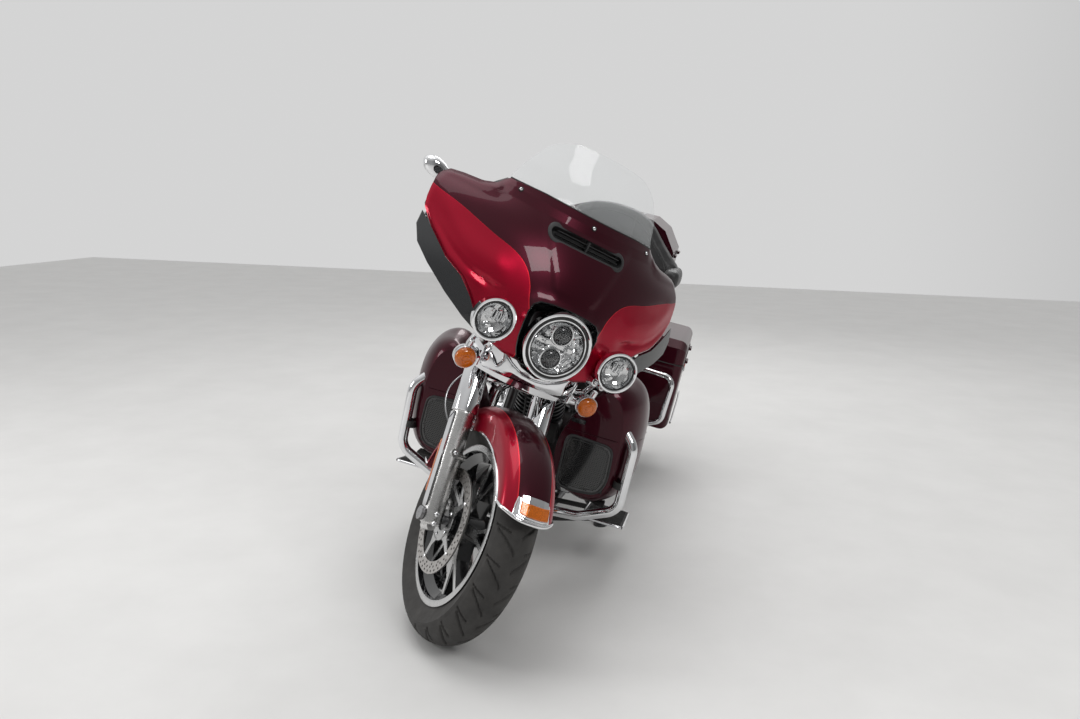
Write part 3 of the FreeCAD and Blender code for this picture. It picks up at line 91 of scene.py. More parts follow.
@dataclass(frozen=True)
class Layout:
    """Main sizes of the upright bike in millimetres: x left, y back, z up, origin at mid wheelbase."""

    front_axle: tuple[float, float, float] = (0.0, -812.5, 320.0)
    rear_axle: tuple[float, float, float] = (0.0, 812.5, 320.0)
    rake: float = 26.0
    fork_angle: float = 29.25
    leg_x: float = 118.0
    lean: float = 12.0

    def leg(self, x: float, s: float, v: float = 0.0) -> Vector:
        """Point by distance up the fork leg from the axle and distance behind it."""
        a = math.radians(self.fork_angle)
        up = Vector((0, math.sin(a), math.cos(a)))
        back = Vector((0, math.cos(a), -math.sin(a)))
        return Vector((x, self.front_axle[1], self.front_axle[2])) + up * s + back * v


LAYOUT = Layout()


class Placer:
    """Takes upright-bike millimetres to the parked frame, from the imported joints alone."""

    def __init__(self, joints: list[dict]) -> None:
        """Reads the wheel and steering axes and solves both placements."""
        found = {joint["name"]: joint for joint in joints}
        steer = Vector(found["steering_turn"]["axis"])
        self.matrices = {
            Rig.CHASSIS: self._solve(found["rear_wheel_spin"], steer, LAYOUT.rear_axle),
            Rig.FORK: self._solve(found["front_wheel_spin"], steer, LAYOUT.front_axle),
        }

    @staticmethod
    def _solve(spin: dict, steer: Vector, axle: Point) -> Matrix:
        """Placement whose axle, axle direction and steering direction match the joints.

        Args:
            spin: Wheel joint with pos_m and axis.
            steer: Steering axis direction in the parked frame.
            axle: Wheel centre on the upright bike.

        Returns:
            Matrix from upright millimetres to parked metres.
        """
        a = math.radians(LAYOUT.rake)
        side = Vector(spin["axis"]).normalized()
        up = steer.normalized()
        cross = side.cross(up).normalized()
        back = up * math.sin(a) - cross * math.cos(a)
        high = up * math.cos(a) + cross * math.sin(a)
        turn = Matrix((side, back, high)).transposed().to_4x4()
        place = Matrix.Translation(Vector(spin["pos_m"])) @ turn @ Matrix.Scale(MM, 4)
        return place @ Matrix.Translation(-Vector(axle))

    def point(self, rig: Rig, spot: Point) -> Vector:
        """Parked place of one upright point."""
        return self.matrices[rig] @ Vector(spot)

    def direction(self, rig: Rig, way: Point) -> Vector:
        """Parked direction of one upright direction."""
        return (self.matrices[rig].to_3x3() @ Vector(way)).normalized()


@dataclass(frozen=True)
class Viewpoint:
    """Camera of the photograph, fitted with the bike leaned about its ground line."""

    place: tuple[float, float, float] = (758.0, -3157.0, 1304.0)
    yaw: float = 11.8
    pitch: float = -9.35
    roll: float = -1.26
    focal: float = 910.0
    centre: tuple[float, float] = (546.0, 323.9)
    frame: tuple[int, int] = (1080, 719)
    sensor: float = 36.0

    def build(self, placer: Placer) -> bpy.types.Object:
        """Makes the camera and sets it as the scene's own.

        Args:
            placer: Gives the chassis placement.

        Returns:
            The camera object.
        """
        unlean = Matrix.Rotation(math.radians(-LAYOUT.lean), 4, "Y")
        to_row = placer.matrices[Rig.CHASSIS] @ unlean
        turn = Matrix.Rotation(math.radians(self.yaw), 3, "Z")
        ahead = turn @ Vector(BACK)
        right = turn @ Vector(LEFT)
        ahead = Matrix.Rotation(math.radians(self.pitch), 3, right) @ ahead
        up = right.cross(ahead)
        tilt = Matrix.Rotation(math.radians(self.roll), 3, ahead)
        right, up = tilt @ right, tilt @ up
        rows = to_row.to_3x3()
        axes = [(rows @ way).normalized() for way in (right, up, -ahead)]
        data = bpy.data.cameras.new("photo_view")
        data.sensor_fit = "HORIZONTAL"
        data.sensor_width = self.sensor
        data.lens = self.focal / self.frame[0] * self.sensor
        data.shift_x = -(self.centre[0] - self.frame[0] / 2) / self.frame[0]
        data.shift_y = (self.centre[1] - self.frame[1] / 2) / self.frame[0]
        data.clip_end = 60.0
        camera = bpy.data.objects.new("photo_view", data)
        matrix = Matrix(axes).transposed().to_4x4()
        matrix.translation = to_row @ Vector(self.place)
        camera.matrix_world = matrix
        bpy.context.scene.collection.objects.link(camera)
        bpy.context.scene.camera = camera
        return camera


@dataclass
class Studio:
    """Pale floor, pale surroundings and soft lamps."""

    floor_half: float = 9.0
    floor_colour: tuple[float, float, float] = (0.70, 0.695, 0.685)

    def build(self) -> None:
        """Makes floor, world and lamps."""
        self._floor()
        self._world()
        self._lamp("key_softbox", (3.2, -3.4, 3.6), (1.6, 1.2), 62.0)
        self._lamp("left_window", (-4.2, -2.2, 2.3), (1.5, 1.7), 58.0)
        self._lamp("back_softbox", (0.5, 3.6, 3.4), (2.4, 1.2), 42.0)
        self._lamp("top_softbox", (-0.4, -0.6, 4.6), (2.6, 2.6), 46.0)

    def _floor(self) -> None:
        """Pale floor that keeps the bike's shadow."""
        half = self.floor_half
        mesh = bpy.data.meshes.new("studio_floor")
        mesh.from_pydata([(-half, -half, 0), (half, -half, 0), (half, half, 0), (-half, half, 0)], [],
                         [(0, 1, 2, 3)])
        material = bpy.data.materials.new("pale_floor")
        material.use_nodes = True
        shader = material.node_tree.nodes["Principled BSDF"]
        shader.inputs["Roughness"].default_value = 0.62
        tree = Tree(material)
        grain = tree.noise(3.0, 5.0, 0.6)
        tree.ramp_to(grain, shader.inputs["Base Color"],
                     ((0.35, (0.66, 0.655, 0.645, 1)), (0.7, (*self.floor_colour, 1))))
        mesh.materials.append(material)
        floor = bpy.data.objects.new("studio_floor", mesh)
        bpy.context.scene.collection.objects.link(floor)

    @staticmethod
    def _world() -> None:
        """Pale surroundings behind and above, a darker room in front, so that bright metal has contrast."""
        world = bpy.data.worlds.new("studio_world")
        world.use_nodes = True
        nodes, links = world.node_tree.nodes, world.node_tree.links
        split = nodes.new("ShaderNodeSeparateXYZ")
        links.new(nodes.new("ShaderNodeTexCoord").outputs["Generated"], split.inputs[0])
        shares = []
        for axis, low, high, dim, full in (("Y", -0.55, 0.30, 0.30, 0.66), ("Z", 0.35, 0.80, 0.0, 0.34),
                                           ("X", 0.10, 0.80, 1.0, 0.45)):
            span = nodes.new("ShaderNodeMapRange")
            span.interpolation_type = "SMOOTHSTEP"
            links.new(split.outputs[axis], span.inputs["Value"])
            for name, number in (("From Min", low), ("From Max", high), ("To Min", dim), ("To Max", full)):
                span.inputs[name].default_value = number
            shares.append(span.outputs["Result"])
        join, dim = nodes.new("ShaderNodeMath"), nodes.new("ShaderNodeMath")
        dim.operation = "MULTIPLY"
        for share, socket in zip(shares + [join.outputs[0]], (*join.inputs[:2], *dim.inputs[:2])):
            links.new(share, socket)
        tint = nodes.new("ShaderNodeCombineColor")
        for socket in tint.inputs:
            links.new(dim.outputs[0], socket)
        links.new(tint.outputs[0], nodes["Background"].inputs["Color"])
        bpy.context.scene.world = world

    @staticmethod
    def _lamp(name: str, place: Point, size: tuple[float, float], watts: float) -> None:
        """One rectangular soft lamp aimed at the bike.

        Args:
            name: Lamp's name.
            place: Position in metres.
            size: Width and height in metres.
            watts: Power.
        """
        data = bpy.data.lights.new(name, "AREA")
        data.shape = "RECTANGLE"
        data.size, data.size_y = size
        data.energy = watts
        lamp = bpy.data.objects.new(name, data)
        lamp.location = place
        lamp.rotation_euler = (Vector((0, -0.2, 0.7)) - Vector(place)).to_track_quat("-Z", "Y").to_euler()
        bpy.context.scene.collection.objects.link(lamp)


class Tree:
    """Small helper that wires one material's nodes."""

    def __init__(self, material: bpy.types.Material) -> None:
        """Keeps the material's tree and its object coordinates."""
        self.tree = material.node_tree
        self.shader = self.tree.nodes["Principled BSDF"]
        self.coords = self.tree.nodes.new("ShaderNodeTexCoord").outputs["Object"]

    def node(self, kind: str, **settings: object) -> bpy.types.Node:
        """New node with some of its settings."""
        made = self.tree.nodes.new(kind)
        for key, value in settings.items():
            setattr(made, key, value)
        return made

    def link(self, source: bpy.types.NodeSocket, target: bpy.types.NodeSocket) -> None:
        """Joins two sockets."""
        self.tree.links.new(source, target)

    def plug(self, value: object, socket: bpy.types.NodeSocket) -> None:
        """Feeds a socket from a node's output or a plain value."""
        if isinstance(value, bpy.types.NodeSocket):
            self.link(value, socket)
        else:
            socket.default_value = value

    def noise(self, scale: float, detail: float = 3.0, rough: float = 0.5,
              vector: bpy.types.NodeSocket | None = None) -> bpy.types.NodeSocket:
        """Noise value on object coordinates."""
        made = self.node("ShaderNodeTexNoise")
        made.inputs["Scale"].default_value = scale
        made.inputs["Detail"].default_value = detail
        made.inputs["Roughness"].default_value = rough
        self.link(vector or self.coords, made.inputs["Vector"])
        return made.outputs["Fac"]

    def cells(self, scale: float, feature: str = "F1",
              vector: bpy.types.NodeSocket | None = None) -> bpy.types.NodeSocket:
        """Cell distance on object coordinates."""
        made = self.node("ShaderNodeTexVoronoi", feature=feature)
        made.inputs["Scale"].default_value = scale
        self.link(vector or self.coords, made.inputs["Vector"])
        return made.outputs["Distance"]

    def math(self, operation: str, *values: object) -> bpy.types.NodeSocket:
        """Arithmetic on sockets and numbers."""
        made = self.node("ShaderNodeMath", operation=operation)
        for socket, value in zip(made.inputs, values):
            self.plug(value, socket)
        return made.outputs[0]

    def span(self, value: bpy.types.NodeSocket, low: float, high: float, out_low: float,
             out_high: float) -> bpy.types.NodeSocket:
        """Value mapped from one range to another and clamped."""
        made = self.node("ShaderNodeMapRange")
        self.link(value, made.inputs["Value"])
        for name, number in (("From Min", low), ("From Max", high), ("To Min", out_low),
                             ("To Max", out_high)):
            made.inputs[name].default_value = number
        return made.outputs["Result"]

    def mix(self, share: object, first: object, second: object) -> bpy.types.NodeSocket:
        """Colour mix of two sockets or colours."""
        made = self.node("ShaderNodeMix", data_type="RGBA")
        self.plug(share, made.inputs["Factor"])
        self.plug(first, made.inputs["A"])
        self.plug(second, made.inputs["B"])
        return made.outputs["Result"]

    def ramp_to(self, value: bpy.types.NodeSocket, target: bpy.types.NodeSocket,
                stops: Sequence[tuple[float, tuple[float, float, float, float]]]) -> None:
        """Colour ramp from a value to a socket."""
        made = self.node("ShaderNodeValToRGB")
        elements = made.color_ramp.elements
        while len(elements) < len(stops):
            elements.new(0.5)
        for element, (place, colour) in zip(elements, stops):
            element.position = place
            element.color = colour
        self.link(value, made.inputs[0])
        self.link(made.outputs[0], target)

    def bump(self, height: bpy.types.NodeSocket, strength: float, distance: float,
             under: bpy.types.NodeSocket | None = None) -> bpy.types.NodeSocket:
        """Bump from a height, laid over another one if given."""
        made = self.node("ShaderNodeBump")
        made.inputs["Strength"].default_value = strength
        made.inputs["Distance"].default_value = distance
        self.link(height, made.inputs["Height"])
        if under is not None:
            self.link(under, made.inputs["Normal"])
        self.link(made.outputs[0], self.shader.inputs["Normal"])
        return made.outputs[0]

    def from_front_axle(self, y: bpy.types.NodeSocket, z: bpy.types.NodeSocket) -> bpy.types.NodeSocket:
        """Distance from the front axle's line, in metres, by place behind and above the bike's origin."""
        high = self.math("SUBTRACT", z, LAYOUT.front_axle[2] * MM)
        deep = self.math("SUBTRACT", y, LAYOUT.front_axle[1] * MM)
        squares = self.math("ADD", self.math("MULTIPLY", high, high), self.math("MULTIPLY", deep, deep))
        return self.math("SQRT", squares)

    def bike_space(self, placer: Placer, rig: Rig) -> bpy.types.NodeSocket:
        """Upright-bike coordinates in metres from the parked object coordinates."""
        back = placer.matrices[rig].inverted() @ Matrix.Scale(1.0, 4)
        turn = back.to_3x3().normalized()
        made = self.node("ShaderNodeMapping", vector_type="POINT")
        made.inputs["Rotation"].default_value = turn.to_euler("XYZ")
        made.inputs["Location"].default_value = back.translation * MM
        self.link(self.coords, made.inputs["Vector"])
        return made.outputs[0]


class Finish:
    """A material made of nodes, built once and shared."""

    name = "finish"

    def __init__(self) -> None:
        """Starts with no material."""
        self.made: bpy.types.Material | None = None

    def material(self) -> bpy.types.Material:
        """The finish's material, made at its first use."""
        if self.made is None:
            self.made = bpy.data.materials.new(self.name)
            self.made.use_nodes = True
            self.dress(Tree(self.made))
        return self.made

    def dress(self, tree: Tree) -> None:
        """Wires the nodes; each finish has its own."""
        raise NotImplementedError


def plain_inputs(tree: Tree, **values: object) -> None:
    """Sets constants on the shader's own sockets, with spaces for underscores."""
    for key, value in values.items():
        tree.shader.inputs[key.replace("_", " ")].default_value = value


@dataclass(frozen=True)
class PaintLine:
    """Boundary between the two paint colours, as half-width by height on the upright bike, in metres."""

    low: float
    high: float
    widest: float
    points: tuple[tuple[float, float], ...]


class Candy(Finish):
    """Deep clear-coated paint with fine flake; two tones parted by a bright pinstripe."""

    dark = (0.050, 0.0040, 0.0110, 1.0)
    dark_deep = (0.038, 0.0030, 0.0085, 1.0)
    bright = (0.36, 0.0020, 0.022, 1.0)
    bright_deep = (0.29, 0.0016, 0.017, 1.0)
    stripe = (0.66, 0.020, 0.034, 1.0)
    flake = (0.70, 0.05, 0.08, 1.0)

    def __init__(self, name: str, placer: Placer, rig: Rig, split: str = "none") -> None:
        """Stores which pattern this paint follows.

        Args:
            name: Material name.
            placer: Gives the upright coordinates.
            rig: Group the painted piece belongs to.
            split: Pattern of the two tones: none, dark, fairing, fender, side.
        """
        super().__init__()
        self.name = name
        self.placer, self.rig, self.split = placer, rig, split

    def dress(self, tree: Tree) -> None:
        """Flake, orange peel, colour depth and the pinstripe."""
        plain_inputs(tree, Metallic=0.60, Roughness=0.30, Coat_Weight=0.36, Coat_Roughness=0.02,
                     Specular_IOR_Level=0.08)
        flake = tree.cells(2600.0)
        depth = tree.noise(2.2, 2.0)
        bright = tree.mix(tree.span(depth, 0.35, 0.65, 0.0, 1.0), self.bright, self.bright_deep)
        dark = tree.mix(tree.span(depth, 0.35, 0.65, 0.0, 1.0), self.dark, self.dark_deep)
        colour = dark
        if self.split == "none":
            colour = bright
        elif self.split != "dark":
            inside, line = self.pattern(tree)
            colour = tree.mix(inside, bright, dark)
            colour = tree.mix(line, colour, self.stripe)
        speck = tree.mix(tree.span(flake, 0.0, 0.35, 0.30, 0.0), colour, self.flake)
        glint = tree.mix(0.12, colour, speck)
        tree.link(glint, tree.shader.inputs["Base Color"])
        tree.bump(tree.noise(420.0, 2.0), 0.008, 0.0006)

    def pattern(self, tree: Tree) -> tuple[bpy.types.NodeSocket, bpy.types.NodeSocket]:
        """Mask of the dark tone and of the pinstripe."""
        space = tree.bike_space(self.placer, self.rig)
        split = tree.node("ShaderNodeSeparateXYZ")
        tree.link(space, split.inputs[0])
        x, y, z = split.outputs
        side = tree.math("ABSOLUTE", x)
        if self.split == "fairing":
            edge = self.follow(tree, z, FAIRING_LINE)
            gap = tree.math("SUBTRACT", side, edge)
        elif self.split == "fender":
            reach = tree.from_front_axle(y, z)
            bow = tree.span(z, 0.35, 0.68, 0.0, 0.016)
            gap = tree.math("SUBTRACT", side, tree.math("ADD", 0.038, bow))
            gap = tree.math("MAXIMUM", gap, tree.math("SUBTRACT", 0.318, reach))
        else:
            edge = self.follow(tree, y, SIDE_LINE)
            gap = tree.math("SUBTRACT", z, edge)
        inside = tree.span(gap, -0.0002, 0.0002, 1.0, 0.0)
        line = tree.span(tree.math("ABSOLUTE", gap), 0.0011, 0.0015, 1.0, 0.0)
        return inside, line

    @staticmethod
    def follow(tree: Tree, along: bpy.types.NodeSocket, line: PaintLine) -> bpy.types.NodeSocket:
        """Half-width of the boundary at one height."""
        share = tree.span(along, line.low, line.high, 0.0, 1.0)
        made = tree.node("ShaderNodeFloatCurve")
        curve = made.mapping.curves[0]
        spots = [((a - line.low) / (line.high - line.low), b / line.widest) for a, b in line.points]
        while len(curve.points) < len(spots):
            curve.points.new(0.5, 0.5)
        for point, (a, b) in zip(curve.points, spots):
            point.location = (a, b)
        made.mapping.update()
        tree.link(share, made.inputs["Value"])
        return tree.math("MULTIPLY", made.outputs[0], line.widest)


FAIRING_LINE = PaintLine(0.86, 1.22, 0.50, (
    (0.86, 0.090), (0.901, 0.099), (0.967, 0.123), (1.006, 0.136), (1.040, 0.160), (1.060, 0.191),
    (1.079, 0.271), (1.104, 0.372), (1.117, 0.447), (1.14, 0.50), (1.22, 0.50)))
SIDE_LINE = PaintLine(0.40, 1.20, 1.2, ((0.40, 0.52), (0.60, 0.56), (0.90, 0.60), (1.20, 0.62)))


class Chrome(Finish):
    """Bright plating with faint haze and wiping marks."""

    name = "chrome_plate"

    def dress(self, tree: Tree) -> None:
        """Near-mirror metal with slow roughness changes."""
        plain_inputs(tree, Metallic=1.0)
        tree.ramp_to(tree.noise(9.0, 4.0), tree.shader.inputs["Base Color"],
                     ((0.3, (0.74, 0.745, 0.76, 1)), (0.7, (0.84, 0.845, 0.855, 1))))
        tree.link(tree.span(tree.noise(38.0, 5.0, 0.7), 0.3, 0.75, 0.03, 0.075),
                  tree.shader.inputs["Roughness"])


class DarkChrome(Finish):
    """Smoked plating of the lower clamp bar."""

    name = "smoked_chrome"

    def dress(self, tree: Tree) -> None:
        """Darker mirror metal."""
        plain_inputs(tree, Metallic=1.0, Base_Color=(0.21, 0.205, 0.21, 1))
        tree.link(tree.span(tree.noise(38.0, 5.0, 0.7), 0.3, 0.75, 0.08, 0.16),
                  tree.shader.inputs["Roughness"])


class SatinAlloy(Finish):
    """Turned and polished alloy of the fork sliders."""

    name = "satin_alloy"

    def dress(self, tree: Tree) -> None:
        """Soft metal with fine drawn marks and cloudy wear."""
        plain_inputs(tree, Metallic=1.0)
        tree.ramp_to(tree.noise(26.0, 6.0, 0.7), tree.shader.inputs["Base Color"],
                     ((0.3, (0.55, 0.545, 0.535, 1)), (0.72, (0.70, 0.695, 0.685, 1))))
        tree.link(tree.span(tree.noise(70.0, 3.0, 0.5), 0.3, 0.7, 0.24, 0.30),
                  tree.shader.inputs["Roughness"])


class RotorSteel(Finish):
    """Ground brake disc with ring-shaped grinding marks."""

    name = "rotor_steel"

    def __init__(self, placer: Placer) -> None:
        """Keeps the placer, since the rings follow the wheel's axis."""
        super().__init__()
        self.placer = placer

    def dress(self, tree: Tree) -> None:
        """Rings around the front axle and a slightly browned pad track."""
        plain_inputs(tree, Metallic=1.0)
        space = tree.bike_space(self.placer, Rig.FORK)
        split = tree.node("ShaderNodeSeparateXYZ")
        tree.link(space, split.inputs[0])
        reach = tree.from_front_axle(split.outputs[1], split.outputs[2])
        rings = tree.noise(1.0, 4.0, 0.8, vector=self._spread(tree, reach))
        tree.ramp_to(rings, tree.shader.inputs["Base Color"],
                     ((0.3, (0.36, 0.34, 0.325, 1)), (0.7, (0.56, 0.545, 0.53, 1))))
        tree.link(tree.span(rings, 0.3, 0.7, 0.22, 0.38), tree.shader.inputs["Roughness"])
        tree.bump(rings, 0.15, 0.0003)

    @staticmethod
    def _spread(tree: Tree, reach: bpy.types.NodeSocket) -> bpy.types.NodeSocket:
        """Vector that only changes with the radius."""
        join = tree.node("ShaderNodeCombineXYZ")
        tree.link(tree.math("MULTIPLY", reach, 1400.0), join.inputs[0])
        return join.outputs[0]


class Coated(Finish):
    """Opaque coat, moulding or rubber, described by its numbers."""

    def __init__(self, name: str, low: Point, high: Point, rough: tuple[float, float], grain: float,
                 relief: float, metallic: float = 0.0, coat: float = 0.0, sheen: float = 0.0) -> None:
        """Stores the finish's numbers.

        Args:
            name: Material name.
            low: Darker colour.
            high: Lighter colour.
            rough: Lowest and highest roughness.
            grain: Scale of the surface grain.
            relief: Bump distance in metres.
            metallic: Metallic share.
            coat: Clear coat share.
            sheen: Cloth-like sheen.
        """
        super().__init__()
        self.name = name
        self.low, self.high, self.rough, self.grain, self.relief = low, high, rough, grain, relief
        self.metallic, self.coat, self.sheen = metallic, coat, sheen

    def dress(self, tree: Tree) -> None:
        """Cloudy colour, grain and roughness."""
        plain_inputs(tree, Metallic=self.metallic, Coat_Weight=self.coat, Coat_Roughness=0.06,
                     Sheen_Weight=self.sheen)
        cloud = tree.noise(7.0, 5.0, 0.65)
        tree.ramp_to(cloud, tree.shader.inputs["Base Color"],
                     ((0.3, (*self.low, 1)), (0.72, (*self.high, 1))))
        tree.link(tree.span(tree.noise(31.0, 4.0, 0.6), 0.3, 0.7, *self.rough),
                  tree.shader.inputs["Roughness"])
        tree.bump(tree.noise(self.grain, 3.0), 0.5, self.relief)


class Leather(Finish):
    """Black saddle leather with pebbled grain and worn high spots."""

    name = "saddle_leather"

    def dress(self, tree: Tree) -> None:
        """Pebble cells over slow creases."""
        plain_inputs(tree, Sheen_Weight=0.12, Specular_IOR_Level=0.42)
        cloud = tree.noise(5.0, 6.0, 0.6)
        tree.ramp_to(cloud, tree.shader.inputs["Base Color"],
                     ((0.3, (0.010, 0.010, 0.011, 1)), (0.75, (0.026, 0.025, 0.025, 1))))
        tree.link(tree.span(cloud, 0.3, 0.7, 0.52, 0.38), tree.shader.inputs["Roughness"])
        creases = tree.bump(tree.noise(24.0, 4.0, 0.6), 0.25, 0.0015)
        tree.bump(tree.cells(520.0, "DISTANCE_TO_EDGE"), 0.55, 0.0005, creases)


class ClearScreen(Finish):
    """Clear plastic, seen mostly by its reflections and a thin white haze that is partly painted
    reflection.
    """

    name = "clear_screen"

    def dress(self, tree: Tree) -> None:
        """Thin sheet: mostly see-through, with a trace of white that is partly haze and partly painted
        reflection of the lit room.
        """
        # The white base colour at low alpha is partly the plastic's haze and partly a painted reflection.
        plain_inputs(tree, Base_Color=(0.86, 0.89, 0.90, 1), Roughness=0.02, IOR=1.45, Alpha=0.16,
                     Specular_IOR_Level=0.7)
        haze = tree.noise(6.0, 5.0, 0.6)
        tree.link(tree.span(haze, 0.3, 0.7, 0.012, 0.045), tree.shader.inputs["Roughness"])


class LampCover(Finish):
    """Hard clear cover of the lamps."""

    name = "lamp_cover"

    def dress(self, tree: Tree) -> None:
        """Almost nothing but its shine."""
        plain_inputs(tree, Base_Color=(0.20, 0.21, 0.22, 1), IOR=1.5, Alpha=0.07, Specular_IOR_Level=1.0)
        tree.link(tree.span(tree.noise(12.0, 4.0), 0.3, 0.7, 0.008, 0.02), tree.shader.inputs["Roughness"])


class Lens(Finish):
    """Moulded lens with fine flutes; coloured or clear."""

    def __init__(self, name: str, colour: Point, through: float, flutes: float, painted_glow: float = 0.0) -> None:
        """Stores colour, see-through share, flute scale and a faint painted glow that stands in for light
        caught in the lens.
        """
        super().__init__()
        self.name, self.colour, self.through, self.flutes, self.painted_glow = name, colour, through, flutes, painted_glow

    def dress(self, tree: Tree) -> None:
        """Glossy body, cells of prisms under it."""
        plain_inputs(tree, Roughness=0.05, IOR=1.46, Transmission_Weight=self.through, Coat_Weight=0.6)
        cells = tree.cells(self.flutes)
        deep = tuple(c * 0.62 for c in self.colour)
        tree.ramp_to(cells, tree.shader.inputs["Base Color"], ((0.1, (*self.colour, 1)), (0.6, (*deep, 1))))
        # The faint emission is painted light: it makes the lens glow though no lamp shines behind it.
        if self.painted_glow:
            tree.shader.inputs["Emission Color"].default_value = (*self.colour, 1)
            tree.shader.inputs["Emission Strength"].default_value = self.painted_glow
        if self.flutes > 1.0:
            tree.bump(cells, 0.4, 0.0008)


class Shape:
    """Growing mesh in upright-bike millimetres."""

    def __init__(self) -> None:
        """Starts empty."""
        self.points: list[Vector] = []
        self.faces: list[tuple[int, ...]] = []

    def add(self, points: Iterable[Point], faces: Iterable[Face]) -> "Shape":
        """Adds points and the faces that index them."""
        start = len(self.points)
        self.points.extend(Vector(point) for point in points)
        self.faces.extend(tuple(index + start for index in face) for face in faces)
        return self

    def join(self, other: "Shape") -> "Shape":
        """Adds another shape."""
        return self.add(other.points, other.faces)

    def moved(self, change: Callable[[Vector], Vector]) -> "Shape":
        """Copy with every point changed."""
        made = Shape()
        made.points = [change(point) for point in self.points]
        made.faces = list(self.faces)
        return made

    def mirrored(self) -> "Shape":
        """Copy on the other side of the bike, still facing outwards."""
        made = Shape()
        made.points = [Vector((-p.x, p.y, p.z)) for p in self.points]
        made.faces = [tuple(reversed(face)) for face in self.faces]
        return made

    def both_sides(self) -> "Shape":
        """This shape and its mirror image as one."""
        return Shape().join(self).join(self.mirrored())

    @staticmethod
    def frame_of(axis: Point) -> tuple[Vector, Vector, Vector]:
        """Unit axis and two directions square to it."""
        way = Vector(axis).normalized()
        other = Vector(UP) if abs(way.z) < 0.9 else Vector(BACK)
        u = way.cross(other).normalized()
        return way, u, way.cross(u).normalized()

    @classmethod
    def lathe(cls, profile: Sequence[tuple[float, float]], centre: Point, axis: Point,
              count: int = 48) -> "Shape":
        """Closed body turned from (along, radius) pairs; ends on the axis close by themselves.

        Args:
            profile: Pairs of distance along the axis and radius.
            centre: Zero point of the axis.
            axis: Its direction.
            count: Steps round.

        Returns:
            The turned shape.
        """
        way, u, v = cls.frame_of(axis)
        base = Vector(centre)
        made = cls()
        rows = []
        for along, radius in profile:
            if radius < 1e-6:
                made.points.append(base + way * along)
                rows.append([len(made.points) - 1] * count)
                continue
            start = len(made.points)
            for i in range(count):
                a = 2 * math.pi * i / count
                made.points.append(base + way * along + (u * math.cos(a) + v * math.sin(a)) * radius)
            rows.append(list(range(start, start + count)))
        for low, high in zip(rows, rows[1:]):
            for i in range(count):
                j = (i + 1) % count
                ring = [low[i], low[j], high[j], high[i]]
                face = tuple(dict.fromkeys(ring))
                if len(face) > 2:
                    made.faces.append(face)
        return made

    @classmethod
    def tube(cls, path: Sequence[Point], radius: float | Sequence[float], count: int = 16,
             closed: bool = False) -> "Shape":
        """Round bar along a path with closed ends.

        Args:
            path: Points of the centre line.
            radius: One radius or one for each point.
            count: Sides.
            closed: Whether the path is a loop.

        Returns:
            The bar.
        """
        spots = [Vector(point) for point in path]
        radii = [radius] * len(spots) if isinstance(radius, (int, float)) else list(radius)
        made = cls()
        last = None
        rings = []
        total = len(spots)
        for i, spot in enumerate(spots):
            after = spots[(i + 1) % total] if closed else spots[min(i + 1, total - 1)]
            before = spots[i - 1] if closed else spots[max(i - 1, 0)]
            way = (after - before).normalized()
            u = cls.frame_of(way)[1] if last is None else (last - way * last.dot(way)).normalized()
            last = u
            v = way.cross(u)
            rings.append([len(made.points) + k for k in range(count)])
            for k in range(count):
                a = 2 * math.pi * k / count
                made.points.append(spot + (u * math.cos(a) + v * math.sin(a)) * radii[i])
        pairs = list(zip(rings, rings[1:])) + ([(rings[-1], rings[0])] if closed else [])
        for low, high in pairs:
            for k in range(count):
                j = (k + 1) % count
                made.faces.append((low[k], low[j], high[j], high[k]))
        if not closed:
            made.faces.append(tuple(reversed(rings[0])))
            made.faces.append(tuple(rings[-1]))
        return made

    @classmethod
    def slab(cls, outline: Sequence[tuple[float, float]], origin: Point, u: Point, v: Point, thick: float,
             edge: float = 0.0) -> "Shape":
        """Flat plate of an outline, with softened rims.

        Args:
            outline: Corners, counter-clockwise when seen against the plate's normal u x v.
            origin: Place of (0, 0) on the back face.
            u: First direction.
            v: Second direction.
            thick: Thickness along u x v.
            edge: Width of the chamfer.

        Returns:
            The plate.
        """
        du, dv = Vector(u).normalized(), Vector(v).normalized()
        normal = du.cross(dv)
        base = Vector(origin)
        flat = [Vector((a, b, 0)) for a, b in outline]
        total = len(flat)
        area = sum(flat[i].x * flat[(i + 1) % total].y - flat[(i + 1) % total].x * flat[i].y
                   for i in range(total))
        if area < 0:
            flat.reverse()
        inner = []
        for i, spot in enumerate(flat):
            back, ahead = spot - flat[i - 1], flat[(i + 1) % total] - spot
            normals = [Vector((-side.y, side.x, 0)).normalized() for side in (back, ahead)]
            turn = (normals[0] + normals[1]).normalized()
            inner.append(spot + turn * edge / max(turn.dot(normals[0]), 0.4))
        layers = [(flat, 0.0), (flat, thick - edge),
                  (inner, thick)] if edge else [(flat, 0.0), (flat, thick)]
        made = cls()
        rings = []
        for ring, high in layers:
            rings.append([len(made.points) + k for k in range(total)])
            made.points.extend(base + du * p.x + dv * p.y + normal * high for p in ring)
        for low, high in zip(rings, rings[1:]):
            for k in range(total):
                j = (k + 1) % total
                made.faces.append((low[k], low[j], high[j], high[k]))
        made.faces.append(tuple(reversed(rings[0])))
        made.faces.append(tuple(rings[-1]))
        return made

    @classmethod
    def sheet(cls, rows: Sequence[Sequence[Point]], closed: bool = False) -> "Shape":
        """Surface through rows of points; closed joins each row's ends."""
        made = cls()
        width = len(rows[0])
        for row in rows:
            made.points.extend(Vector(point) for point in row)
        for i in range(len(rows) - 1):
            for k in range(width if closed else width - 1):
                j = (k + 1) % width
                made.faces.append((i * width + k, i * width + j, (i + 1) * width + j, (i + 1) * width + k))
        return made

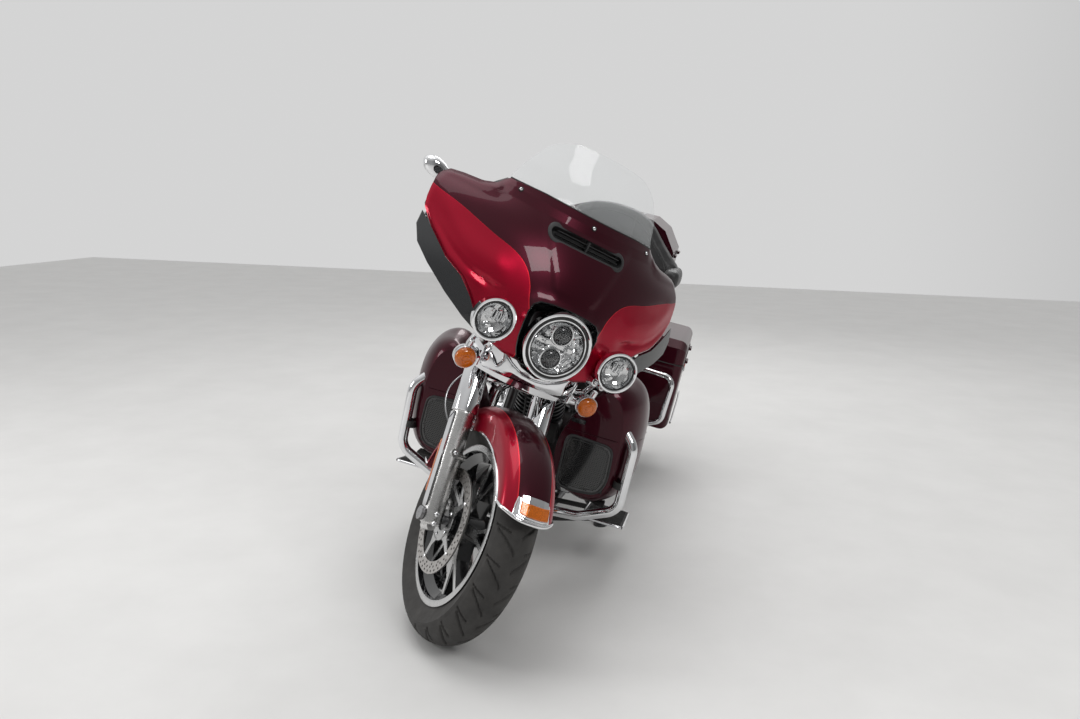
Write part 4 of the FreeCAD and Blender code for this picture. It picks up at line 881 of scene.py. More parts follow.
    def close_ends(self, rows: int, turned: bool) -> "Shape":
        """Adds the end faces of a closed sheet whose rows run out and back.

        Args:
            rows: How many rows the sheet has.
            turned: Whether the end faces look the other way.

        Returns:
            The shape itself.
        """
        wide = len(self.points) // rows
        for base, last in ((0, False), ((rows - 1) * wide, True)):
            for k in range(wide // 2 - 1):
                quad = (base + k, base + k + 1, base + wide - 2 - k, base + wide - 1 - k)
                self.faces.append(quad if last != turned else tuple(reversed(quad)))
        return self

    @classmethod
    def loft(cls, rings: Sequence[Sequence[Point]]) -> "Shape":
        """Closed body through rings of points, capped at both ends."""
        made = cls.sheet(rings, closed=True)
        count = len(rings[0])
        made.faces.append(tuple(reversed(range(count))))
        made.faces.append(tuple(range(len(made.points) - count, len(made.points))))
        return made.outward()

    def outward(self) -> "Shape":
        """Turns a closed body's faces outwards."""
        middle = sum(self.points, Vector()) / len(self.points)
        volume = 0.0
        for face in self.faces:
            first = self.points[face[0]] - middle
            for a, b in zip(face[1:], face[2:]):
                volume += first.dot((self.points[a] - middle).cross(self.points[b] - middle))
        if volume < 0:
            self.faces = [tuple(reversed(face)) for face in self.faces]
        return self


def rounded_path(corners: Sequence[Point], bend: float, steps: int = 8) -> list[Vector]:
    """Path through corners with each one rounded by an arc-like curve."""
    spots = [Vector(corner) for corner in corners]
    made = [spots[0]]
    for before, spot, after in zip(spots, spots[1:], spots[2:]):
        first, second = before - spot, after - spot
        reach = min(bend, first.length * 0.48, second.length * 0.48)
        start, end = spot + first.normalized() * reach, spot + second.normalized() * reach
        for i in range(steps + 1):
            t = i / steps
            made.append(start * (1 - t) ** 2 + spot * 2 * t * (1 - t) + end * t ** 2)
    made.append(spots[-1])
    return made


def circle_angles(count: int) -> list[float]:
    """Angles of evenly spaced spots round a circle."""
    return [2 * math.pi * i / count for i in range(count)]


def oval(wide: float, high: float, count: int) -> list[tuple[float, float]]:
    """Corners of an ellipse by its half sizes."""
    return [(wide * math.cos(a), high * math.sin(a)) for a in circle_angles(count)]


def oblong(wide: float, high: float) -> list[tuple[float, float]]:
    """Corners of a rectangle by its half sizes."""
    return [(-wide, -high), (wide, -high), (wide, high), (-wide, high)]


def signed_power(value: float, power: float) -> float:
    """Power of a value's size that keeps its sign."""
    return math.copysign(abs(value) ** power, value)


def ramp(value: np.ndarray, start: float, end: float) -> np.ndarray:
    """Share that goes from 0 at the start to 1 at the end and stays level outside."""
    return np.clip((value - start) / (end - start), 0, 1)


def eased(share: np.ndarray) -> np.ndarray:
    """Share with a soft start and a soft end."""
    return share * share * (3 - 2 * share)


# Arguments of Coated: name, darker and lighter colour, roughness, grain, relief, metallic and clear coat.
COATS = {
    "machined": ("machined_alloy", (0.50, 0.50, 0.50), (0.62, 0.62, 0.62), (0.18, 0.30), 900.0, 0.00003,
                 1.0),
    "steel": ("zinc_steel", (0.30, 0.30, 0.31), (0.46, 0.46, 0.47), (0.24, 0.38), 300.0, 0.0001, 1.0),
    "black_coat": ("black_powder_coat", (0.010, 0.010, 0.011), (0.022, 0.022, 0.024), (0.30, 0.42), 700.0,
                   0.00012, 0.0, 0.35),
    "gloss_black": ("black_gloss", (0.006, 0.006, 0.007), (0.012, 0.012, 0.013), (0.08, 0.14), 250.0,
                    0.00004, 0.0, 0.8),
    "black_plastic": ("black_moulding", (0.014, 0.014, 0.015), (0.030, 0.030, 0.031), (0.50, 0.66), 900.0,
                      0.00025),
    "rubber": ("ribbed_rubber", (0.012, 0.012, 0.012), (0.028, 0.027, 0.026), (0.62, 0.80), 500.0, 0.0003),
    "tyre": ("tyre_rubber", (0.020, 0.019, 0.018), (0.050, 0.047, 0.044), (0.66, 0.86), 260.0, 0.0005),
    "reflector": ("lamp_reflector", (0.78, 0.785, 0.79), (0.88, 0.885, 0.89), (0.03, 0.07), 60.0, 0.0001,
                  1.0),
    "projector": ("projector_glass", (0.010, 0.010, 0.011), (0.016, 0.016, 0.017), (0.03, 0.05), 20.0, 0.0,
                  0.0, 1.0),
    "mirror_glass": ("mirror_glass", (0.80, 0.81, 0.82), (0.84, 0.85, 0.86), (0.01, 0.02), 5.0, 0.0, 1.0),
    "dial_white": ("dial_white", (0.70, 0.70, 0.69), (0.76, 0.76, 0.75), (0.4, 0.5), 100.0, 0.0),
    "dial_black": ("dial_face", (0.006, 0.006, 0.007), (0.010, 0.010, 0.011), (0.3, 0.4), 100.0, 0.0),
    "needle": ("needle_orange", (0.75, 0.10, 0.01), (0.80, 0.13, 0.02), (0.3, 0.4), 100.0, 0.0),
}
# Arguments of Lens: name, colour, see-through share, flute scale and a faint painted glow, which the
# reflectors share.
LENSES = {
    "amber": ("amber_lens", (0.85, 0.20, 0.005), 0.35, 260.0, 0.05),
    "red_lens": ("red_lens", (0.62, 0.004, 0.006), 0.35, 260.0, 0.05),
    "smoke": ("smoked_plastic", (0.045, 0.047, 0.050), 0.25, 1.0),
}


class Workshop:
    """Makes placed pieces, keeps the finishes and dresses CAD nodes."""

    def __init__(self, frame: dict) -> None:
        """Reads the frame and prepares every finish."""
        self.frame = frame
        self.placer = Placer(frame["joints"])
        place = self.placer
        self.finishes: dict[str, Finish] = {
            "paint_fairing": Candy("candy_fairing", place, Rig.FORK, "fairing"),
            "paint_fender": Candy("candy_fender", place, Rig.FORK, "fender"),
            "paint_dark": Candy("candy_dark", place, Rig.CHASSIS, "dark"),
            "paint_red": Candy("candy_red", place, Rig.CHASSIS, "none"),
            "chrome": Chrome(),
            "smoked_chrome": DarkChrome(),
            "satin": SatinAlloy(),
            "rotor": RotorSteel(place),
            "leather": Leather(),
            "screen": ClearScreen(),
            "lamp_glass": LampCover(),
        }
        self.finishes.update({key: Coated(*numbers) for key, numbers in COATS.items()})
        self.finishes.update({key: Lens(*numbers) for key, numbers in LENSES.items()})

    def finish(self, key: str) -> bpy.types.Material:
        """Material of a finish by its key."""
        return self.finishes[key].material()

    def piece(self, name: str, shape: Shape, rig: Rig, finish: str, body: str | None = None,
              sharp: float = 34.0, slot: str | None = None) -> bpy.types.Object:
        """Turns a shape into a placed, dressed and riding piece.

        Args:
            name: Piece name.
            shape: Mesh in upright millimetres.
            rig: Group whose placement it takes.
            finish: Finish key.
            body: Body it rides; the rig's own if none.
            sharp: Angle above which an edge stays sharp, in degrees.
            slot: Record slot; not used.

        Returns:
            The object.
        """
        mesh = bpy.data.meshes.new(name)
        matrix = self.placer.matrices[rig]
        mesh.from_pydata([matrix @ point for point in shape.points], [], shape.faces)
        mesh.validate()
        mesh.materials.append(self.finish(finish))
        mesh.shade_smooth()
        mesh.set_sharp_from_angle(angle=math.radians(sharp))
        made = bpy.data.objects.new(name, mesh)
        bpy.context.scene.collection.objects.link(made)
        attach(made, body or rig.value)
        LOG.info("%s: %d faces", name, len(mesh.polygons))
        return made

    def dress(self, node: str, finish: str) -> None:
        """Gives a CAD node its finish."""
        mesh = self.frame["nodes"][node].data
        mesh.materials.clear()
        mesh.materials.append(self.finish(finish))


class Spline:
    """Natural cubic curve through points, for surfaces that follow the fairing's sections."""

    def __init__(self, spots: Sequence[tuple[float, float]]) -> None:
        """Solves the second derivatives."""
        self.x = np.array([a for a, _ in spots])
        self.y = np.array([b for _, b in spots])
        total = len(spots)
        step = np.diff(self.x)
        grid = np.eye(total)
        right = np.zeros(total)
        for i in range(1, total - 1):
            grid[i, i - 1], grid[i, i], grid[i, i + 1] = step[i - 1], 2 * (step[i - 1] + step[i]), step[i]
            right[i] = 6 * ((self.y[i + 1] - self.y[i]) / step[i] - (self.y[i] - self.y[i - 1])
                            / step[i - 1])
        self.second = np.linalg.solve(grid, right)

    def at(self, x: float) -> float:
        """Value at x, clamped to the curve's ends."""
        x = min(max(x, self.x[0]), self.x[-1])
        i = min(int(np.searchsorted(self.x, x, side="right")) - 1, len(self.x) - 2)
        step = self.x[i + 1] - self.x[i]
        a, b = (self.x[i + 1] - x) / step, (x - self.x[i]) / step
        bend = ((a ** 3 - a) * self.second[i] + (b ** 3 - b) * self.second[i + 1]) * step ** 2 / 6
        return float(a * self.y[i] + b * self.y[i + 1] + bend)


class Bow:
    """Bowed face: y from x and z, with the centre and wing lines given by height."""

    def __init__(self, rows: Sequence[tuple[float, float, float]], reference: float = 445.0) -> None:
        """Keeps the two lines."""
        self.centre = Spline([(z, c) for z, c, _ in rows])
        self.tip = Spline([(z, t) for z, _, t in rows])
        self.reference = reference

    def at(self, x: float, z: float, off: float = 0.0) -> Vector:
        """Point of the face, moved by off along y."""
        centre = self.centre.at(z)
        return Vector((x, centre + (self.tip.at(z) - centre) * (x / self.reference) ** 2 + off, z))


FAIRING = Bow(((760.0, -722.0, -560.0), (850.0, -731.0, -556.0), (960.0, -716.0, -540.0),
               (1063.0, -681.0, -482.0), (1150.0, -629.0, -422.0), (1211.0, -588.0, -312.0),
               (1270.0, -548.0, -250.0)))
SCREEN = Bow(((1150.0, -629.0, -422.0), (1211.0, -588.0, -312.0), (1240.0, -568.0, -280.0),
              (1300.0, -545.0, -258.0), (1360.0, -520.0, -236.0), (1430.0, -490.0, -210.0)))


class Grower:
    """Geometry Nodes trees of this script, each applied at once to a plain mesh."""

    def __init__(self, shop: Workshop) -> None:
        """Keeps the workshop and builds both trees."""
        self.shop = shop
        self.repeat_tree, self.repeat_keys = self._repeat()
        self.plate_tree, self.plate_keys = self._plate()
        self.coil_tree, self.coil_keys = self._coil()

    @staticmethod
    def _start(name: str, inputs: Sequence[tuple[str, str]]) -> Started:
        """New tree with its sockets.

        Args:
            name: Tree name.
            inputs: Pairs of socket name and type.

        Returns:
            Tree, input node, output node and the sockets' identifiers by name.
        """
        tree = bpy.data.node_groups.new(name, "GeometryNodeTree")
        tree.interface.new_socket("Geometry", in_out="INPUT", socket_type="NodeSocketGeometry")
        keys = {}
        for label, kind in inputs:
            keys[label] = tree.interface.new_socket(label, in_out="INPUT", socket_type=kind).identifier
        tree.interface.new_socket("Geometry", in_out="OUTPUT", socket_type="NodeSocketGeometry")
        return tree, tree.nodes.new("NodeGroupInput"), tree.nodes.new("NodeGroupOutput"), keys

    @staticmethod
    def _end(tree: bpy.types.NodeTree, shape: bpy.types.NodeSocket, source: bpy.types.Node,
             out: bpy.types.Node) -> None:
        """Realizes instances, sets the material and closes the tree."""
        real = tree.nodes.new("GeometryNodeRealizeInstances")
        paint = tree.nodes.new("GeometryNodeSetMaterial")
        tree.links.new(shape, real.inputs[0])
        tree.links.new(real.outputs[0], paint.inputs["Geometry"])
        tree.links.new(source.outputs["Material"], paint.inputs["Material"])
        tree.links.new(paint.outputs[0], out.inputs[0])

    def _repeat(self) -> tuple[bpy.types.NodeTree, dict[str, str]]:
        """Tree that sets a template on each point, its z along the point's own direction."""
        tree, source, out, keys = self._start("repeat_on_points", (
            ("Template", "NodeSocketObject"), ("Size", "NodeSocketFloat"),
            ("Material", "NodeSocketMaterial")))
        points = tree.nodes.new("GeometryNodeMeshToPoints")
        stock = tree.nodes.new("GeometryNodeObjectInfo")
        aim = tree.nodes.new("GeometryNodeInputNamedAttribute")
        aim.data_type = "FLOAT_VECTOR"
        aim.inputs["Name"].default_value = "aim"
        across = tree.nodes.new("GeometryNodeInputNamedAttribute")
        across.data_type = "FLOAT_VECTOR"
        across.inputs["Name"].default_value = "across"
        turn = tree.nodes.new("FunctionNodeAlignRotationToVector")
        turn.axis = "Z"
        roll = tree.nodes.new("FunctionNodeAlignRotationToVector")
        roll.axis = "X"
        roll.pivot_axis = "Z"
        place = tree.nodes.new("GeometryNodeInstanceOnPoints")
        links = tree.links
        links.new(source.outputs["Geometry"], points.inputs["Mesh"])
        links.new(source.outputs["Template"], stock.inputs["Object"])
        links.new(aim.outputs[0], turn.inputs["Vector"])
        links.new(turn.outputs[0], roll.inputs["Rotation"])
        links.new(across.outputs[0], roll.inputs["Vector"])
        links.new(points.outputs[0], place.inputs["Points"])
        links.new(stock.outputs["Geometry"], place.inputs["Instance"])
        links.new(roll.outputs[0], place.inputs["Rotation"])
        links.new(source.outputs["Size"], place.inputs["Scale"])
        self._end(tree, place.outputs[0], source, out)
        return tree, keys

    def _plate(self) -> tuple[bpy.types.NodeTree, dict[str, str]]:
        """Tree that fills closed curves with holes at the points and gives the plate its thickness."""
        tree, source, out, keys = self._start("perforated_plate", (
            ("Rim", "NodeSocketObject"), ("Hole", "NodeSocketFloat"), ("Thickness", "NodeSocketFloat"),
            ("Material", "NodeSocketMaterial")))
        rim = tree.nodes.new("GeometryNodeObjectInfo")
        points = tree.nodes.new("GeometryNodeMeshToPoints")
        circle = tree.nodes.new("GeometryNodeCurvePrimitiveCircle")
        circle.inputs["Resolution"].default_value = 12
        place = tree.nodes.new("GeometryNodeInstanceOnPoints")
        join = tree.nodes.new("GeometryNodeJoinGeometry")
        real = tree.nodes.new("GeometryNodeRealizeInstances")
        fill = tree.nodes.new("GeometryNodeFillCurve")
        push = tree.nodes.new("GeometryNodeExtrudeMesh")
        push.inputs["Individual"].default_value = False
        flip = tree.nodes.new("GeometryNodeFlipFaces")
        both = tree.nodes.new("GeometryNodeJoinGeometry")
        weld = tree.nodes.new("GeometryNodeMergeByDistance")
        weld.inputs["Distance"].default_value = 0.00002
        links = tree.links
        links.new(source.outputs["Rim"], rim.inputs["Object"])
        links.new(source.outputs["Geometry"], points.inputs["Mesh"])
        links.new(source.outputs["Hole"], circle.inputs["Radius"])
        links.new(points.outputs[0], place.inputs["Points"])
        links.new(circle.outputs[0], place.inputs["Instance"])
        links.new(rim.outputs["Geometry"], join.inputs[0])
        links.new(place.outputs[0], join.inputs[0])
        links.new(join.outputs[0], real.inputs[0])
        links.new(real.outputs[0], fill.inputs["Curve"])
        links.new(fill.outputs[0], push.inputs["Mesh"])
        links.new(source.outputs["Thickness"], push.inputs["Offset Scale"])
        links.new(fill.outputs[0], flip.inputs["Mesh"])
        links.new(push.outputs["Mesh"], both.inputs[0])
        links.new(flip.outputs[0], both.inputs[0])
        links.new(both.outputs[0], weld.inputs["Geometry"])
        self._end(tree, weld.outputs[0], source, out)
        return tree, keys

    def _coil(self) -> tuple[bpy.types.NodeTree, dict[str, str]]:
        """Tree that winds a coil spring along z."""
        tree, source, out, keys = self._start("coil_spring", (
            ("Turns", "NodeSocketFloat"), ("Radius", "NodeSocketFloat"), ("Length", "NodeSocketFloat"),
            ("Wire", "NodeSocketFloat"), ("Material", "NodeSocketMaterial")))
        spiral = tree.nodes.new("GeometryNodeCurveSpiral")
        spiral.inputs["Resolution"].default_value = 20
        wire = tree.nodes.new("GeometryNodeCurvePrimitiveCircle")
        wire.inputs["Resolution"].default_value = 8
        sweep = tree.nodes.new("GeometryNodeCurveToMesh")
        sweep.inputs["Fill Caps"].default_value = True
        links = tree.links
        links.new(source.outputs["Turns"], spiral.inputs["Rotations"])
        links.new(source.outputs["Radius"], spiral.inputs["Start Radius"])
        links.new(source.outputs["Radius"], spiral.inputs["End Radius"])
        links.new(source.outputs["Length"], spiral.inputs["Height"])
        links.new(source.outputs["Wire"], wire.inputs["Radius"])
        links.new(spiral.outputs[0], sweep.inputs["Curve"])
        links.new(wire.outputs[0], sweep.inputs["Profile Curve"])
        self._end(tree, sweep.outputs[0], source, out)
        return tree, keys

    def _apply(self, name: str, base: bpy.types.Mesh, tree: bpy.types.NodeTree, keys: dict[str, str],
               values: dict[str, object], rig: Rig, body: str | None, change: Matrix | None = None,
               sharp: float = 34.0) -> bpy.types.Object:
        """Runs a tree on a mesh and keeps its result as a riding piece.

        Args:
            name: Piece name.
            base: Mesh that feeds the tree.
            tree: The node group.
            keys: Socket identifiers by name.
            values: Input values by name.
            rig: Group it belongs to.
            body: Body it rides; the rig's own if none.
            change: Placement applied to the result.
            sharp: Sharp-edge angle in degrees.

        Returns:
            The piece.
        """
        holder = bpy.data.objects.new(name + "_seed", base)
        bpy.context.scene.collection.objects.link(holder)
        grow = holder.modifiers.new("grow", "NODES")
        grow.node_group = tree
        for label, value in values.items():
            grow[keys[label]] = value
        holder.update_tag()
        bpy.context.view_layer.update()
        graph = bpy.context.evaluated_depsgraph_get()
        mesh = bpy.data.meshes.new_from_object(holder.evaluated_get(graph), depsgraph=graph)
        mesh.name = name
        if change is not None:
            mesh.transform(change)
            if change.determinant() < 0:
                mesh.flip_normals()
        mesh.shade_smooth()
        mesh.set_sharp_from_angle(angle=math.radians(sharp))
        bpy.data.objects.remove(holder)
        made = bpy.data.objects.new(name, mesh)
        bpy.context.scene.collection.objects.link(made)
        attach(made, body or rig.value)
        LOG.info("%s: %d faces", name, len(mesh.polygons))
        return made

    def repeat(self, name: str, template: Shape, spots: Sequence[tuple[Point, Point]], rig: Rig,
               finish: str, body: str | None = None, across: Point = UP, size: float = 1.0,
               sharp: float = 34.0) -> bpy.types.Object:
        """Sets a template on many spots of the upright bike.

        Args:
            name: Piece name.
            template: Shape around its own origin, z outward, in millimetres.
            spots: Pairs of place and outward direction.
            rig: Group it belongs to.
            finish: Finish key.
            body: Body it rides.
            across: Direction that the template's x leans towards.
            size: Scale of the template.
            sharp: Sharp-edge angle in degrees.

        Returns:
            The piece.
        """
        place = self.shop.placer
        stock = bpy.data.meshes.new(name + "_stock")
        stock.from_pydata([point * MM for point in template.points], [], template.faces)
        stock_object = bpy.data.objects.new(name + "_stock", stock)
        bpy.context.scene.collection.objects.link(stock_object)
        base = bpy.data.meshes.new(name + "_spots")
        base.from_pydata([place.point(rig, spot) for spot, _ in spots], [], [])
        for label, ways in (("aim", [way for _, way in spots]), ("across", [across] * len(spots))):
            layer = base.attributes.new(label, "FLOAT_VECTOR", "POINT")
            for item, way in zip(layer.data, ways):
                item.vector = place.direction(rig, way)
        made = self._apply(name, base, self.repeat_tree, self.repeat_keys,
                           {"Template": stock_object, "Size": size, "Material": self.shop.finish(finish)},
                           rig, body, None, sharp)
        bpy.data.objects.remove(stock_object)
        return made

    def plate(self, name: str, rims: Sequence[Sequence[tuple[float, float]]],
              holes: Sequence[tuple[float, float]], hole: float, thick: float, origin: Point, u: Point,
              v: Point, rig: Rig, finish: str, body: str | None = None) -> bpy.types.Object:
        """Flat plate with round holes.

        Args:
            name: Piece name.
            rims: Closed outlines; those inside another are openings.
            holes: Hole centres in the plate's own plane.
            hole: Hole radius.
            thick: Thickness along u x v.
            origin: Zero point of the plane on the upright bike.
            u: First direction of the plane.
            v: Second direction.
            rig: Group it belongs to.
            finish: Finish key.
            body: Body it rides.

        Returns:
            The piece.
        """
        curve = bpy.data.curves.new(name + "_rim", "CURVE")
        curve.dimensions = "3D"
        for outline in rims:
            line = curve.splines.new("POLY")
            line.points.add(len(outline) - 1)
            for point, (a, b) in zip(line.points, outline):
                point.co = (a * MM, b * MM, 0, 1)
            line.use_cyclic_u = True
        rim_object = bpy.data.objects.new(name + "_rim", curve)
        bpy.context.scene.collection.objects.link(rim_object)
        base = bpy.data.meshes.new(name + "_holes")
        base.from_pydata([(a * MM, b * MM, 0) for a, b in holes], [], [])
        matrix = self.shop.placer.matrices[rig]
        du, dv = Vector(u).normalized(), Vector(v).normalized()
        axes = Matrix((du, dv, du.cross(dv))).transposed().to_4x4()
        axes.translation = Vector(origin)
        change = matrix @ axes @ Matrix.Scale(1.0 / MM, 4)
        made = self._apply(name, base, self.plate_tree, self.plate_keys,
                           {"Rim": rim_object, "Hole": hole * MM, "Thickness": thick * MM,
                            "Material": self.shop.finish(finish)}, rig, body, change)
        bpy.data.objects.remove(rim_object)
        return made

    def coil(self, name: str, low: Point, high: Point, turns: float, radius: float, wire: float, rig: Rig,
             finish: str, body: str | None = None) -> bpy.types.Object:
        """Coil spring between two points.

        Args:
            name: Piece name.
            low: Lower end of its axis.
            high: Upper end.
            turns: Number of turns.
            radius: Mean radius.
            wire: Wire radius.
            rig: Group it belongs to.
            finish: Finish key.
            body: Body it rides.

        Returns:
            The piece.
        """
        way, u, v = Shape.frame_of(Vector(high) - Vector(low))
        axes = Matrix((u, v, u.cross(v))).transposed().to_4x4()
        axes.translation = Vector(low)
        length = (Vector(high) - Vector(low)).length
        if u.cross(v).dot(way) < 0:
            axes = axes @ Matrix.Scale(-1, 4, UP)
        change = self.shop.placer.matrices[rig] @ axes @ Matrix.Scale(1.0 / MM, 4)
        base = bpy.data.meshes.new(name + "_base")
        return self._apply(name, base, self.coil_tree, self.coil_keys,
                           {"Turns": turns, "Radius": radius * MM, "Length": length * MM, "Wire": wire * MM,
                            "Material": self.shop.finish(finish)}, rig, body, change, 60.0)


def bolt_head(radius: float, high: float, sides: int = 6) -> Shape:
    """Bolt head with a washer face and a softened top, z outward."""
    made = Shape.lathe([(0, 0), (0, radius * 1.3), (high * 0.18, radius * 1.3),
                        (high * 0.2, radius * 1.22)], ORIGIN, UP, 20)
    made.join(Shape.lathe([(high * 0.15, 0), (high * 0.15, radius), (high * 0.82, radius),
                           (high, radius * 0.8), (high, 0)], ORIGIN, UP, sides))
    return made


def dome_head(radius: float, high: float) -> Shape:
    """Round screw head with a recess, z outward."""
    return Shape.lathe([(0, 0), (0, radius), (high * 0.45, radius * 0.93), (high * 0.85, radius * 0.66),
                        (high, radius * 0.4), (high * 0.55, radius * 0.34), (high * 0.55, 0)], ORIGIN, UP,
                       20)


@dataclass
class Wheel:
    """Tyre with tread and machined wheel edges, and the front wheel's discs, hub caps and valve."""

    centre: tuple[float, float, float] = LAYOUT.front_axle
    body: str = "front_wheel"
    tag: str = "front"
    rig: Rig = Rig.FORK
    radius: float = 320.0
    crown: float = 70.0
    half_width: float = 65.0
    rim_r: float = 218.0
    rim_half: float = 42.0
    wall: float = 13.0
    grooves: int = 22
    tread: float = 5.0
    shoulder_line: float = 0.8
    disc_r: float = 150.0
    disc_x: float = 77.0
    disc_thick: float = 5.0
    hub_r: float = 46.0

    def groove(self, share: float, across: float) -> float:
        """Depth share of the tread at one turn share and crosswise angle share.

        Args:
            share: Position round the tyre in pitches.
            across: Position over the crown from -1 to 1.

        Returns:
            Depth from 0 to 1.
        """
        side = 1.0 if across >= 0 else -1.0
        reach = abs(across)
        depth = 0.0
        local = (share + (0.5 if side > 0 else 0.0)) % 1.0
        long_line = 0.18 + 0.62 * max(0.0, (reach - 0.06) / 0.72) ** 0.8
        if 0.06 < reach < 0.80:
            depth = max(depth, 1.0 - abs(local - long_line) / 0.055)
        short_line = 0.80 + 0.30 * (reach - 0.40)
        if 0.34 < reach < 0.90:
            depth = max(depth, 1.0 - abs(local - (short_line % 1.0)) / 0.042)
        return min(max(depth * 2.2, 0.0), 1.0)

    def tyre(self, shop: Workshop) -> None:
        """Tyre skin with moulded grooves in place of the plain ring."""
        per_groove = 24
        steps = self.grooves * per_groove
        reach = math.asin(self.half_width / self.crown)
        columns = 52
        profile = []
        for i in range(columns + 1):
            share = -1.0 + 2.0 * i / columns
            a = reach * share
            profile.append((math.sin(a) * self.crown, self.radius - self.crown + math.cos(a) * self.crown,
                            share))
        bead = [(self.rim_half + 1.0, self.rim_r + 14.0), (self.rim_half - 1.0, self.rim_r + 6.0)]
        inner = [(math.sin(reach * 0.8 * s) * (self.crown - self.wall),
                  self.radius - self.crown + math.cos(reach * 0.8 * s) * (self.crown - self.wall))
                 for s in (0.9, 0.4, 0.0, -0.4, -0.9)]
        loop = profile + [(x, r, None) for x, r in bead + inner]
        loop += [(-x, r, None) for x, r in reversed(bead)]
        base = Vector(self.centre)
        rows = []
        for k in range(steps):
            a = 2 * math.pi * k / steps
            row = []
            for x, r, share in loop:
                deep = 0.0
                if share is not None:
                    deep = self.tread * self.groove(k / per_groove, share)
                    if 0.86 < abs(share) < 0.90:
                        deep = self.shoulder_line
                slope = math.atan2(x, r - (self.radius - self.crown)) if share is not None else 0.0
                px, pr = x - math.sin(slope) * deep, r - math.cos(slope) * deep
                row.append(base + Vector((px, -math.cos(a) * pr, math.sin(a) * pr)))
            rows.append(row)
        rows.append(rows[0])
        made = Shape.sheet(rows, closed=True)
        total = len(loop)
        made.points = made.points[:steps * total]
        made.faces = [tuple(index % (steps * total) for index in face) for face in made.faces]
        made.faces = [tuple(reversed(face)) for face in made.faces]
        piece = shop.piece(self.tag + "_tyre_tread", made, self.rig, "tyre", self.body, 28.0, "tyre_rubber")
        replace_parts(piece, self.tag + "_tyre")

    def edges(self, shop: Workshop) -> None:
        """Bright machined lips and spoke faces."""
        made = Shape()
        for side in (1, -1):
            x = self.rim_half + 5.0
            ring = [(x - 3.0, self.rim_r - 5.0), (x + 0.6, self.rim_r - 5.5), (x + 1.4, self.rim_r - 1.0),
                    (x + 1.4, self.rim_r + 8.0), (x + 0.4, self.rim_r + 11.4), (x - 3.0, self.rim_r + 11.4)]
            profile = [(side * a, r) for a, r in ring + ring[:1]]
            if side < 0:
                profile.reverse()
            made.join(Shape.lathe(profile, self.centre, LEFT, 96))
        hub_r = self.hub_r
        for side in (1, -1):
            for i in range(5):
                turn = Matrix.Rotation(math.radians(72.0 * i), 3, "X")
                for wing in (1, -1):
                    arm = [(3.0, hub_r + 52), (12.5, hub_r + 49), (44.0, self.rim_r - 31),
                           (31.0, self.rim_r - 29)]
                    flat = [(a * wing, b) for a, b in arm]
                    made.join(self._face(flat, side, hub_r, turn))
                stem = [(-14.0, hub_r + 2), (14.0, hub_r + 2), (12.0, hub_r + 46), (0.0, hub_r + 64),
                        (-12.0, hub_r + 46)]
                made.join(self._face(stem, side, hub_r, turn))
        shop.piece(self.tag + "_wheel_machined_edges", made, self.rig, "machined", self.body, 30.0)

    def _face(self, flat: Sequence[tuple[float, float]], side: int, hub_r: float, turn: Matrix) -> Shape:
        """Thin bright face that lies on a spoke's tapering side."""
        points = []
        for lift in (0.0, 0.9):
            for a, b in flat:
                reach = min(max((b - (hub_r - 8)) / (self.rim_r - 20 - (hub_r - 8)), 0.0), 1.0)
                x = side * (24.0 - 11.0 * reach + lift)
                points.append(Vector(self.centre) + turn @ Vector((x, a, b)))
        total = len(flat)
        faces = [tuple(range(total, 2 * total)), tuple(reversed(range(total)))]
        faces += [(k, (k + 1) % total, total + (k + 1) % total, total + k) for k in range(total)]
        made = Shape().add(points, faces)
        normal = (points[total + 1] - points[total]).cross(points[total + 2] - points[total + 1])
        if normal.x * side < 0:
            made.faces = [tuple(reversed(face)) for face in made.faces]
        return made

    def discs(self, shop: Workshop, grow: Grower) -> None:
        """Drilled rotors with carriers and their bolts, in place of the plain discs."""
        y0, z0 = self.centre[1], self.centre[2]
        corners = 120
        inner_r = self.disc_r - 34.0
        rims = [oval(r, r, corners) for r in (self.disc_r, inner_r)]
        holes = []
        for k in range(40):
            a = 2 * math.pi * k / 40
            for row, (r, off) in enumerate(((self.disc_r - 8.0, 0.0), (self.disc_r - 19.0, 0.5),
                                            (self.disc_r - 27.5, 0.15))):
                if row == 2 and k % 2:
                    continue
                b = a + off * 2 * math.pi / 40
                holes.append((r * math.cos(b), r * math.sin(b)))
        rotors = []
        for side in (1, -1):
            name = self.tag + ("_disc_left" if side > 0 else "_disc_right")
            x = self.disc_x if side > 0 else -self.disc_x - self.disc_thick
            rotors.append(grow.plate(name, rims, holes, 3.4, self.disc_thick,
                                   (x, y0, z0), BACK, UP, self.rig, "rotor", self.body))
        carrier = Shape()
        for side in (1, -1):
            inner = self.disc_x if side > 0 else -self.disc_x - self.disc_thick
            ring = [(0.8, 30.0), (4.2, 30.0), (4.2, 57.0), (0.8, 57.0), (0.8, 30.0)]
            carrier.join(Shape.lathe([(inner + a, r) for a, r in ring], self.centre, LEFT, 60))
            for i in range(5):
                turn = Matrix.Rotation(math.radians(72.0 * i + 36.0), 3, "X")
                arm = [(-20.0, 50.0), (20.0, 50.0), (8.0, 76.0), (7.0, self.disc_r - 36),
                       (13.0, self.disc_r - 28), (-13.0, self.disc_r - 28), (-7.0, self.disc_r - 36),
                       (-8.0, 76.0)]
                plate = Shape.slab(arm, ORIGIN, BACK, UP, 3.4, 0.8)
                carrier.join(plate.moved(lambda p, t=turn, at=inner: Vector(self.centre) + t @ p
                                         + Vector((at + 0.8, 0, 0))))
        shop.piece(self.tag + "_disc_carriers", carrier, self.rig, "machined", self.body)
        spots = []
        for side in (1, -1):
            x = side * (self.disc_x + self.disc_thick)
            for i in range(5):
                a = math.radians(72.0 * i + 36.0)
                for r in (self.disc_r - 31.0, 44.0):
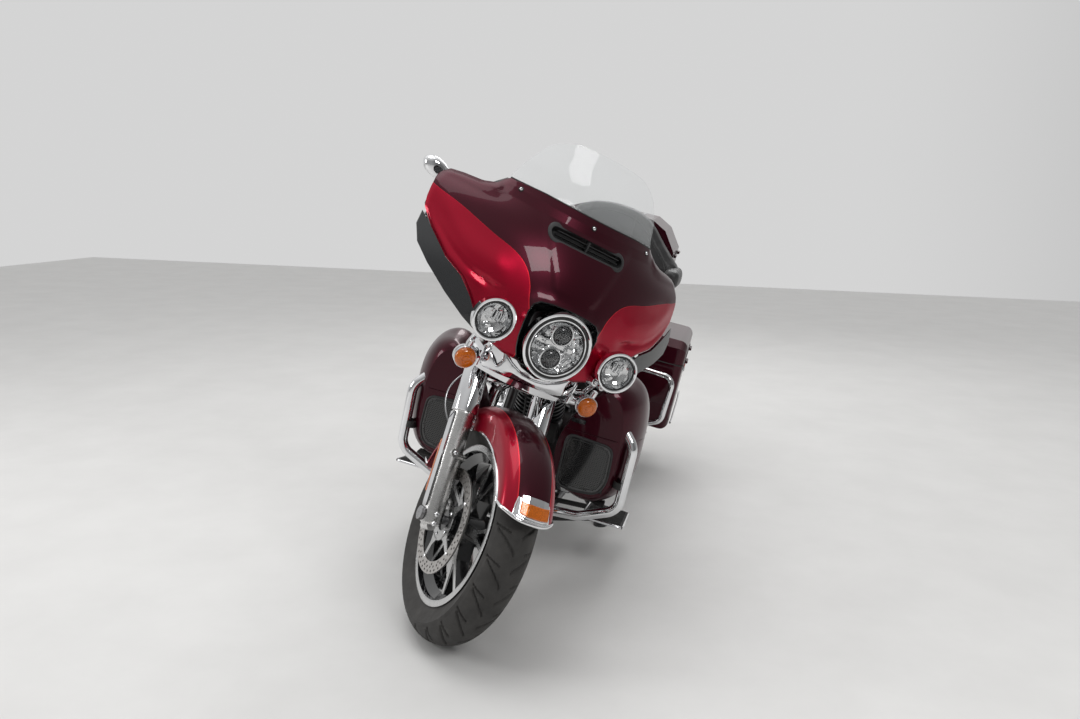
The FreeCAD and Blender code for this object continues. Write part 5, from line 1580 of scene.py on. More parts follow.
                    spots.append(((x, y0 + r * math.sin(a), z0 + r * math.cos(a)), (side, 0, 0)))
        grow.repeat(self.tag + "_disc_bolts", dome_head(6.0, 2.2), spots, self.rig, "chrome", self.body)
        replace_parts(rotors[0], "front_discs")

    def build(self, shop: Workshop, grow: Grower) -> None:
        """Makes the wheel's pieces."""
        self.tyre(shop)
        self.edges(shop)
        self.discs(shop, grow)
        y0, z0 = self.centre[1], self.centre[2]
        hub = Shape()
        for side in (1, -1):
            profile = [(side * 60.4, 20.0), (side * 60.4, 36.0), (side * 63.0, 38.0), (side * 66.0, 33.0),
                       (side * 66.0, 20.0), (side * 60.4, 20.0)]
            if side < 0:
                profile.reverse()
            hub.join(Shape.lathe(profile, self.centre, LEFT, 48))
        shop.piece("front_hub_caps", hub, self.rig, "machined", self.body)
        valve = Shape.tube([(6, y0 + 8, z0 - self.rim_r + 32), (10, y0 + 10, z0 - self.rim_r + 62)], 3.2,
                           10)
        shop.piece("front_valve_stem", valve, self.rig, "rubber", self.body)


class Outline:
    """Closed outline in a flat view, with distances to it."""

    def __init__(self, corners: Sequence[tuple[float, float]]) -> None:
        """Keeps its edges."""
        self.start = np.array(corners, dtype=float)
        self.step = np.roll(self.start, -1, axis=0) - self.start

    def nearest(self, spots: np.ndarray) -> tuple[np.ndarray, np.ndarray]:
        """Nearest points of the outline and their distances."""
        away = spots[:, None, :] - self.start[None]
        share = np.clip((away * self.step).sum(2) / (self.step ** 2).sum(1), 0.0, 1.0)
        foot = self.start[None] + share[..., None] * self.step[None]
        gap = np.linalg.norm(spots[:, None, :] - foot, axis=2)
        pick = gap.argmin(1)
        rows = np.arange(len(spots))
        return foot[rows, pick], gap[rows, pick]

    def inside(self, spots: np.ndarray) -> np.ndarray:
        """True where a spot lies inside."""
        a, b = self.start, self.start + self.step
        x, y = spots[:, 0:1], spots[:, 1:2]
        crosses = (a[:, 1] > y) != (b[:, 1] > y)
        rise = np.where(self.step[:, 1] == 0, 1e-9, self.step[:, 1])
        at = a[:, 0] + (y - a[:, 1]) / rise * self.step[:, 0]
        return (crosses & (x < at)).sum(1) % 2 == 1


def both_halves(half: Sequence[tuple[float, float]]) -> list[tuple[float, float]]:
    """Whole outline from the half that runs from the middle line to the middle line."""
    return list(half) + [(-x, z) for x, z in reversed(half) if x > 0]


def slot_outline(half: float, rise: float, z: float, grow: float = 0.0,
                 count: int = 12) -> list[tuple[float, float]]:
    """Slot with round ends."""
    made = []
    for side, start in ((1, -90.0), (-1, 90.0)):
        for i in range(count + 1):
            a = math.radians(start + 180.0 * i / count)
            made.append((side * half + math.cos(a) * (rise + grow), z + math.sin(a) * (rise + grow)))
    return made


def pressed_panel(outline: Sequence[tuple[float, float]], holes: Sequence[Sequence[tuple[float, float]]],
                  depth: Callable[[np.ndarray], np.ndarray], wall: float, pitch: float) -> Shape:
    """Sheet pressed to a depth map inside a front-view outline.

    Args:
        outline: Closed outline in x and z.
        holes: Closed openings.
        depth: Gives y at each front-view spot.
        wall: Thickness towards +y.
        pitch: Grid spacing.

    Returns:
        The closed shell.
    """
    low, high = np.min(outline, axis=0), np.max(outline, axis=0)
    wide, tall = (int(math.ceil((b - a) / pitch)) + 1 for a, b in zip(low, high))
    grid = np.meshgrid(np.linspace(low[0], high[0], wide), np.linspace(low[1], high[1], tall),
                       indexing="ij")
    flat = np.stack(grid, axis=2).reshape(-1, 2)
    first = (np.arange(wide - 1)[:, None] * tall + np.arange(tall - 1)[None]).ravel()
    quads = np.stack([first, first + tall, first + tall + 1, first + 1], axis=1)
    middle = flat[quads].mean(1)
    rims = [Outline(outline)] + [Outline(hole) for hole in holes]
    kept = rims[0].inside(middle)
    for rim in rims[1:]:
        kept &= ~rim.inside(middle)
    border = np.intersect1d(quads[kept], quads[~kept])
    feet = [rim.nearest(flat[border]) for rim in rims]
    pick = np.stack([gap for _, gap in feet]).argmin(0)
    flat[border] = np.stack([foot for foot, _ in feet])[pick, np.arange(len(border))]
    return shell_of(flat, quads[kept], depth, wall, 1.0)


def shell_of(flat: np.ndarray, quads: np.ndarray, depth: Callable[[np.ndarray], np.ndarray], wall: float,
             narrow: float) -> Shape:
    """Closed shell over the used spots of a front-view grid.

    Args:
        flat: Spots in x and z.
        quads: Faces that index them, counter-clockwise from the front.
        depth: Gives y at each spot.
        wall: Thickness towards +y.
        narrow: Share by which the back face is drawn in.

    Returns:
        The shell with its front, back and every edge.
    """
    used = np.unique(quads)
    index = np.full(len(flat), -1)
    index[used] = np.arange(len(used))
    flat, quads = flat[used], index[quads]
    deep = depth(flat)
    count = len(flat)
    made = Shape()
    made.points = [Vector((x, y, z)) for (x, z), y in zip(flat, deep)]
    made.points += [Vector((x * narrow, y + wall, z)) for (x, z), y in zip(flat, deep)]
    made.faces = [tuple(int(i) for i in quad) for quad in quads]
    edges = {(a, b) for quad in made.faces for a, b in zip(quad, quad[1:] + quad[:1])}
    back = [tuple(i + count for i in reversed(quad)) for quad in made.faces]
    made.faces += back + [(b, a, a + count, b + count) for a, b in sorted(edges) if (b, a) not in edges]
    return made


@dataclass
class FairingSkin:
    """Painted shell with its creased wings, the hood over the headlamp and the intake slot."""

    edge: tuple[tuple[float, float], ...] = (
        (795.0, 20.0), (800.0, 120.0), (820.0, 190.0), (846.0, 222.0), (900.0, 266.0), (938.0, 308.0),
        (962.0, 360.0), (1008.0, 412.0), (1050.0, 444.0), (1078.0, 447.0), (1105.0, 446.0),
        (1130.0, 442.0), (1145.0, 436.0), (1160.0, 424.0), (1172.0, 408.0), (1180.0, 372.0),
        (1187.0, 322.0), (1200.0, 288.0), (1217.0, 269.0), (1230.0, 254.0), (1236.0, 160.0))
    crease: tuple[tuple[float, float], ...] = (
        (185.0, 962.0), (217.0, 955.0), (260.0, 960.0), (309.0, 969.0), (347.0, 986.0), (404.0, 1026.0),
        (450.0, 1050.0))
    hood: tuple[tuple[float, float], ...] = (
        (0.0, 988.0), (58.0, 985.0), (94.0, 978.0), (110.0, 964.0), (116.0, 940.0), (115.0, 905.0),
        (109.0, 865.0), (98.0, 832.0), (84.0, 806.0), (60.0, 797.0), (0.0, 794.0))
    slot_half: float = 108.0
    slot_rise: float = 19.0
    slot_z: float = 1159.0
    wall: float = 4.0
    roll: float = 8.0
    roll_width: float = 12.0
    foot_rise: float = 6.0
    shoulder_rise: float = 7.0
    crease_depth: float = 15.0
    crease_swell: float = 5.0
    hood_rise: float = 10.0
    middle_rise: float = 4.0

    def relief(self, spots: np.ndarray) -> np.ndarray:
        """Sculpted depth behind the plain bow at each front-view spot."""
        side, z = np.abs(spots[:, 0]), spots[:, 1]
        rim = Outline(both_halves([(w, h) for h, w in self.edge]))
        _, gap = rim.nearest(spots)
        # The rim rolls back, apart from the tongue under the screen's foot and the wings' shoulders.
        foot = ramp(z, 1188.0, 1214.0) * ramp(side, 268.0, 242.0)
        deep = self.roll * ramp(gap, self.roll_width, 0.0) ** 2 * (1 - foot) - self.foot_rise * foot
        shoulder = ramp(z, 1146.0, 1164.0) * ramp(side, 262.0, 284.0) * ramp(gap, 40.0, 0.0)
        deep -= self.shoulder_rise * eased(shoulder) * (1 - foot)
        # The crease across each wing fades towards the lamp and the rim.
        above = z - np.interp(side, [x for x, _ in self.crease], [h for _, h in self.crease])
        hold = ramp(gap, 9.0, 69.0) * ramp(z, 905.0, 945.0) + ramp(z, 945.0, 905.0)
        fade = eased(ramp(side, 178.0, 248.0)) * eased(hold)
        lip = ramp(above, 20.0, 0.0) ** 2
        deep += self.crease_depth * fade * np.where(above > 0, lip, np.exp(np.clip(above, -400, 0) / 60.0))
        deep -= self.crease_swell * fade * np.exp(-((above - 55.0) / 34.0) ** 2)
        # The hood's edge over the headlamp and the middle above it stand proud.
        _, near = Outline(both_halves(self.hood)).nearest(spots)
        deep -= self.hood_rise * np.exp(-near / 14.0) * ramp(z, 850.0, 920.0)
        half = np.interp(z, [960.0, 1010.0, 1140.0, 1190.0], [70.0, 62.0, 124.0, 150.0])
        plateau = eased(ramp(side - half, 16.0, -16.0))
        deep -= self.middle_rise * plateau * ramp(z, 1215.0, 1175.0) * ramp(z, 985.0, 1025.0)
        return deep

    def depth(self, spots: np.ndarray) -> np.ndarray:
        """y of the skin at each front-view spot."""
        plain = np.array([FAIRING.at(float(x), float(z)).y for x, z in spots])
        return plain + self.relief(spots)

    def skin(self, shop: Workshop) -> None:
        """The shell itself, both faces and every edge."""
        heights = np.concatenate([np.linspace(796, 850, 22, False), np.linspace(850, 1165, 72, False),
                                  np.linspace(1165, 1235.5, 34)])
        even = np.linspace(-1, 1, 161)
        columns = 0.6 * even + 0.4 * np.sin(even * math.pi / 2)
        widths = np.interp(heights, [h for h, _ in self.edge], [w for _, w in self.edge])
        flat = np.stack(np.broadcast_arrays(widths[:, None] * columns[None], heights[:, None]),
                        axis=2).reshape(-1, 2)
        rows, total = len(heights), len(columns)
        first = (np.arange(rows - 1)[:, None] * total + np.arange(total - 1)[None]).ravel()
        quads = np.stack([first, first + 1, first + total + 1, first + total], axis=1)
        middle = flat[quads].mean(1)
        kept = np.ones(len(quads), dtype=bool)
        holes = [Outline(both_halves(self.hood)),
                 Outline(slot_outline(self.slot_half, self.slot_rise, self.slot_z))]
        for hole in holes:
            drop = hole.inside(middle)
            shared = np.intersect1d(quads[drop], quads[~drop])
            flat[shared] = hole.nearest(flat[shared])[0]
            kept &= ~drop
        made = shell_of(flat, quads[kept], self.depth, self.wall, 0.996)
        piece = shop.piece("fairing_painted_shell", made, Rig.FORK, "paint_fairing", sharp=40.0,
                           slot="paint_dark")
        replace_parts(piece, "outer_fairing")

    def ring(self, outline: Sequence[tuple[float, float]], scale: float, middle: tuple[float, float],
             off: float) -> list[Point]:
        """Outline scaled about a middle, laid on the skin and pushed back."""
        spots = np.array([(middle[0] + (x - middle[0]) * scale, middle[1] + (z - middle[1]) * scale)
                          for x, z in outline])
        return [(x, y + off, z) for (x, z), y in zip(spots, self.depth(np.array(outline)))]

    def hood_trim(self, shop: Workshop) -> None:
        """Black dish between the hood's edge and the headlamp."""
        outline = both_halves(self.hood)
        middle = (0.0, 884.0)
        rows = [self.ring(outline, scale, middle, off)
                for scale, off in ((1.0, 3.0), (1.004, -1.5), (0.985, -2.5), (0.97, 0.0), (0.90, 34.0),
                                   (0.86, 60.0), (0.6, 62.0))]
        shop.piece("headlamp_hood_trim", Shape.sheet(rows, closed=True), Rig.FORK, "gloss_black",
                   sharp=50.0)

    def vent(self, shop: Workshop) -> None:
        """Intake frame, duct and its middle strut, in place of the plain insert."""
        outline = slot_outline(self.slot_half, self.slot_rise, self.slot_z)
        wide = slot_outline(self.slot_half, self.slot_rise, self.slot_z, 6.0)
        thin = slot_outline(self.slot_half, self.slot_rise, self.slot_z, -4.0)
        at = [self.depth(np.array(wide)), self.depth(np.array(outline)), self.depth(np.array(thin))]
        rows = [[(x, y + off, z) for (x, z), y in zip(shape, depth)]
                for shape, depth, off in ((wide, at[0], 1.0), (wide, at[0], -1.2), (outline, at[1], -4.0),
                                          (thin, at[2], -2.4), (thin, at[2], 26.0),
                                          (slot_outline(self.slot_half, 1.0, self.slot_z), at[1], 30.0))]
        frame = shop.piece("fairing_vent_frame", Shape.sheet(rows, closed=True), Rig.FORK, "black_plastic",
                           sharp=50.0)
        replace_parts(frame, "fairing_vent")
        front = self.depth(np.array([(0.0, self.slot_z)]))[0]
        inner = Shape.slab([(-front - 1.0, -15.0), (-front - 1.0, 15.0), (-front - 27.0, 15.0),
                            (-front - 27.0, -15.0)], (-2.0, 0.0, self.slot_z), AHEAD, UP, 4.0, 0.6)
        for low in (-6.0, 6.0):
            inner.join(Shape.slab([(-106.0, 0.0), (106.0, 0.0), (106.0, 14.0), (-106.0, 14.0)],
                                  (0.0, front + 9.0, self.slot_z + low), LEFT, (0, 0.9, -0.3), 1.6, 0.4))
        shop.piece("fairing_vent_louvres", inner, Rig.FORK, "black_plastic")

    def screen_trim(self, shop: Workshop, grow: Grower) -> None:
        """Dark strip at the screen's foot and its three screws with rubber washers."""
        flat = [(float(x), float(np.interp(abs(x), [160.0, 254.0], [1236.0, 1230.0])))
                for x in np.linspace(-254.0, 254.0, 60)]
        path = [(x, y + 3.0, z + 0.6) for (x, z), y in zip(flat, self.depth(np.array(flat)))]
        shop.piece("screen_foot_seal", Shape.tube(path, 2.4, 10), Rig.FORK, "rubber")
        spots = []
        for x, z in ((-226.0, 1215.7), (0.0, 1214.1), (226.0, 1215.7)):
            y = float(self.depth(np.array([(x, z)]))[0])
            spots.append(((x, y - 0.5, z), (x * 0.0018, -0.84, 0.54)))
        grow.repeat("screen_screw_washers", Shape.lathe([(0, 0), (0, 8.2), (1.8, 7.4), (1.8, 0)], ORIGIN,
                                                        UP, 20), spots, Rig.FORK, "rubber")
        grow.repeat("screen_screws", dome_head(5.6, 4.6), spots, Rig.FORK, "chrome")

    def build(self, shop: Workshop, grow: Grower) -> None:
        """Makes the fairing's pieces."""
        self.skin(shop)
        self.hood_trim(shop)
        self.vent(shop)
        self.screen_trim(shop, grow)


@dataclass
class Windscreen:
    """Clear screen with a rounded top, standing behind the fairing's upper edge."""

    half: tuple[tuple[float, float], ...] = (
        (1212.0, 252.0), (1230.0, 256.0), (1250.0, 249.0), (1275.0, 240.0), (1300.0, 228.5),
        (1322.0, 217.0), (1345.0, 202.5), (1362.0, 190.0), (1376.0, 174.0), (1388.0, 155.0),
        (1397.0, 133.0), (1404.0, 108.0), (1409.0, 72.0), (1412.0, 0.0))
    thick: float = 4.0

    def build(self, shop: Workshop, grow: Grower) -> None:
        """Makes the sheet with its rounded rim."""
        shares = np.concatenate([np.linspace(0.0, 0.8, 44, False), np.linspace(0.8, 0.997, 30)])
        width = Spline([(z, w) for z, w in self.half[:-2]])
        low, high = self.half[0][0], self.half[-1][0]
        corner, corner_high, top_half = 1397.0, 15.0, 133.0
        rows = []
        for share in shares:
            z = low + (high - low) * share
            half = width.at(z)
            if z >= corner:
                half = top_half * math.sqrt(max(0.0, 1 - ((z - corner) / corner_high) ** 2))
            back = float(np.interp(z, [1236.0, 1300.0], [8.0, 0.0]))
            front = [SCREEN.at(half * a, z, back) for a in np.linspace(-1.0, 1.0, 61)]
            behind = [SCREEN.at(half * a * 0.994, z, back + self.thick) for a in np.linspace(1.0, -1.0, 61)]
            rows.append(front + behind)
        made = Shape.sheet(rows, closed=True).close_ends(len(rows), turned=False)
        piece = shop.piece("windscreen_sheet", made, Rig.FORK, "screen", sharp=60.0, slot="clear_screen")
        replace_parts(piece, "windshield")


@dataclass
class FrontLamps:
    """Headlamp, passing lamps and turn signals with their insides."""

    head: tuple[float, float, float] = (0.0, -757.0, 884.0)
    passing: tuple[float, float, float] = (206.0, -756.0, 886.0)
    turn: tuple[float, float, float] = (207.0, -698.0, 745.0)
    head_r: float = 100.0
    passing_r: float = 61.0
    turn_r: float = 31.0
    ahead: tuple[float, float, float] = (0.0, -1.0, 0.0)

    def ring(self, centre: Point, inner: float, outer: float, low: float, high: float,
             soft: float = 1.2) -> Shape:
        """Round ring with softened front edges, from low to high ahead of the rim."""
        profile = [(low, inner), (low, outer), (high - soft, outer), (high, outer - soft),
                   (high, inner + soft), (high - soft, inner), (low, inner)]
        return Shape.lathe(profile, centre, self.ahead, 72)

    def glass(self, centre: Point, radius: float, bulge: float) -> Shape:
        """Thin domed cover."""
        shares = (1.0, 0.93, 0.8, 0.62, 0.42, 0.2, 0.0)
        front = [(bulge * (1 - s * s), radius * s) for s in shares]
        back = [(bulge * (1 - s * s) - 2.4, radius * s) for s in reversed(shares)]
        return Shape.lathe(back + front, centre, self.ahead, 72)

    def headlamp(self, shop: Workshop) -> None:
        """Rings, cover, faceted bowl, bridge and the two projectors."""
        c, r = self.head, self.head_r
        bezel = self.ring(c, r - 8.4, r + 0.8, -3.0, 5.0, 3.0)
        bezel.join(self.ring(c, r - 20, r - 15.6, -6.0, 3.4))
        shop.piece("headlamp_bezel", bezel, Rig.FORK, "chrome")
        gaskets = self.ring(c, r - 15.8, r - 8.0, -6.0, 2.6)
        gaskets.join(self.ring(c, r - 23.5, r - 19.8, -8.0, 0.8))
        shop.piece("headlamp_gaskets", gaskets, Rig.FORK, "rubber")
        cover = shop.piece("headlamp_cover", self.glass(c, r - 23.0, 9.0), Rig.FORK, "lamp_glass")
        rows = [(-2.0, 76.5), (-9.0, 75.0), (-20.0, 71.0), (-31.0, 63.0), (-40.0, 51.0), (-46.0, 36.0),
                (-49.0, 18.0), (-50.0, 0.0)]
        bowl = Shape.lathe(rows, c, self.ahead, 22)
        bowl.faces = [tuple(reversed(face)) for face in bowl.faces]
        shop.piece("headlamp_reflector", bowl, Rig.FORK, "reflector", sharp=2.0)
        bridge = Shape()
        barrels = Shape()
        eyes = Shape()
        for side in (1, -1):
            at = Vector(c) + Vector((0, 0, 37.0 * side))
            barrels.join(Shape.lathe([(-44, 30), (-44, 34.5), (-14, 34.5), (-9, 32.5), (-8, 29.0),
                                      (-13, 27.0), (-16, 26.5), (-44, 30)], at, self.ahead, 48))
            eyes.join(Shape.lathe([(-18, 0), (-18, 27.4), (-12, 26.6), (-6, 22.5), (-1.5, 15.0),
                                   (0.5, 7.0), (1.0, 0)], at, self.ahead, 48))
        for side in (1, -1):
            for k in range(5):
                wide = 10.0 - k
                a = math.radians(-40.0 + 20.0 * k)
                base = Vector((side * math.cos(a) * 36, 0, math.sin(a) * 62))
                bridge.join(Shape.lathe([(-40, 0), (-40, wide + 4), (-26, wide + 2), (-17, wide * 0.5),
                                         (-15, 0)], Vector(c) + base, self.ahead, 6))
        bridge.join(Shape.slab([(-58, -9), (58, -9), (66, 0), (58, 9), (-58, 9), (-66, 0)],
                               Vector(c) + Vector((0, 38, 0)), LEFT, UP, 14.0, 4.0))
        shop.piece("headlamp_projector_barrels", barrels, Rig.FORK, "reflector")
        shop.piece("headlamp_prisms", bridge, Rig.FORK, "reflector", sharp=5.0)
        shop.piece("headlamp_projector_lenses", eyes, Rig.FORK, "projector")
        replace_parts(cover, "lamp_lenses")

    def passing_lamps(self, shop: Workshop) -> None:
        """Rings, covers, bowls and upright blades of the two side lamps."""
        c, r = self.passing, self.passing_r
        rings = self.ring(c, r - 8.2, r + 0.6, -3.0, 4.5, 2.6)
        gaskets = self.ring(c, r - 12.4, r - 8.0, -6.0, 2.2)
        covers = self.glass(c, r - 12.0, 6.0)
        bowl = Shape.lathe([(-2.0, 48.8), (-9.0, 47.0), (-18.0, 42.0), (-26.0, 32.0), (-31.0, 18.0),
                            (-32.0, 0.0)], c, self.ahead, 40)
        bowl.faces = [tuple(reversed(face)) for face in bowl.faces]
        blades = Shape()
        for k in range(4):
            x = -22.0 + 14.0 * k
            lift = 7.0 - 3.0 * abs(k - 1.5)
            arc = [(-16.0, -14.0), (-8.0, -16.5), (2.0, -17.0), (11.0, -15.0), (17.0, -10.0), (15.0, 2.0),
                   (-14.0, 2.0)]
            blade = Shape.slab(arc, ORIGIN, UP, BACK, 4.0, 1.2)
            turn = Matrix.Rotation(math.radians(-20.0), 3, "Z")
            foot = Vector(self.passing) + Vector((x, 22.0, 5.0 + lift))
            blades.join(blade.moved(lambda p, t=turn, at=foot: at + t @ p))
        bulbs = Shape.lathe([(-30, 0), (-30, 9), (-22, 9), (-18, 6), (-16, 0)],
                            Vector(c) + Vector((0, 0, -24)), self.ahead, 20)
        for name, shape, finish, sharp in (
                ("passing_lamp_rings", rings, "chrome", 34.0),
                ("passing_lamp_gaskets", gaskets, "rubber", 34.0),
                ("passing_lamp_covers", covers, "lamp_glass", 34.0),
                ("passing_lamp_bowls", bowl, "reflector", 20.0),
                ("passing_lamp_blades", blades.join(bulbs), "reflector", 20.0)):
            shop.piece(name, shape.both_sides(), Rig.FORK, finish, sharp=sharp)

    def turn_signals(self, shop: Workshop) -> None:
        """Stepped amber lenses with their seating rings."""
        c, r = self.turn, self.turn_r
        steps = [(-2, 0), (-2, r - 1.2), (4, r - 1.0), (8, r - 2.6), (12.5, r - 7.0), (15.5, r - 12.5),
                 (16.6, r - 17.0), (15.4, r - 18.0), (15.2, r - 20.5), (17.2, r - 21.5), (18.4, r - 25.0),
                 (18.9, 0)]
        lens = shop.piece("turn_signal_lens_domes", Shape.lathe(steps, c, self.ahead, 56).both_sides(),
                          Rig.FORK, "amber")
        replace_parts(lens, "turn_lenses")
        seats = self.ring(c, r - 1.4, r + 1.2, -3.0, 2.0)
        for k in range(3):
            seats.join(Shape.lathe([(-3.0 - k * 5.0, r - 0.5), (-3.6 - k * 5.0, r + 0.9),
                                    (-4.8 - k * 5.0, r + 0.9), (-5.4 - k * 5.0, r - 0.5)], c, self.ahead,
                                   56))
        shop.piece("turn_signal_rings", seats.both_sides(), Rig.FORK, "chrome")

    def mounts(self, shop: Workshop, grow: Grower) -> None:
        """Barrel clamps and bolts that carry the side lamps."""
        barrels = Shape()
        x, y, z = self.passing
        for centre, axis, radius, length in (((x - 36, y + 44, z - 58), (0.3, -1, 0.15), 13.0, 34.0),
                                             ((x - 2, y + 46, z - 64), (0, -1, 0.1), 11.0, 30.0),
                                             ((x + 4, y + 66, z - 104), (0, -0.2, 1), 9.0, 30.0)):
            half = length / 2
            barrels.join(Shape.lathe([(-half, 0), (-half, radius - 1.5), (-half + 1.5, radius),
                                      (half - 1.5, radius), (half, radius - 1.5), (half, 0)], centre, axis,
                                     32))
        shop.piece("side_lamp_clamps", barrels.both_sides(), Rig.FORK, "chrome")
        spots = [((side * (x - 31), y + 26, z - 55), (side * 0.3, -1, 0.15)) for side in (1, -1)]
        spots += [((side * (x - 2), y + 30, z - 62), (0, -1, 0.1)) for side in (1, -1)]
        grow.repeat("side_lamp_bolts", dome_head(8.0, 6.0), spots, Rig.FORK, "chrome")

    def build(self, shop: Workshop, grow: Grower) -> None:
        """Makes every front lamp."""
        self.headlamp(shop)
        self.passing_lamps(shop)
        self.turn_signals(shop)
        self.mounts(shop, grow)


@dataclass
class FenderSkin:
    """Front fender with its rolled nose, bright hem, tip plate and amber tip lamp."""

    half: float = 78.0
    radius: float = 354.0
    start: float = 34.5
    end: float = 182.0
    skin: float = 3.0
    crown: tuple[tuple[float, float], ...] = (
        (0.0, 354.0), (9.0, 353.7), (18.0, 353.0), (27.0, 351.7), (36.0, 349.6), (45.0, 346.6),
        (54.0, 342.2), (62.0, 337.0), (69.0, 330.5), (74.0, 323.5), (77.0, 315.0), (78.0, 306.0))

    def hem(self, angle: float) -> float:
        """Radius of the lower edge at one angle."""
        c, s = math.cos(math.radians(angle)), math.sin(math.radians(angle))
        b = -6.0 * c + 72.0 * s
        return -b + math.sqrt(b * b - 36.0 - 5184.0 + 332.0 ** 2)

    def spot(self, x: float, r: float, angle: float) -> Vector:
        """Point by width, radius from the axle and angle up from straight ahead."""
        a = math.radians(angle)
        return Vector((x, LAYOUT.front_axle[1] - math.cos(a) * r, LAYOUT.front_axle[2] + math.sin(a) * r))

    def angle(self, share: float, x: float, r: float) -> float:
        """Angle along the fender; the nose and the tail sweep back at the sides."""
        side, low = (abs(x) / self.half) ** 3, max(0.0, (318.0 - r) / 40.0)
        start = self.start + 5.0 * side + 5.0 * low
        end = self.end - 3.0 * side - 3.0 * low
        return start + (end - start) * share

    def section(self, share: float) -> list[tuple[float, float]]:
        """Half section from the crown down to the hem."""
        low = self.hem(self.start + (self.end - self.start) * share)
        made = [(x, max(r, low)) for x, r in self.crown]
        made += [(self.half, 306.0 + (min(low, 306.0) - 306.0) * k / 4) for k in (1, 2, 3, 4)]
        return made

    def build(self, shop: Workshop, grow: Grower) -> None:
        """Makes the fender's pieces."""
        rows = []
        for i in range(91):
            share = i / 90
            half = self.section(share)
            outer = [(-x, r) for x, r in reversed(half)] + half[1:]
            inner = [(x * (1 - self.skin / self.half), r - (self.skin if r > 307 else 0))
                     for x, r in reversed(outer)]
            rows.append([self.spot(x, r, self.angle(share, x, r)) for x, r in outer + inner])
        made = Shape.sheet(rows, closed=True).close_ends(len(rows), turned=True)
        made.faces = [tuple(reversed(face)) for face in made.faces]
        skin = shop.piece("front_fender_skin", made, Rig.FORK, "paint_fender", sharp=50.0,
                          slot="paint_dark")
        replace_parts(skin, "front_fender")
        self.trim(shop)
        self.brackets(shop, grow)

    def trim(self, shop: Workshop) -> None:
        """Bright hem strip, tip plate and lamp."""
        path = []
        for i in range(26):
            share = 0.46 * (1 - i / 25)
            r = min(self.hem(self.start + (self.end - self.start) * share), 306.0) + 3.0
            path.append(self.spot(self.half + 0.6, r,
                                  self.angle(share, self.half, r) - (0.6 if i == 25 else 0)))
        nose = [self.spot(x, r + 0.5, self.angle(0.0, x, r) - 0.5)
                for x, r in reversed(self.section(0.0)[:-1])]
        whole = path + nose
        whole += [Vector((-p.x, p.y, p.z)) for p in reversed(whole[:-1])]
        count = len(whole)
        radii = [3.4 + 1.6 * min(1.0, min(i, count - 1 - i) / 30) for i in range(count)]
        strip = Shape.tube(whole, radii, 12)
        shop.piece("fender_tip_plate", strip.join(self.patch(54.0, 0.2, 8.4, 3.6, 0.12)), Rig.FORK,
                   "chrome", sharp=40.0)
        shop.piece("fender_tip_lamp_frame", self.patch(45.0, 1.0, 7.4, 9.0, 0.0), Rig.FORK, "chrome",
                   sharp=40.0)
        shop.piece("fender_tip_lamp_lens", self.patch(42.0, 1.6, 6.8, 12.5, 0.0), Rig.FORK, "amber",
                   sharp=40.0)

    def patch(self, half: float, low: float, high: float, lift: float, round_off: float) -> Shape:
        """Plate that hugs the crown between two angles above the nose.

        Args:
            half: Half width.
            low: Lower angle above the nose.
            high: Upper angle above the nose.
            lift: Height of its face over the fender.
            round_off: Share by which its upper corners are drawn in.

        Returns:
            The closed plate.
        """
        xs, rs = [x for x, _ in self.crown], [r for _, r in self.crown]
        border = [(-1 + k / 8, 0) for k in range(17)] + [(1, k / 4) for k in range(1, 5)]
        border += [(1 - k / 8, 1) for k in range(1, 17)] + [(-1, 1 - k / 4) for k in range(1, 4)]
        rows = []
        for depth in (-1.5, lift - 1.2, lift):
            inset = 1.6 if depth == lift else 0.0
            ring = []
            for a, b in border:
                wide = (half - inset) * (1 - round_off * b * b)
                x = wide * a
                r = float(np.interp(abs(x), xs, rs))
                angle = self.start + 5.0 * (abs(x) / self.half) ** 3 + low + (high - low) * b
                angle += (0.5 - b) * 2 * inset / 6.0
                ring.append(self.spot(x, r + depth, angle))
            rows.append(ring)
        made = Shape.sheet(rows, closed=True)
        grid = []
        columns = 17
        for k in range(columns):
            a, b = rows[2][k], rows[2][36 - k]
            grid.append([a.lerp(b, j / 4) for j in range(5)])
        top = Shape.sheet(grid)
        top.faces = [tuple(reversed(face)) for face in top.faces]
        return made.join(top)

    def brackets(self, shop: Workshop, grow: Grower) -> None:
        """Mounting bolts at the legs and the small bright piece at the rear corner."""
        spots = [(LAYOUT.leg(side * 70.0, s, 0.0) + Vector((side * 9.0, 0, 0)), (side, 0, 0))
                 for side in (1, -1) for s in (268.0, 292.0)]
        grow.repeat("fender_bolts", bolt_head(6.5, 5.0), spots, Rig.FORK, "chrome")
        tail = Shape()
        for side in (1, -1):
            path = [self.spot(side * (self.half + 1.0), 306 + 8 * k, 177.0 - 0.2 * k) for k in range(5)]
            tail.join(Shape.tube(path, [3.0, 4.2, 4.6, 4.2, 2.6], 12))
        shop.piece("fender_rear_trim", tail, Rig.FORK, "chrome")


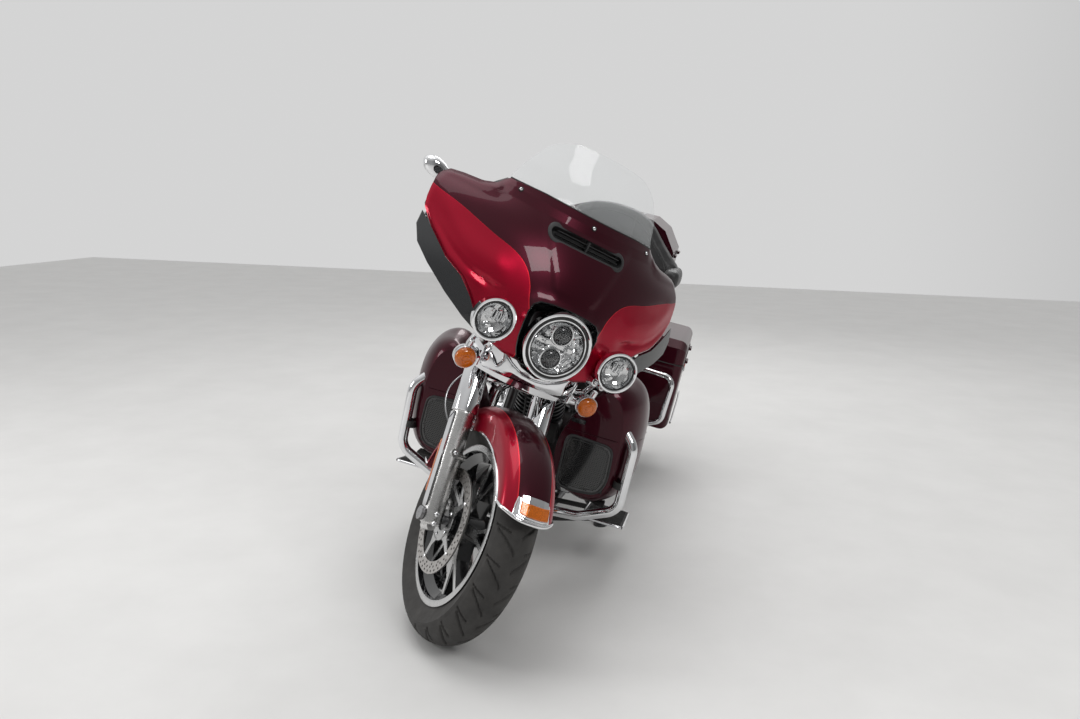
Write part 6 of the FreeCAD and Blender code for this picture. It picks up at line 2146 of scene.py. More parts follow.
@dataclass
class ForkDetail:
    """Bright strips, amber reflectors, lugs, pinch bolts, clamp bar and brake pipes of the fork."""

    leg_x: float = LAYOUT.leg_x
    slider_r: float = 31.0

    def build(self, shop: Workshop, grow: Grower) -> None:
        """Makes the fork's small pieces."""
        leg = LAYOUT.leg
        strip = [(22.0, -13.0), (34.0, -15.0), (296.0, -15.0), (296.0, 13.0), (34.0, 13.0), (22.0, 10.0)]
        up = (leg(0, 1) - leg(0, 0)).normalized()
        back = (leg(0, 0, 1) - leg(0, 0)).normalized()
        left = Shape.slab(strip, leg(self.leg_x + self.slider_r + 2.8, 0), up, back, 4.4, 1.4)
        shop.piece("slider_strips", left.both_sides(), Rig.FORK, "chrome")
        amber = Shape.slab([(66.0, 13.4), (210.0, 13.4), (214.0, 17.0), (210.0, 22.5), (66.0, 22.5),
                            (62.0, 17.0)], leg(self.leg_x + self.slider_r + 3.4, 0), up, back, 6.8, 1.6)
        shop.piece("slider_reflectors", amber.both_sides(), Rig.FORK, "amber")
        lugs, pins = Shape(), []
        for side in (1, -1):
            lugs.join(Shape.tube([leg(side * 120.0, 181, -22), leg(side * 119.0, 181, -34)], [15.0, 13.0],
                                 28))
            lugs.join(Shape.tube([leg(side * 116.0, 178, -20), leg(side * 98.0, 176, -24),
                                  leg(side * 84.0, 174, -20)], [14.0, 10.5, 8.5], 24))
            pins.append((leg(side * 119.0, 181, -34.5), tuple(-back)))
            lugs.join(Shape.tube([leg(side * 118.0, -26, -16), leg(side * 118.0, -26, 34)], 13.0, 28))
            for s in (-14.0, 12.0):
                pins.append((leg(side * 118.0, s - 6, -31.5), tuple(-back)))
            pins.append((leg(side * 106.0, -23, -2), tuple(-up)))
        shop.piece("slider_lugs", lugs, Rig.FORK, "satin")
        grow.repeat("slider_bolts", dome_head(7.2, 5.4), pins, Rig.FORK, "chrome")
        rings = Shape()
        for side in (1, -1):
            for s, r, high in ((302.0, 33.4, 4.0), (438.0, 37.8, 5.0)):
                at = leg(side * self.leg_x, s)
                rings.join(Shape.lathe([(0, r - 5), (0, r), (high * 0.5, r + 0.8), (high, r),
                                        (high, r - 5), (0, r - 5)], at, up, 48))
        shop.piece("fork_cover_rings", rings, Rig.FORK, "chrome")
        self.legs(shop, up)
        self.bar(shop, grow, up)
        self.pipes(shop)

    def legs(self, shop: Workshop, up: Vector) -> None:
        """Turned sliders and upper covers in place of the plain ones."""
        foot = LAYOUT.leg(self.leg_x, 0)
        slider = [(-24, 0), (-24, 23), (-20, 28.5), (-12, 31), (140, 31), (158, 31.8), (290, 31.8),
                  (296, 33), (301, 33), (303, 31.8), (303, 0)]
        cover = [(302, 0), (302, 35.4), (303.6, 37), (440, 37), (445, 35.8), (445, 0)]
        sliders = Shape.lathe(slider, foot, up, 96)
        covers = Shape.lathe(cover, foot, up, 96)
        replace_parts(shop.piece("fork_slider_tubes", sliders.both_sides(), Rig.FORK, "satin",
                               slot="satin_alloy"), "fork_sliders")
        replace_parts(shop.piece("fork_upper_covers", covers.both_sides(), Rig.FORK, "chrome",
                               slot="chrome"), "fork_covers")

    def bar(self, shop: Workshop, grow: Grower, up: Vector) -> None:
        """Smoked bar and satin sleeve under the nacelle, with its bolts."""
        leg = LAYOUT.leg
        bar = Shape.tube([leg(-self.leg_x + 30, 428, -22), leg(-8, 428, -26)], 9.5, 24)
        shop.piece("clamp_bar_dark", bar, Rig.FORK, "smoked_chrome")
        sleeve = Shape.tube([leg(-10, 428, -26), leg(-8, 428, -26), leg(52, 428, -26), leg(54, 428, -26)],
                            [9.0, 12.0, 12.0, 9.0], 28)
        sleeve.join(Shape.tube([leg(52, 428, -26), leg(self.leg_x - 30, 428, -22)], 8.0, 20))
        shop.piece("clamp_bar_sleeve", sleeve, Rig.FORK, "satin")
        places = ((-74, -14), (-52, -16), (-10, -18), (52, -16), (74, -14))
        spots = [(leg(x, 449.0, v), tuple(-up)) for x, v in places]
        grow.repeat("clamp_bolts", bolt_head(9.5, 12.0), spots, Rig.FORK, "chrome")

    def pipes(self, shop: Workshop) -> None:
        """Brake pipes in black rubber from the clamps down to the calipers, and the grey sensor lead's
        loop.
        """
        leg = LAYOUT.leg
        pipes = Shape()
        for side in (1, -1):
            path = [leg(side * 62, 446, 30), leg(side * 84, 400, 40), leg(side * 92, 300, 46),
                    leg(side * 96, 215, 62), leg(side * 92, 186, 66)]
            pipes.join(Shape.tube(rounded_path(path, 30), 3.0, 10))
        shop.piece("brake_pipes", pipes, Rig.FORK, "rubber")
        loop = [leg(-128, 432, 30), leg(-152, 402, 34), leg(-172, 366, 30), leg(-176, 330, 26),
                leg(-166, 296, 24), leg(-148, 268, 22)]
        shop.piece("sensor_pipe", Shape.tube(rounded_path(loop, 26), 2.2, 10), Rig.FORK, "steel")


@dataclass
class Nacelle:
    """Bright swept cover under the headlamp, with a flame-shaped opening beside each leg."""

    half: tuple[tuple[float, float], ...] = (
        (0.0, 772.0), (20.0, 773.6), (40.0, 777.0), (57.0, 783.0), (75.0, 791.0), (92.0, 802.6),
        (108.0, 813.0), (122.0, 820.0), (134.0, 822.0), (144.0, 818.0), (151.0, 808.0), (156.0, 790.0),
        (158.0, 765.0), (156.0, 744.0), (150.0, 733.0), (140.0, 728.0), (114.0, 730.5), (93.0, 732.0),
        (55.0, 735.5), (0.0, 737.0))
    flame: tuple[tuple[float, float], ...] = (
        (126.0, 812.0), (136.0, 808.0), (143.0, 797.0), (141.0, 784.0), (131.0, 775.0), (122.0, 767.0),
        (114.0, 758.0), (109.5, 770.0), (107.0, 782.0), (110.0, 795.0), (117.0, 806.0))

    def depth(self, spots: np.ndarray) -> np.ndarray:
        """Bowed band with rolled edges and a proud middle."""
        side, z = np.abs(spots[:, 0]), spots[:, 1]
        centre = np.interp(z, [700.0, 760.0, 830.0], [-708.0, -722.0, -730.0])
        tip = np.interp(z, [700.0, 760.0, 830.0], [-250.0, -264.0, -272.0])
        plain = centre + (tip - centre) * (side / 445.0) ** 2
        _, gap = Outline(both_halves(self.half)).nearest(spots)
        _, near = Outline(self.flame).nearest(np.stack([side, z], axis=1))
        roll = 9.0 * ramp(gap, 11.0, 0.0) ** 2 + 5.0 * ramp(near, 6.0, 0.0) ** 2
        swell = -7.0 * ramp(gap, 0.0, 24.0) - 5.0 * ramp(side, 60.0, 110.0) * ramp(gap, 0.0, 14.0)
        return plain + roll + swell - 2.0

    def build(self, shop: Workshop, grow: Grower) -> None:
        """Makes the cover over the plain one's band."""
        flame = list(self.flame)
        mirror = [(-x, z) for x, z in reversed(flame)]
        shell = pressed_panel(both_halves(self.half), [flame, mirror], self.depth, 3.0, 2.6)
        shop.piece("nacelle_swept_cover", shell, Rig.FORK, "chrome", sharp=60.0)
        cheeks = Shape()
        for side in (1, -1):
            path = [(side * 154, -664, 742), (side * 158, -640, 752), (side * 159, -606, 756)]
            cheeks.join(Shape.tube(rounded_path(path, 20), [16.0] * 11, 24))
        shop.piece("nacelle_cheeks", cheeks, Rig.FORK, "chrome")
        x, z = 149.0, 752.0
        y = float(self.depth(np.array([[x, z]]))[0]) - 0.5
        spots = [((side * x, y, z), (side * 0.25, -1, 0)) for side in (1, -1)]
        grow.repeat("nacelle_screws", dome_head(4.6, 3.4), spots, Rig.FORK, "steel")


@dataclass
class Mirrors:
    """Teardrop mirror shells with their glass and arms."""

    outline: tuple[tuple[float, float], ...] = (
        (327.0, 1120.0), (332.0, 1113.0), (350.0, 1110.5), (385.0, 1112.0), (420.0, 1117.0),
        (444.0, 1127.0), (455.0, 1140.0), (458.0, 1153.0), (453.0, 1166.0), (440.0, 1174.0),
        (420.0, 1176.0), (395.0, 1170.0), (365.0, 1153.0), (340.0, 1133.0))
    middle: tuple[float, float] = (400.0, 1143.0)

    def build(self, shop: Workshop, grow: Grower) -> None:
        """Makes shells, glass and arms."""
        loop = rounded_path([(x, 0, z) for x, z in self.outline + self.outline[:1]], 9.0, 4)[:-1]
        rows = []
        for y, share in ((-272.0, 0.95), (-271.0, 0.985), (-273.0, 1.0), (-281.0, 1.0), (-291.0, 0.95),
                         (-299.0, 0.84), (-304.5, 0.66), (-307.6, 0.40), (-308.0, 0.12)):
            rows.append([(self.middle[0] + (p.x - self.middle[0]) * share, y,
                          self.middle[1] + (p.z - self.middle[1]) * share) for p in loop])
        shell = Shape.loft(rows)
        shell.join(Shape.tube([(400, -287, 1128), (399, -320, 1116), (396, -380, 1111), (385, -452, 1110)],
                              [9.0, 8.0, 8.0, 9.5], 20))
        shell.join(Shape.lathe([(-6, 0), (-6, 16), (0, 15), (4, 10), (4, 0)], (387, -446, 1110),
                               (0.05, 1, 0), 28))
        piece = shop.piece("mirror_shells", shell.both_sides(), Rig.FORK, "chrome", sharp=50.0,
                           slot="chrome")
        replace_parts(piece, "mirrors")
        glass = Shape.slab([(self.middle[0] + (p.x - self.middle[0]) * 0.94,
                             self.middle[1] + (p.z - self.middle[1]) * 0.94) for p in loop],
                           (0, -271.4, 0), LEFT, UP, 2.0)
        shop.piece("mirror_glasses", glass.both_sides(), Rig.FORK, "mirror_glass")


@dataclass
class LowerFairingTrim:
    """Grille frames, perforated grilles, seams and vent flaps of the leg shields."""

    face_y: float = -448.0
    corners: tuple[tuple[float, float], ...] = ((158.0, 552.0), (308.0, 544.0), (313.0, 430.0),
                                                (292.0, 384.0), (215.0, 374.0), (158.0, 380.0))

    def outline(self, shrink: float) -> list[tuple[float, float]]:
        """Rounded grille outline drawn in by a margin."""
        middle = Vector((236.0, 0, 462.0))
        spots = []
        for x, z in self.corners + self.corners[:1]:
            away = Vector((x, 0, z)) - middle
            spots.append(middle + away * (1 - shrink / away.length))
        start = (spots[0] + spots[1]) / 2
        path = rounded_path([start] + spots[1:-1] + [spots[0], start], 30.0, 7)[:-1]
        return [(p.x, p.z) for p in path]

    def build(self, shop: Workshop, grow: Grower) -> None:
        """Makes both sides."""
        rim = self.outline(0.0)
        frame = Shape.tube([(x, self.face_y - 0.6, z) for x, z in rim], 4.2, 12, closed=True)
        inner = Shape.tube([(x, self.face_y - 1.6, z) for x, z in self.outline(13.0)], 1.3, 8, closed=True)
        shop.piece("grille_frames", frame.join(inner).both_sides(), Rig.CHASSIS, "black_plastic",
                   slot="black_plastic")
        hull = Outline(self.outline(9.0))
        pitch = 6.0
        holes = [(160.0 + pitch * (column + row % 2 / 2), 376.0 + pitch * row)
                 for row in range(30) for column in range(27)]
        inside = hull.inside(np.array(holes))
        holes = [hole for hole, keep in zip(holes, inside) if keep]
        for side in (1, -1):
            flat = [(side * x, z) for x, z in rim]
            spots = [(side * x, z) for x, z in holes]
            grow.plate("grille_mesh_left" if side > 0 else "grille_mesh_right", [flat], spots, 2.0, 1.2,
                       (0, self.face_y - 0.9, 0), LEFT, UP, Rig.CHASSIS, "gloss_black")
        backs = Shape.slab(rim, (0, self.face_y + 0.8, 0), LEFT, UP, 1.0)
        shop.piece("grille_backs", backs.both_sides(), Rig.CHASSIS, "dial_black")
        seam = rounded_path([(152, -449.4, 568), (310, -449.4, 567), (327, -444, 567), (341, -433, 567),
                             (363, -401, 567), (383, -346, 567), (386.4, -252, 567)], 16.0)
        shop.piece("glove_box_seams", Shape.tube(seam, 1.5, 8).both_sides(), Rig.CHASSIS, "paint_dark")
        flap = Shape.slab([(-21, -7), (21, -7), (24, 0), (21, 7), (-21, 7), (-24, 0)], (182, -449.6, 600),
                          LEFT, UP, 4.0, 1.4)
        shop.piece("glove_box_latches",
                   flap.moved(lambda p: Vector((p.x, -899.2 - p.y, p.z))).both_sides(), Rig.CHASSIS,
                   "gloss_black")
        clamps = Shape()
        for side in (1, -1):
            for at, way in (((95, -420.5, 272), (1, 0.0, 0.1)), ((352, -431, 430), UP)):
                clamps.join(Shape.lathe([(-11, 16.2), (-11, 19.4), (11, 19.4), (11, 16.2), (-11, 16.2)],
                                        (side * at[0], at[1], at[2]), (side * way[0], way[1], way[2]), 30))
        shop.piece("guard_clamps", clamps, Rig.CHASSIS, "rubber")


@dataclass
class Cockpit:
    """Dials, display, speakers, switches, grip ribs and lever pivots."""

    face: float = -440.0

    def numerals(self, marks: Sequence[tuple[str, float, float]], size: float) -> Shape:
        """Plain dial numbers as a shape on the dash face.

        Args:
            marks: Text with its x and z.
            size: Letter height in millimetres.

        Returns:
            The joined numbers, reading from the rider's side.
        """
        made = Shape()
        for text, x, z in marks:
            curve = bpy.data.curves.new("numeral", "FONT")
            curve.body, curve.size, curve.extrude = text, size, 0.15
            curve.align_x, curve.align_y = "CENTER", "CENTER"
            holder = bpy.data.objects.new("numeral", curve)
            bpy.context.scene.collection.objects.link(holder)
            bpy.context.view_layer.update()
            graph = bpy.context.evaluated_depsgraph_get()
            mesh = bpy.data.meshes.new_from_object(holder.evaluated_get(graph), depsgraph=graph)
            bpy.data.objects.remove(holder)
            made.add([(x - p.co.x, self.face + 7.2 + p.co.z, z + p.co.y) for p in mesh.vertices],
                     [tuple(face.vertices) for face in mesh.polygons])
        return made

    def dials(self, shop: Workshop, grow: Grower) -> None:
        """Two large and four small dials with rings, faces, ticks, numbers, needles and glass."""
        rings, faces, glass, needles, numbers = Shape(), Shape(), Shape(), Shape(), Shape()
        ticks = []
        back = BACK
        dials = [(54.0, 1172.0, 46.0), (-54.0, 1172.0, 46.0)]
        dials += [(side * x, z, 25.0) for side in (1, -1) for x, z in ((134.0, 1187.0), (192.0, 1176.0))]
        for k, (x, z, r) in enumerate(dials):
            at = (x, self.face, z)
            rings.join(Shape.lathe([(0, r + 3), (9, r + 2), (11.5, r - 1), (10.5, r - 3.5), (3, r - 4),
                                    (0, r + 3)], at, back, 56))
            faces.join(Shape.lathe([(1, 0), (1, r - 1), (6.4, r - 1), (6.4, 0)], at, back, 48))
            glass.join(Shape.lathe([(8.2, 0), (8.2, r - 3.4), (9.4, r - 3.4), (9.8, 0)], at, back, 48))
            count = 41 if k < 2 else 13
            for i in range(count):
                a = math.radians(-135.0 + 270.0 * i / (count - 1))
                reach = r * (0.84 if i % 2 else 0.80)
                ticks.append(((x - math.sin(a) * reach, self.face + 6.4, z + math.cos(a) * reach), BACK))
            a = math.radians(-118.0 if k < 2 else -20.0)
            tip = Vector((x - math.sin(a) * r * 0.74, self.face + 7.8, z + math.cos(a) * r * 0.74))
            needles.join(Shape.tube([(x, self.face + 7.8, z), tip], [1.5, 0.5], 6))
            needles.join(Shape.lathe([(6, 0), (6, r * 0.10), (9, r * 0.08), (9, 0)], at, back, 20))
        for x, top, step in ((54.0, 120, 20), (-54.0, 8, 1)):
            marks = []
            for i in range(top // step + 1):
                a = math.radians(-135.0 + 270.0 * i * step / top)
                marks.append((str(i * step), x - math.sin(a) * 28.0, 1172.0 + math.cos(a) * 28.0))
            numbers.join(self.numerals(marks, 7.5))
        shop.piece("dial_rings", rings, Rig.FORK, "chrome")
        shop.piece("dial_faces", faces, Rig.FORK, "dial_black")
        shop.piece("dial_numbers", numbers, Rig.FORK, "dial_white")
        shop.piece("dial_needles", needles, Rig.FORK, "needle")
        shop.piece("dial_glasses", glass, Rig.FORK, "lamp_glass")
        grow.repeat("dial_ticks", Shape.lathe([(0, 0), (0, 0.8), (0.3, 0.8), (0.3, 0)], ORIGIN, UP, 8),
                    ticks, Rig.FORK, "dial_white")

    def dash(self, shop: Workshop, grow: Grower) -> None:
        """Display, speakers and buttons of the dash."""
        ring = rounded_path([(0, 0, 46), (84, 0, 46), (84, 0, -40), (-84, 0, -40), (-84, 0, 46),
                             (0, 0, 46)], 12.0)[:-1]
        box = [(p.x, p.z) for p in ring]
        frame = Shape.slab([(-x, z) for x, z in box], (0, self.face - 1, 1074), RIGHT, UP, 9.0, 2.5)
        shop.piece("display_housing", frame, Rig.FORK, "black_plastic")
        shop.piece("display_glass", Shape.slab([(-x * 0.86, z * 0.80) for x, z in box],
                                               (0, self.face + 7.6, 1076), RIGHT, UP, 1.2, 0.3), Rig.FORK,
                   "gloss_black")
        keys = [((x, self.face + 7.6, 1038.5), BACK) for x in np.linspace(-62, 62, 6)]
        keys += [((side * 77.5, self.face + 7.6, z), BACK) for side in (1, -1) for z in (1062, 1078, 1094)]
        grow.repeat("display_keys", Shape.lathe([(0, 0), (0, 3.6), (2.2, 3.2), (2.8, 0)], ORIGIN, UP, 16),
                    keys, Rig.FORK, "rubber")
        rims = Shape()
        circle = [(60.0 * math.cos(math.pi * i / 30), 60.0 * math.sin(math.pi * i / 30)) for i in range(60)]
        holes = [(r * math.cos(2 * math.pi * i / n), r * math.sin(2 * math.pi * i / n))
                 for r, n in ((6, 6), (12, 12), (18, 18), (24, 24), (30, 30), (36, 36), (42, 42), (48, 48))
                 for i in range(n)]
        for side in (1, -1):
            at = (side * 262.0, self.face, 1084.0)
            rims.join(Shape.lathe([(-1, 66), (6, 65), (8, 61), (6, 57), (-1, 56), (-1, 66)], at, BACK, 56))
            grow.plate("speaker_grille_left" if side > 0 else "speaker_grille_right", [circle], holes, 1.9,
                       1.4, (at[0], self.face + 3.0, at[2]), RIGHT, UP, Rig.FORK, "black_plastic")
        shop.piece("speaker_rims", rims, Rig.FORK, "black_plastic")
        shop.piece("speaker_cones", Shape.lathe([(-0.5, 0), (-0.5, 57), (1.6, 57), (0.6, 20), (0.6, 0)],
                                                (262, self.face, 1084), BACK, 40).both_sides(), Rig.FORK,
                   "dial_black")

    def controls(self, shop: Workshop, grow: Grower) -> None:
        """Grip ribs, switch keys, fluid reservoirs and lever pivots."""
        inner, end = Vector((223, -384, 1027)), Vector((378, -322, 1010))
        along = (end - inner).normalized()
        spots = []
        for side in (1, -1):
            for k in range(13):
                at = inner + along * (64 + 8.0 * k)
                spots.append(((side * at.x, at.y, at.z), (side * along.x, along.y, along.z)))
        rib = Shape.lathe([(-2.2, 17.0), (-1.6, 18.9), (1.6, 18.9), (2.2, 17.0), (-2.2, 17.0)], ORIGIN, UP,
                          28)
        grow.repeat("grip_ribs", rib, spots, Rig.FORK, "rubber")
        ends = Shape.lathe([(-3, 0), (-3, 19.6), (3, 20.4), (8, 16), (10, 0)], end + along * 6, along, 28)
        shop.piece("grip_ends", ends.both_sides(), Rig.FORK, "chrome")
        caps = Shape()
        at = inner + along * 33
        caps.join(Shape.slab(oblong(26, 16), at + Vector((0, -30, 16)), along, Vector(BACK), 15, 3))
        shop.piece("fluid_reservoirs", caps.both_sides(), Rig.FORK, "gloss_black")
        screws = [((side * (at + along * dx).x, (at + along * dx).y - 30 + dy, (at + along * dx).z + 31),
                   UP) for side in (1, -1) for dx in (-19, 19) for dy in (-9, 9)]
        grow.repeat("reservoir_screws", dome_head(3.4, 2.4), screws, Rig.FORK, "chrome")
        keys = [((side * (inner + along * d).x, (inner + along * d).y + 22, (inner + along * d).z + h),
                 (0, 0.95, 0.3)) for side in (1, -1) for d in (18, 33, 48) for h in (-4, 9)]
        grow.repeat("switch_keys", Shape.slab(oblong(4.5, 3), DOWN, LEFT, BACK, 4.5, 1.0),
                    keys, Rig.FORK, "black_plastic")
        ahead = Vector((along.y, -along.x, 0)).normalized()
        perch = inner + along * 30 + ahead * 50
        bolts = [((side * perch.x, perch.y, perch.z + 8), UP) for side in (1, -1)]
        grow.repeat("lever_pivots", bolt_head(5.5, 4.0), bolts, Rig.FORK, "chrome")
        lines = Shape()
        for side in (1, -1):
            path = [(side * 205, -396, 1016), (side * 150, -432, 1000), (side * 96, -452, 960),
                    (side * 70, -470, 900), (side * 62, -500, 840)]
            lines.join(Shape.tube(rounded_path(path, 40), 4.5, 12))
        shop.piece("control_pipes", lines, Rig.FORK, "rubber")

    def build(self, shop: Workshop, grow: Grower) -> None:
        """Makes the whole cockpit."""
        self.dials(shop, grow)
        self.dash(shop, grow)
        self.controls(shop, grow)


@dataclass
class Upholstery:
    """Leather saddle, passenger pad and wrap-around backrest, each inflated as cloth and then piped."""

    rider: tuple[tuple[float, ...], ...] = (
        (126.0, 66.0, 838.0, 772.0, 800.0), (170.0, 112.0, 797.0, 744.0, 768.0),
        (214.0, 142.0, 767.0, 706.0, 736.0), (260.0, 159.0, 747.0, 678.0, 712.0),
        (320.0, 172.0, 738.0, 670.0, 706.0), (380.0, 177.0, 739.0, 670.0, 706.0),
        (430.0, 180.0, 757.0, 672.0, 714.0), (462.0, 178.0, 790.0, 676.0, 730.0),
        (484.0, 172.0, 812.0, 690.0, 748.0))
    passenger: tuple[tuple[float, ...], ...] = (
        (492.0, 168.0, 820.0, 690.0, 752.0), (512.0, 179.0, 842.0, 680.0, 760.0),
        (560.0, 177.0, 847.0, 688.0, 770.0), (620.0, 168.0, 840.0, 700.0, 774.0),
        (680.0, 155.0, 832.0, 718.0, 778.0), (726.0, 122.0, 822.0, 736.0, 782.0))
    back: tuple[tuple[float, float], ...] = (
        (0.0, 1226.0), (60.0, 1222.0), (104.0, 1212.0), (150.0, 1192.0), (191.0, 1157.0), (231.0, 1112.0),
        (276.0, 1064.0), (316.0, 1024.0), (334.0, 985.0), (337.0, 945.0), (325.0, 922.0), (290.0, 914.0),
        (160.0, 906.0), (100.0, 888.0), (0.0, 884.0))
    arm: tuple[tuple[float, ...], ...] = (
        (556.0, 292.0, 26.0, 970.0, 28.0), (574.0, 298.0, 33.0, 972.0, 36.0),
        (620.0, 301.0, 35.0, 974.0, 38.0), (680.0, 303.0, 35.0, 976.0, 40.0),
        (722.0, 302.0, 32.0, 976.0, 38.0))
    pressure: float = 4.0
    frames: int = 20

    def saddle(self, rows: Sequence[Sequence[float]]) -> Shape:
        """Rounded pad through sections of place, half width, top, bottom and shoulder height."""
        rings = []
        for y, half, top, low, shoulder in rows:
            ring = []
            for i in range(32):
                a = 2 * math.pi * i / 32
                c, s = math.cos(a), math.sin(a)
                x = half * signed_power(c, 0.55)
                high = (top - shoulder) if s > 0 else (shoulder - low)
                z = shoulder + high * signed_power(s, 0.62)
                ring.append((x, y, z))
            rings.append(ring)
        return Shape.loft(rings)

    def shell(self) -> Shape:
        """Wide backrest with its wings wrapped forward."""
        outline = both_halves(self.back)
        rings = []
        middle = Vector((0, 0, 1020.0))
        for y, share in ((731.0, 0.93), (722.0, 0.985), (700.0, 1.0), (672.0, 0.975), (660.0, 0.92)):
            ring = []
            for x, z in outline:
                spot = middle + (Vector((x, 0, z)) - middle) * share
                if y < 700:
                    wrap = -46.0 * max(0.0, (abs(spot.x) - 150.0) / 190.0) ** 1.3 * 0.9
                else:
                    wrap = -14.0 * (abs(spot.x) / 337.0) ** 2
                ring.append((spot.x, y + wrap, spot.z))
            rings.append(ring)
        return Shape.loft(rings)

    def inflate(self, piece: bpy.types.Object, voxel: float, cap: float) -> None:
        """Remeshes a pad, swells it as cloth and smooths it.

        Args:
            piece: Pad whose mesh is swapped for the swollen one.
            voxel: Remesh size in metres.
            cap: Longest way a point may move, in metres.
        """
        remesh = piece.modifiers.new("remesh", "REMESH")
        remesh.mode, remesh.voxel_size = "VOXEL", voxel
        self.bake(piece)
        rest = np.array([tuple(vertex.co) for vertex in piece.data.vertices])
        cloth = piece.modifiers.new("swell", "CLOTH")
        cloth.settings.use_pressure = True
        cloth.settings.uniform_pressure_force = self.pressure
        cloth.settings.effector_weights.gravity = 0.0
        cloth.point_cache.frame_start, cloth.point_cache.frame_end = 1, self.frames
        for frame in range(1, self.frames + 1):
            bpy.context.scene.frame_set(frame)
        self.bake(piece)
        bpy.context.scene.frame_set(1)
        now = np.array([tuple(vertex.co) for vertex in piece.data.vertices])
        step = now - rest
        reach = np.linalg.norm(step, axis=1, keepdims=True)
        now = rest + step * np.minimum(1.0, cap / np.maximum(reach, 1e-9))
        piece.data.vertices.foreach_set("co", now.ravel())
        smooth = piece.modifiers.new("smooth", "SMOOTH")
        smooth.factor, smooth.iterations = 0.5, 6
        divide = piece.modifiers.new("divide", "SUBSURF")
        divide.levels = divide.render_levels = 1
        self.bake(piece)
        piece.data.shade_smooth()

    @staticmethod
    def bake(piece: bpy.types.Object) -> None:
        """Swaps a piece's mesh for its evaluated one and drops its modifiers."""
        bpy.context.view_layer.update()
        graph = bpy.context.evaluated_depsgraph_get()
        mesh = bpy.data.meshes.new_from_object(piece.evaluated_get(graph), depsgraph=graph)
        old = piece.data
        material = old.materials[0]
        piece.modifiers.clear()
        piece.data = mesh
        mesh.name = piece.name
        mesh.materials.clear()
        mesh.materials.append(material)
        bpy.data.meshes.remove(old)

    def laid(self, shop: Workshop, piece: bpy.types.Object, path: Sequence[Point], way: Point,
             sink: float) -> list[Vector]:
        """Points of a path dropped onto a pad along a direction, in upright millimetres.

        Args:
            shop: Gives the placement.
            piece: Pad to land on.
            path: Points on or above the pad.
            way: Direction towards the pad.
            sink: How deep the line lies below the surface.

        Returns:
            The points that met the pad.
        """
        matrix = shop.placer.matrices[Rig.CHASSIS]
        back = matrix.inverted()
        tree = BVHTree.FromPolygons([vertex.co for vertex in piece.data.vertices],
                                    [tuple(face.vertices) for face in piece.data.polygons])
        down = Vector(way).normalized()
        aim = shop.placer.direction(Rig.CHASSIS, down)
        found = []
        for spot in path:
            start = matrix @ (Vector(spot) - down * 160.0)
            hit = tree.ray_cast(start, aim, 0.5)[0]
            if hit is not None:
                found.append(back @ hit + down * sink)
        return found

    def piping(self, shop: Workshop, grow: Grower, pads: dict[str, bpy.types.Object]) -> None:
        """Welts, panel seams and stitches on the swollen pads."""
        welts, stitches = Shape(), []
        lines = []
        above, ahead = 900.0, 560.0
        for name, rows in (("rider_seat_pad", self.rider), ("passenger_seat_pad", self.passenger)):
            for side in (1, -1):
                lines.append((name, [(side * half * 0.60, y, above) for y, half, *_ in rows[1:-1]], DOWN))
            y = rows[-2][0] if name == "rider_seat_pad" else rows[1][0]
            reach = rows[-2][1] * 0.86
            lines.append((name, [(x, y, above) for x in np.linspace(-reach, reach, 26)], DOWN))
        outline = both_halves(self.back)
        share, middle = 0.80, 1020.0
        ring = [(x * share, ahead, middle + (z - middle) * share) for x, z in outline + outline[:1]]
        lines.append(("backrest_pad", ring, BACK))
        for half in (-92.0, 92.0):
            seam = [(half, ahead, z) for z in np.linspace(905.0, 1190.0, 30)]
            lines.append(("backrest_pad", seam, BACK))
        for name, path, way in lines:
            dense = rounded_path(path, 30.0, 6) if len(path) > 2 else path
            spots = self.laid(shop, pads[name], dense, way, 0.6)
            if len(spots) > 3:
                welts.join(Shape.tube(spots, 2.4, 8))
                run = 0.0
                for a, b in zip(spots, spots[1:]):
                    run += (b - a).length
                    if run > 7.0:
                        run = 0.0
                        side = (b - a).normalized().cross(Vector(way)) * 6.0
                        stitches.append((b + side, tuple(-Vector(way))))
        shop.piece("seat_welts", welts, Rig.CHASSIS, "leather")
        bead = Shape.lathe([(-0.6, 0), (-0.6, 1.5), (0.5, 1.3), (0.9, 0)], ORIGIN, UP, 6)
        grow.repeat("seat_stitches", bead, stitches, Rig.CHASSIS, "rubber")

    def build(self, shop: Workshop, grow: Grower) -> None:
        """Makes, swells and pipes every pad."""
        pads = {}
        arm = []
        for y, x, wide, z, high in self.arm:
            arm.append([(x + wide * signed_power(math.cos(a), 0.6), y,
                         z + high * signed_power(math.sin(a), 0.6))
                        for a in circle_angles(28)])
        for name, shape, voxel, cap, fill in (
                ("rider_seat_pad", self.saddle(self.rider), 0.006, 0.008, 0.75),
                ("passenger_seat_pad", self.saddle(self.passenger), 0.006, 0.008, 0.75),
                ("backrest_pad", self.shell(), 0.006, 0.009, 0.8),
                ("arm_pads", Shape.loft(arm).both_sides(), 0.006, 0.005, 0.8)):
            piece = shop.piece(name, shape, Rig.CHASSIS, "leather", slot="leather")
            self.inflate(piece, voxel, cap)
            pads[name] = piece
        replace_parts(pads["rider_seat_pad"], "seat")
        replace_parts(pads["backrest_pad"], "backrest")
        self.piping(shop, grow, pads)
        posts = Shape.tube([(96, 736, 930), (96, 744, 930)], 15.0, 24)
        posts.join(Shape.tube([(0, 728, 1010), (0, 745, 1010)], 60.0, 40))
        shop.piece("backrest_posts", posts.join(Shape.tube([(-96, 736, 930), (-96, 744, 930)], 15.0, 24)),
                   Rig.CHASSIS, "black_plastic")


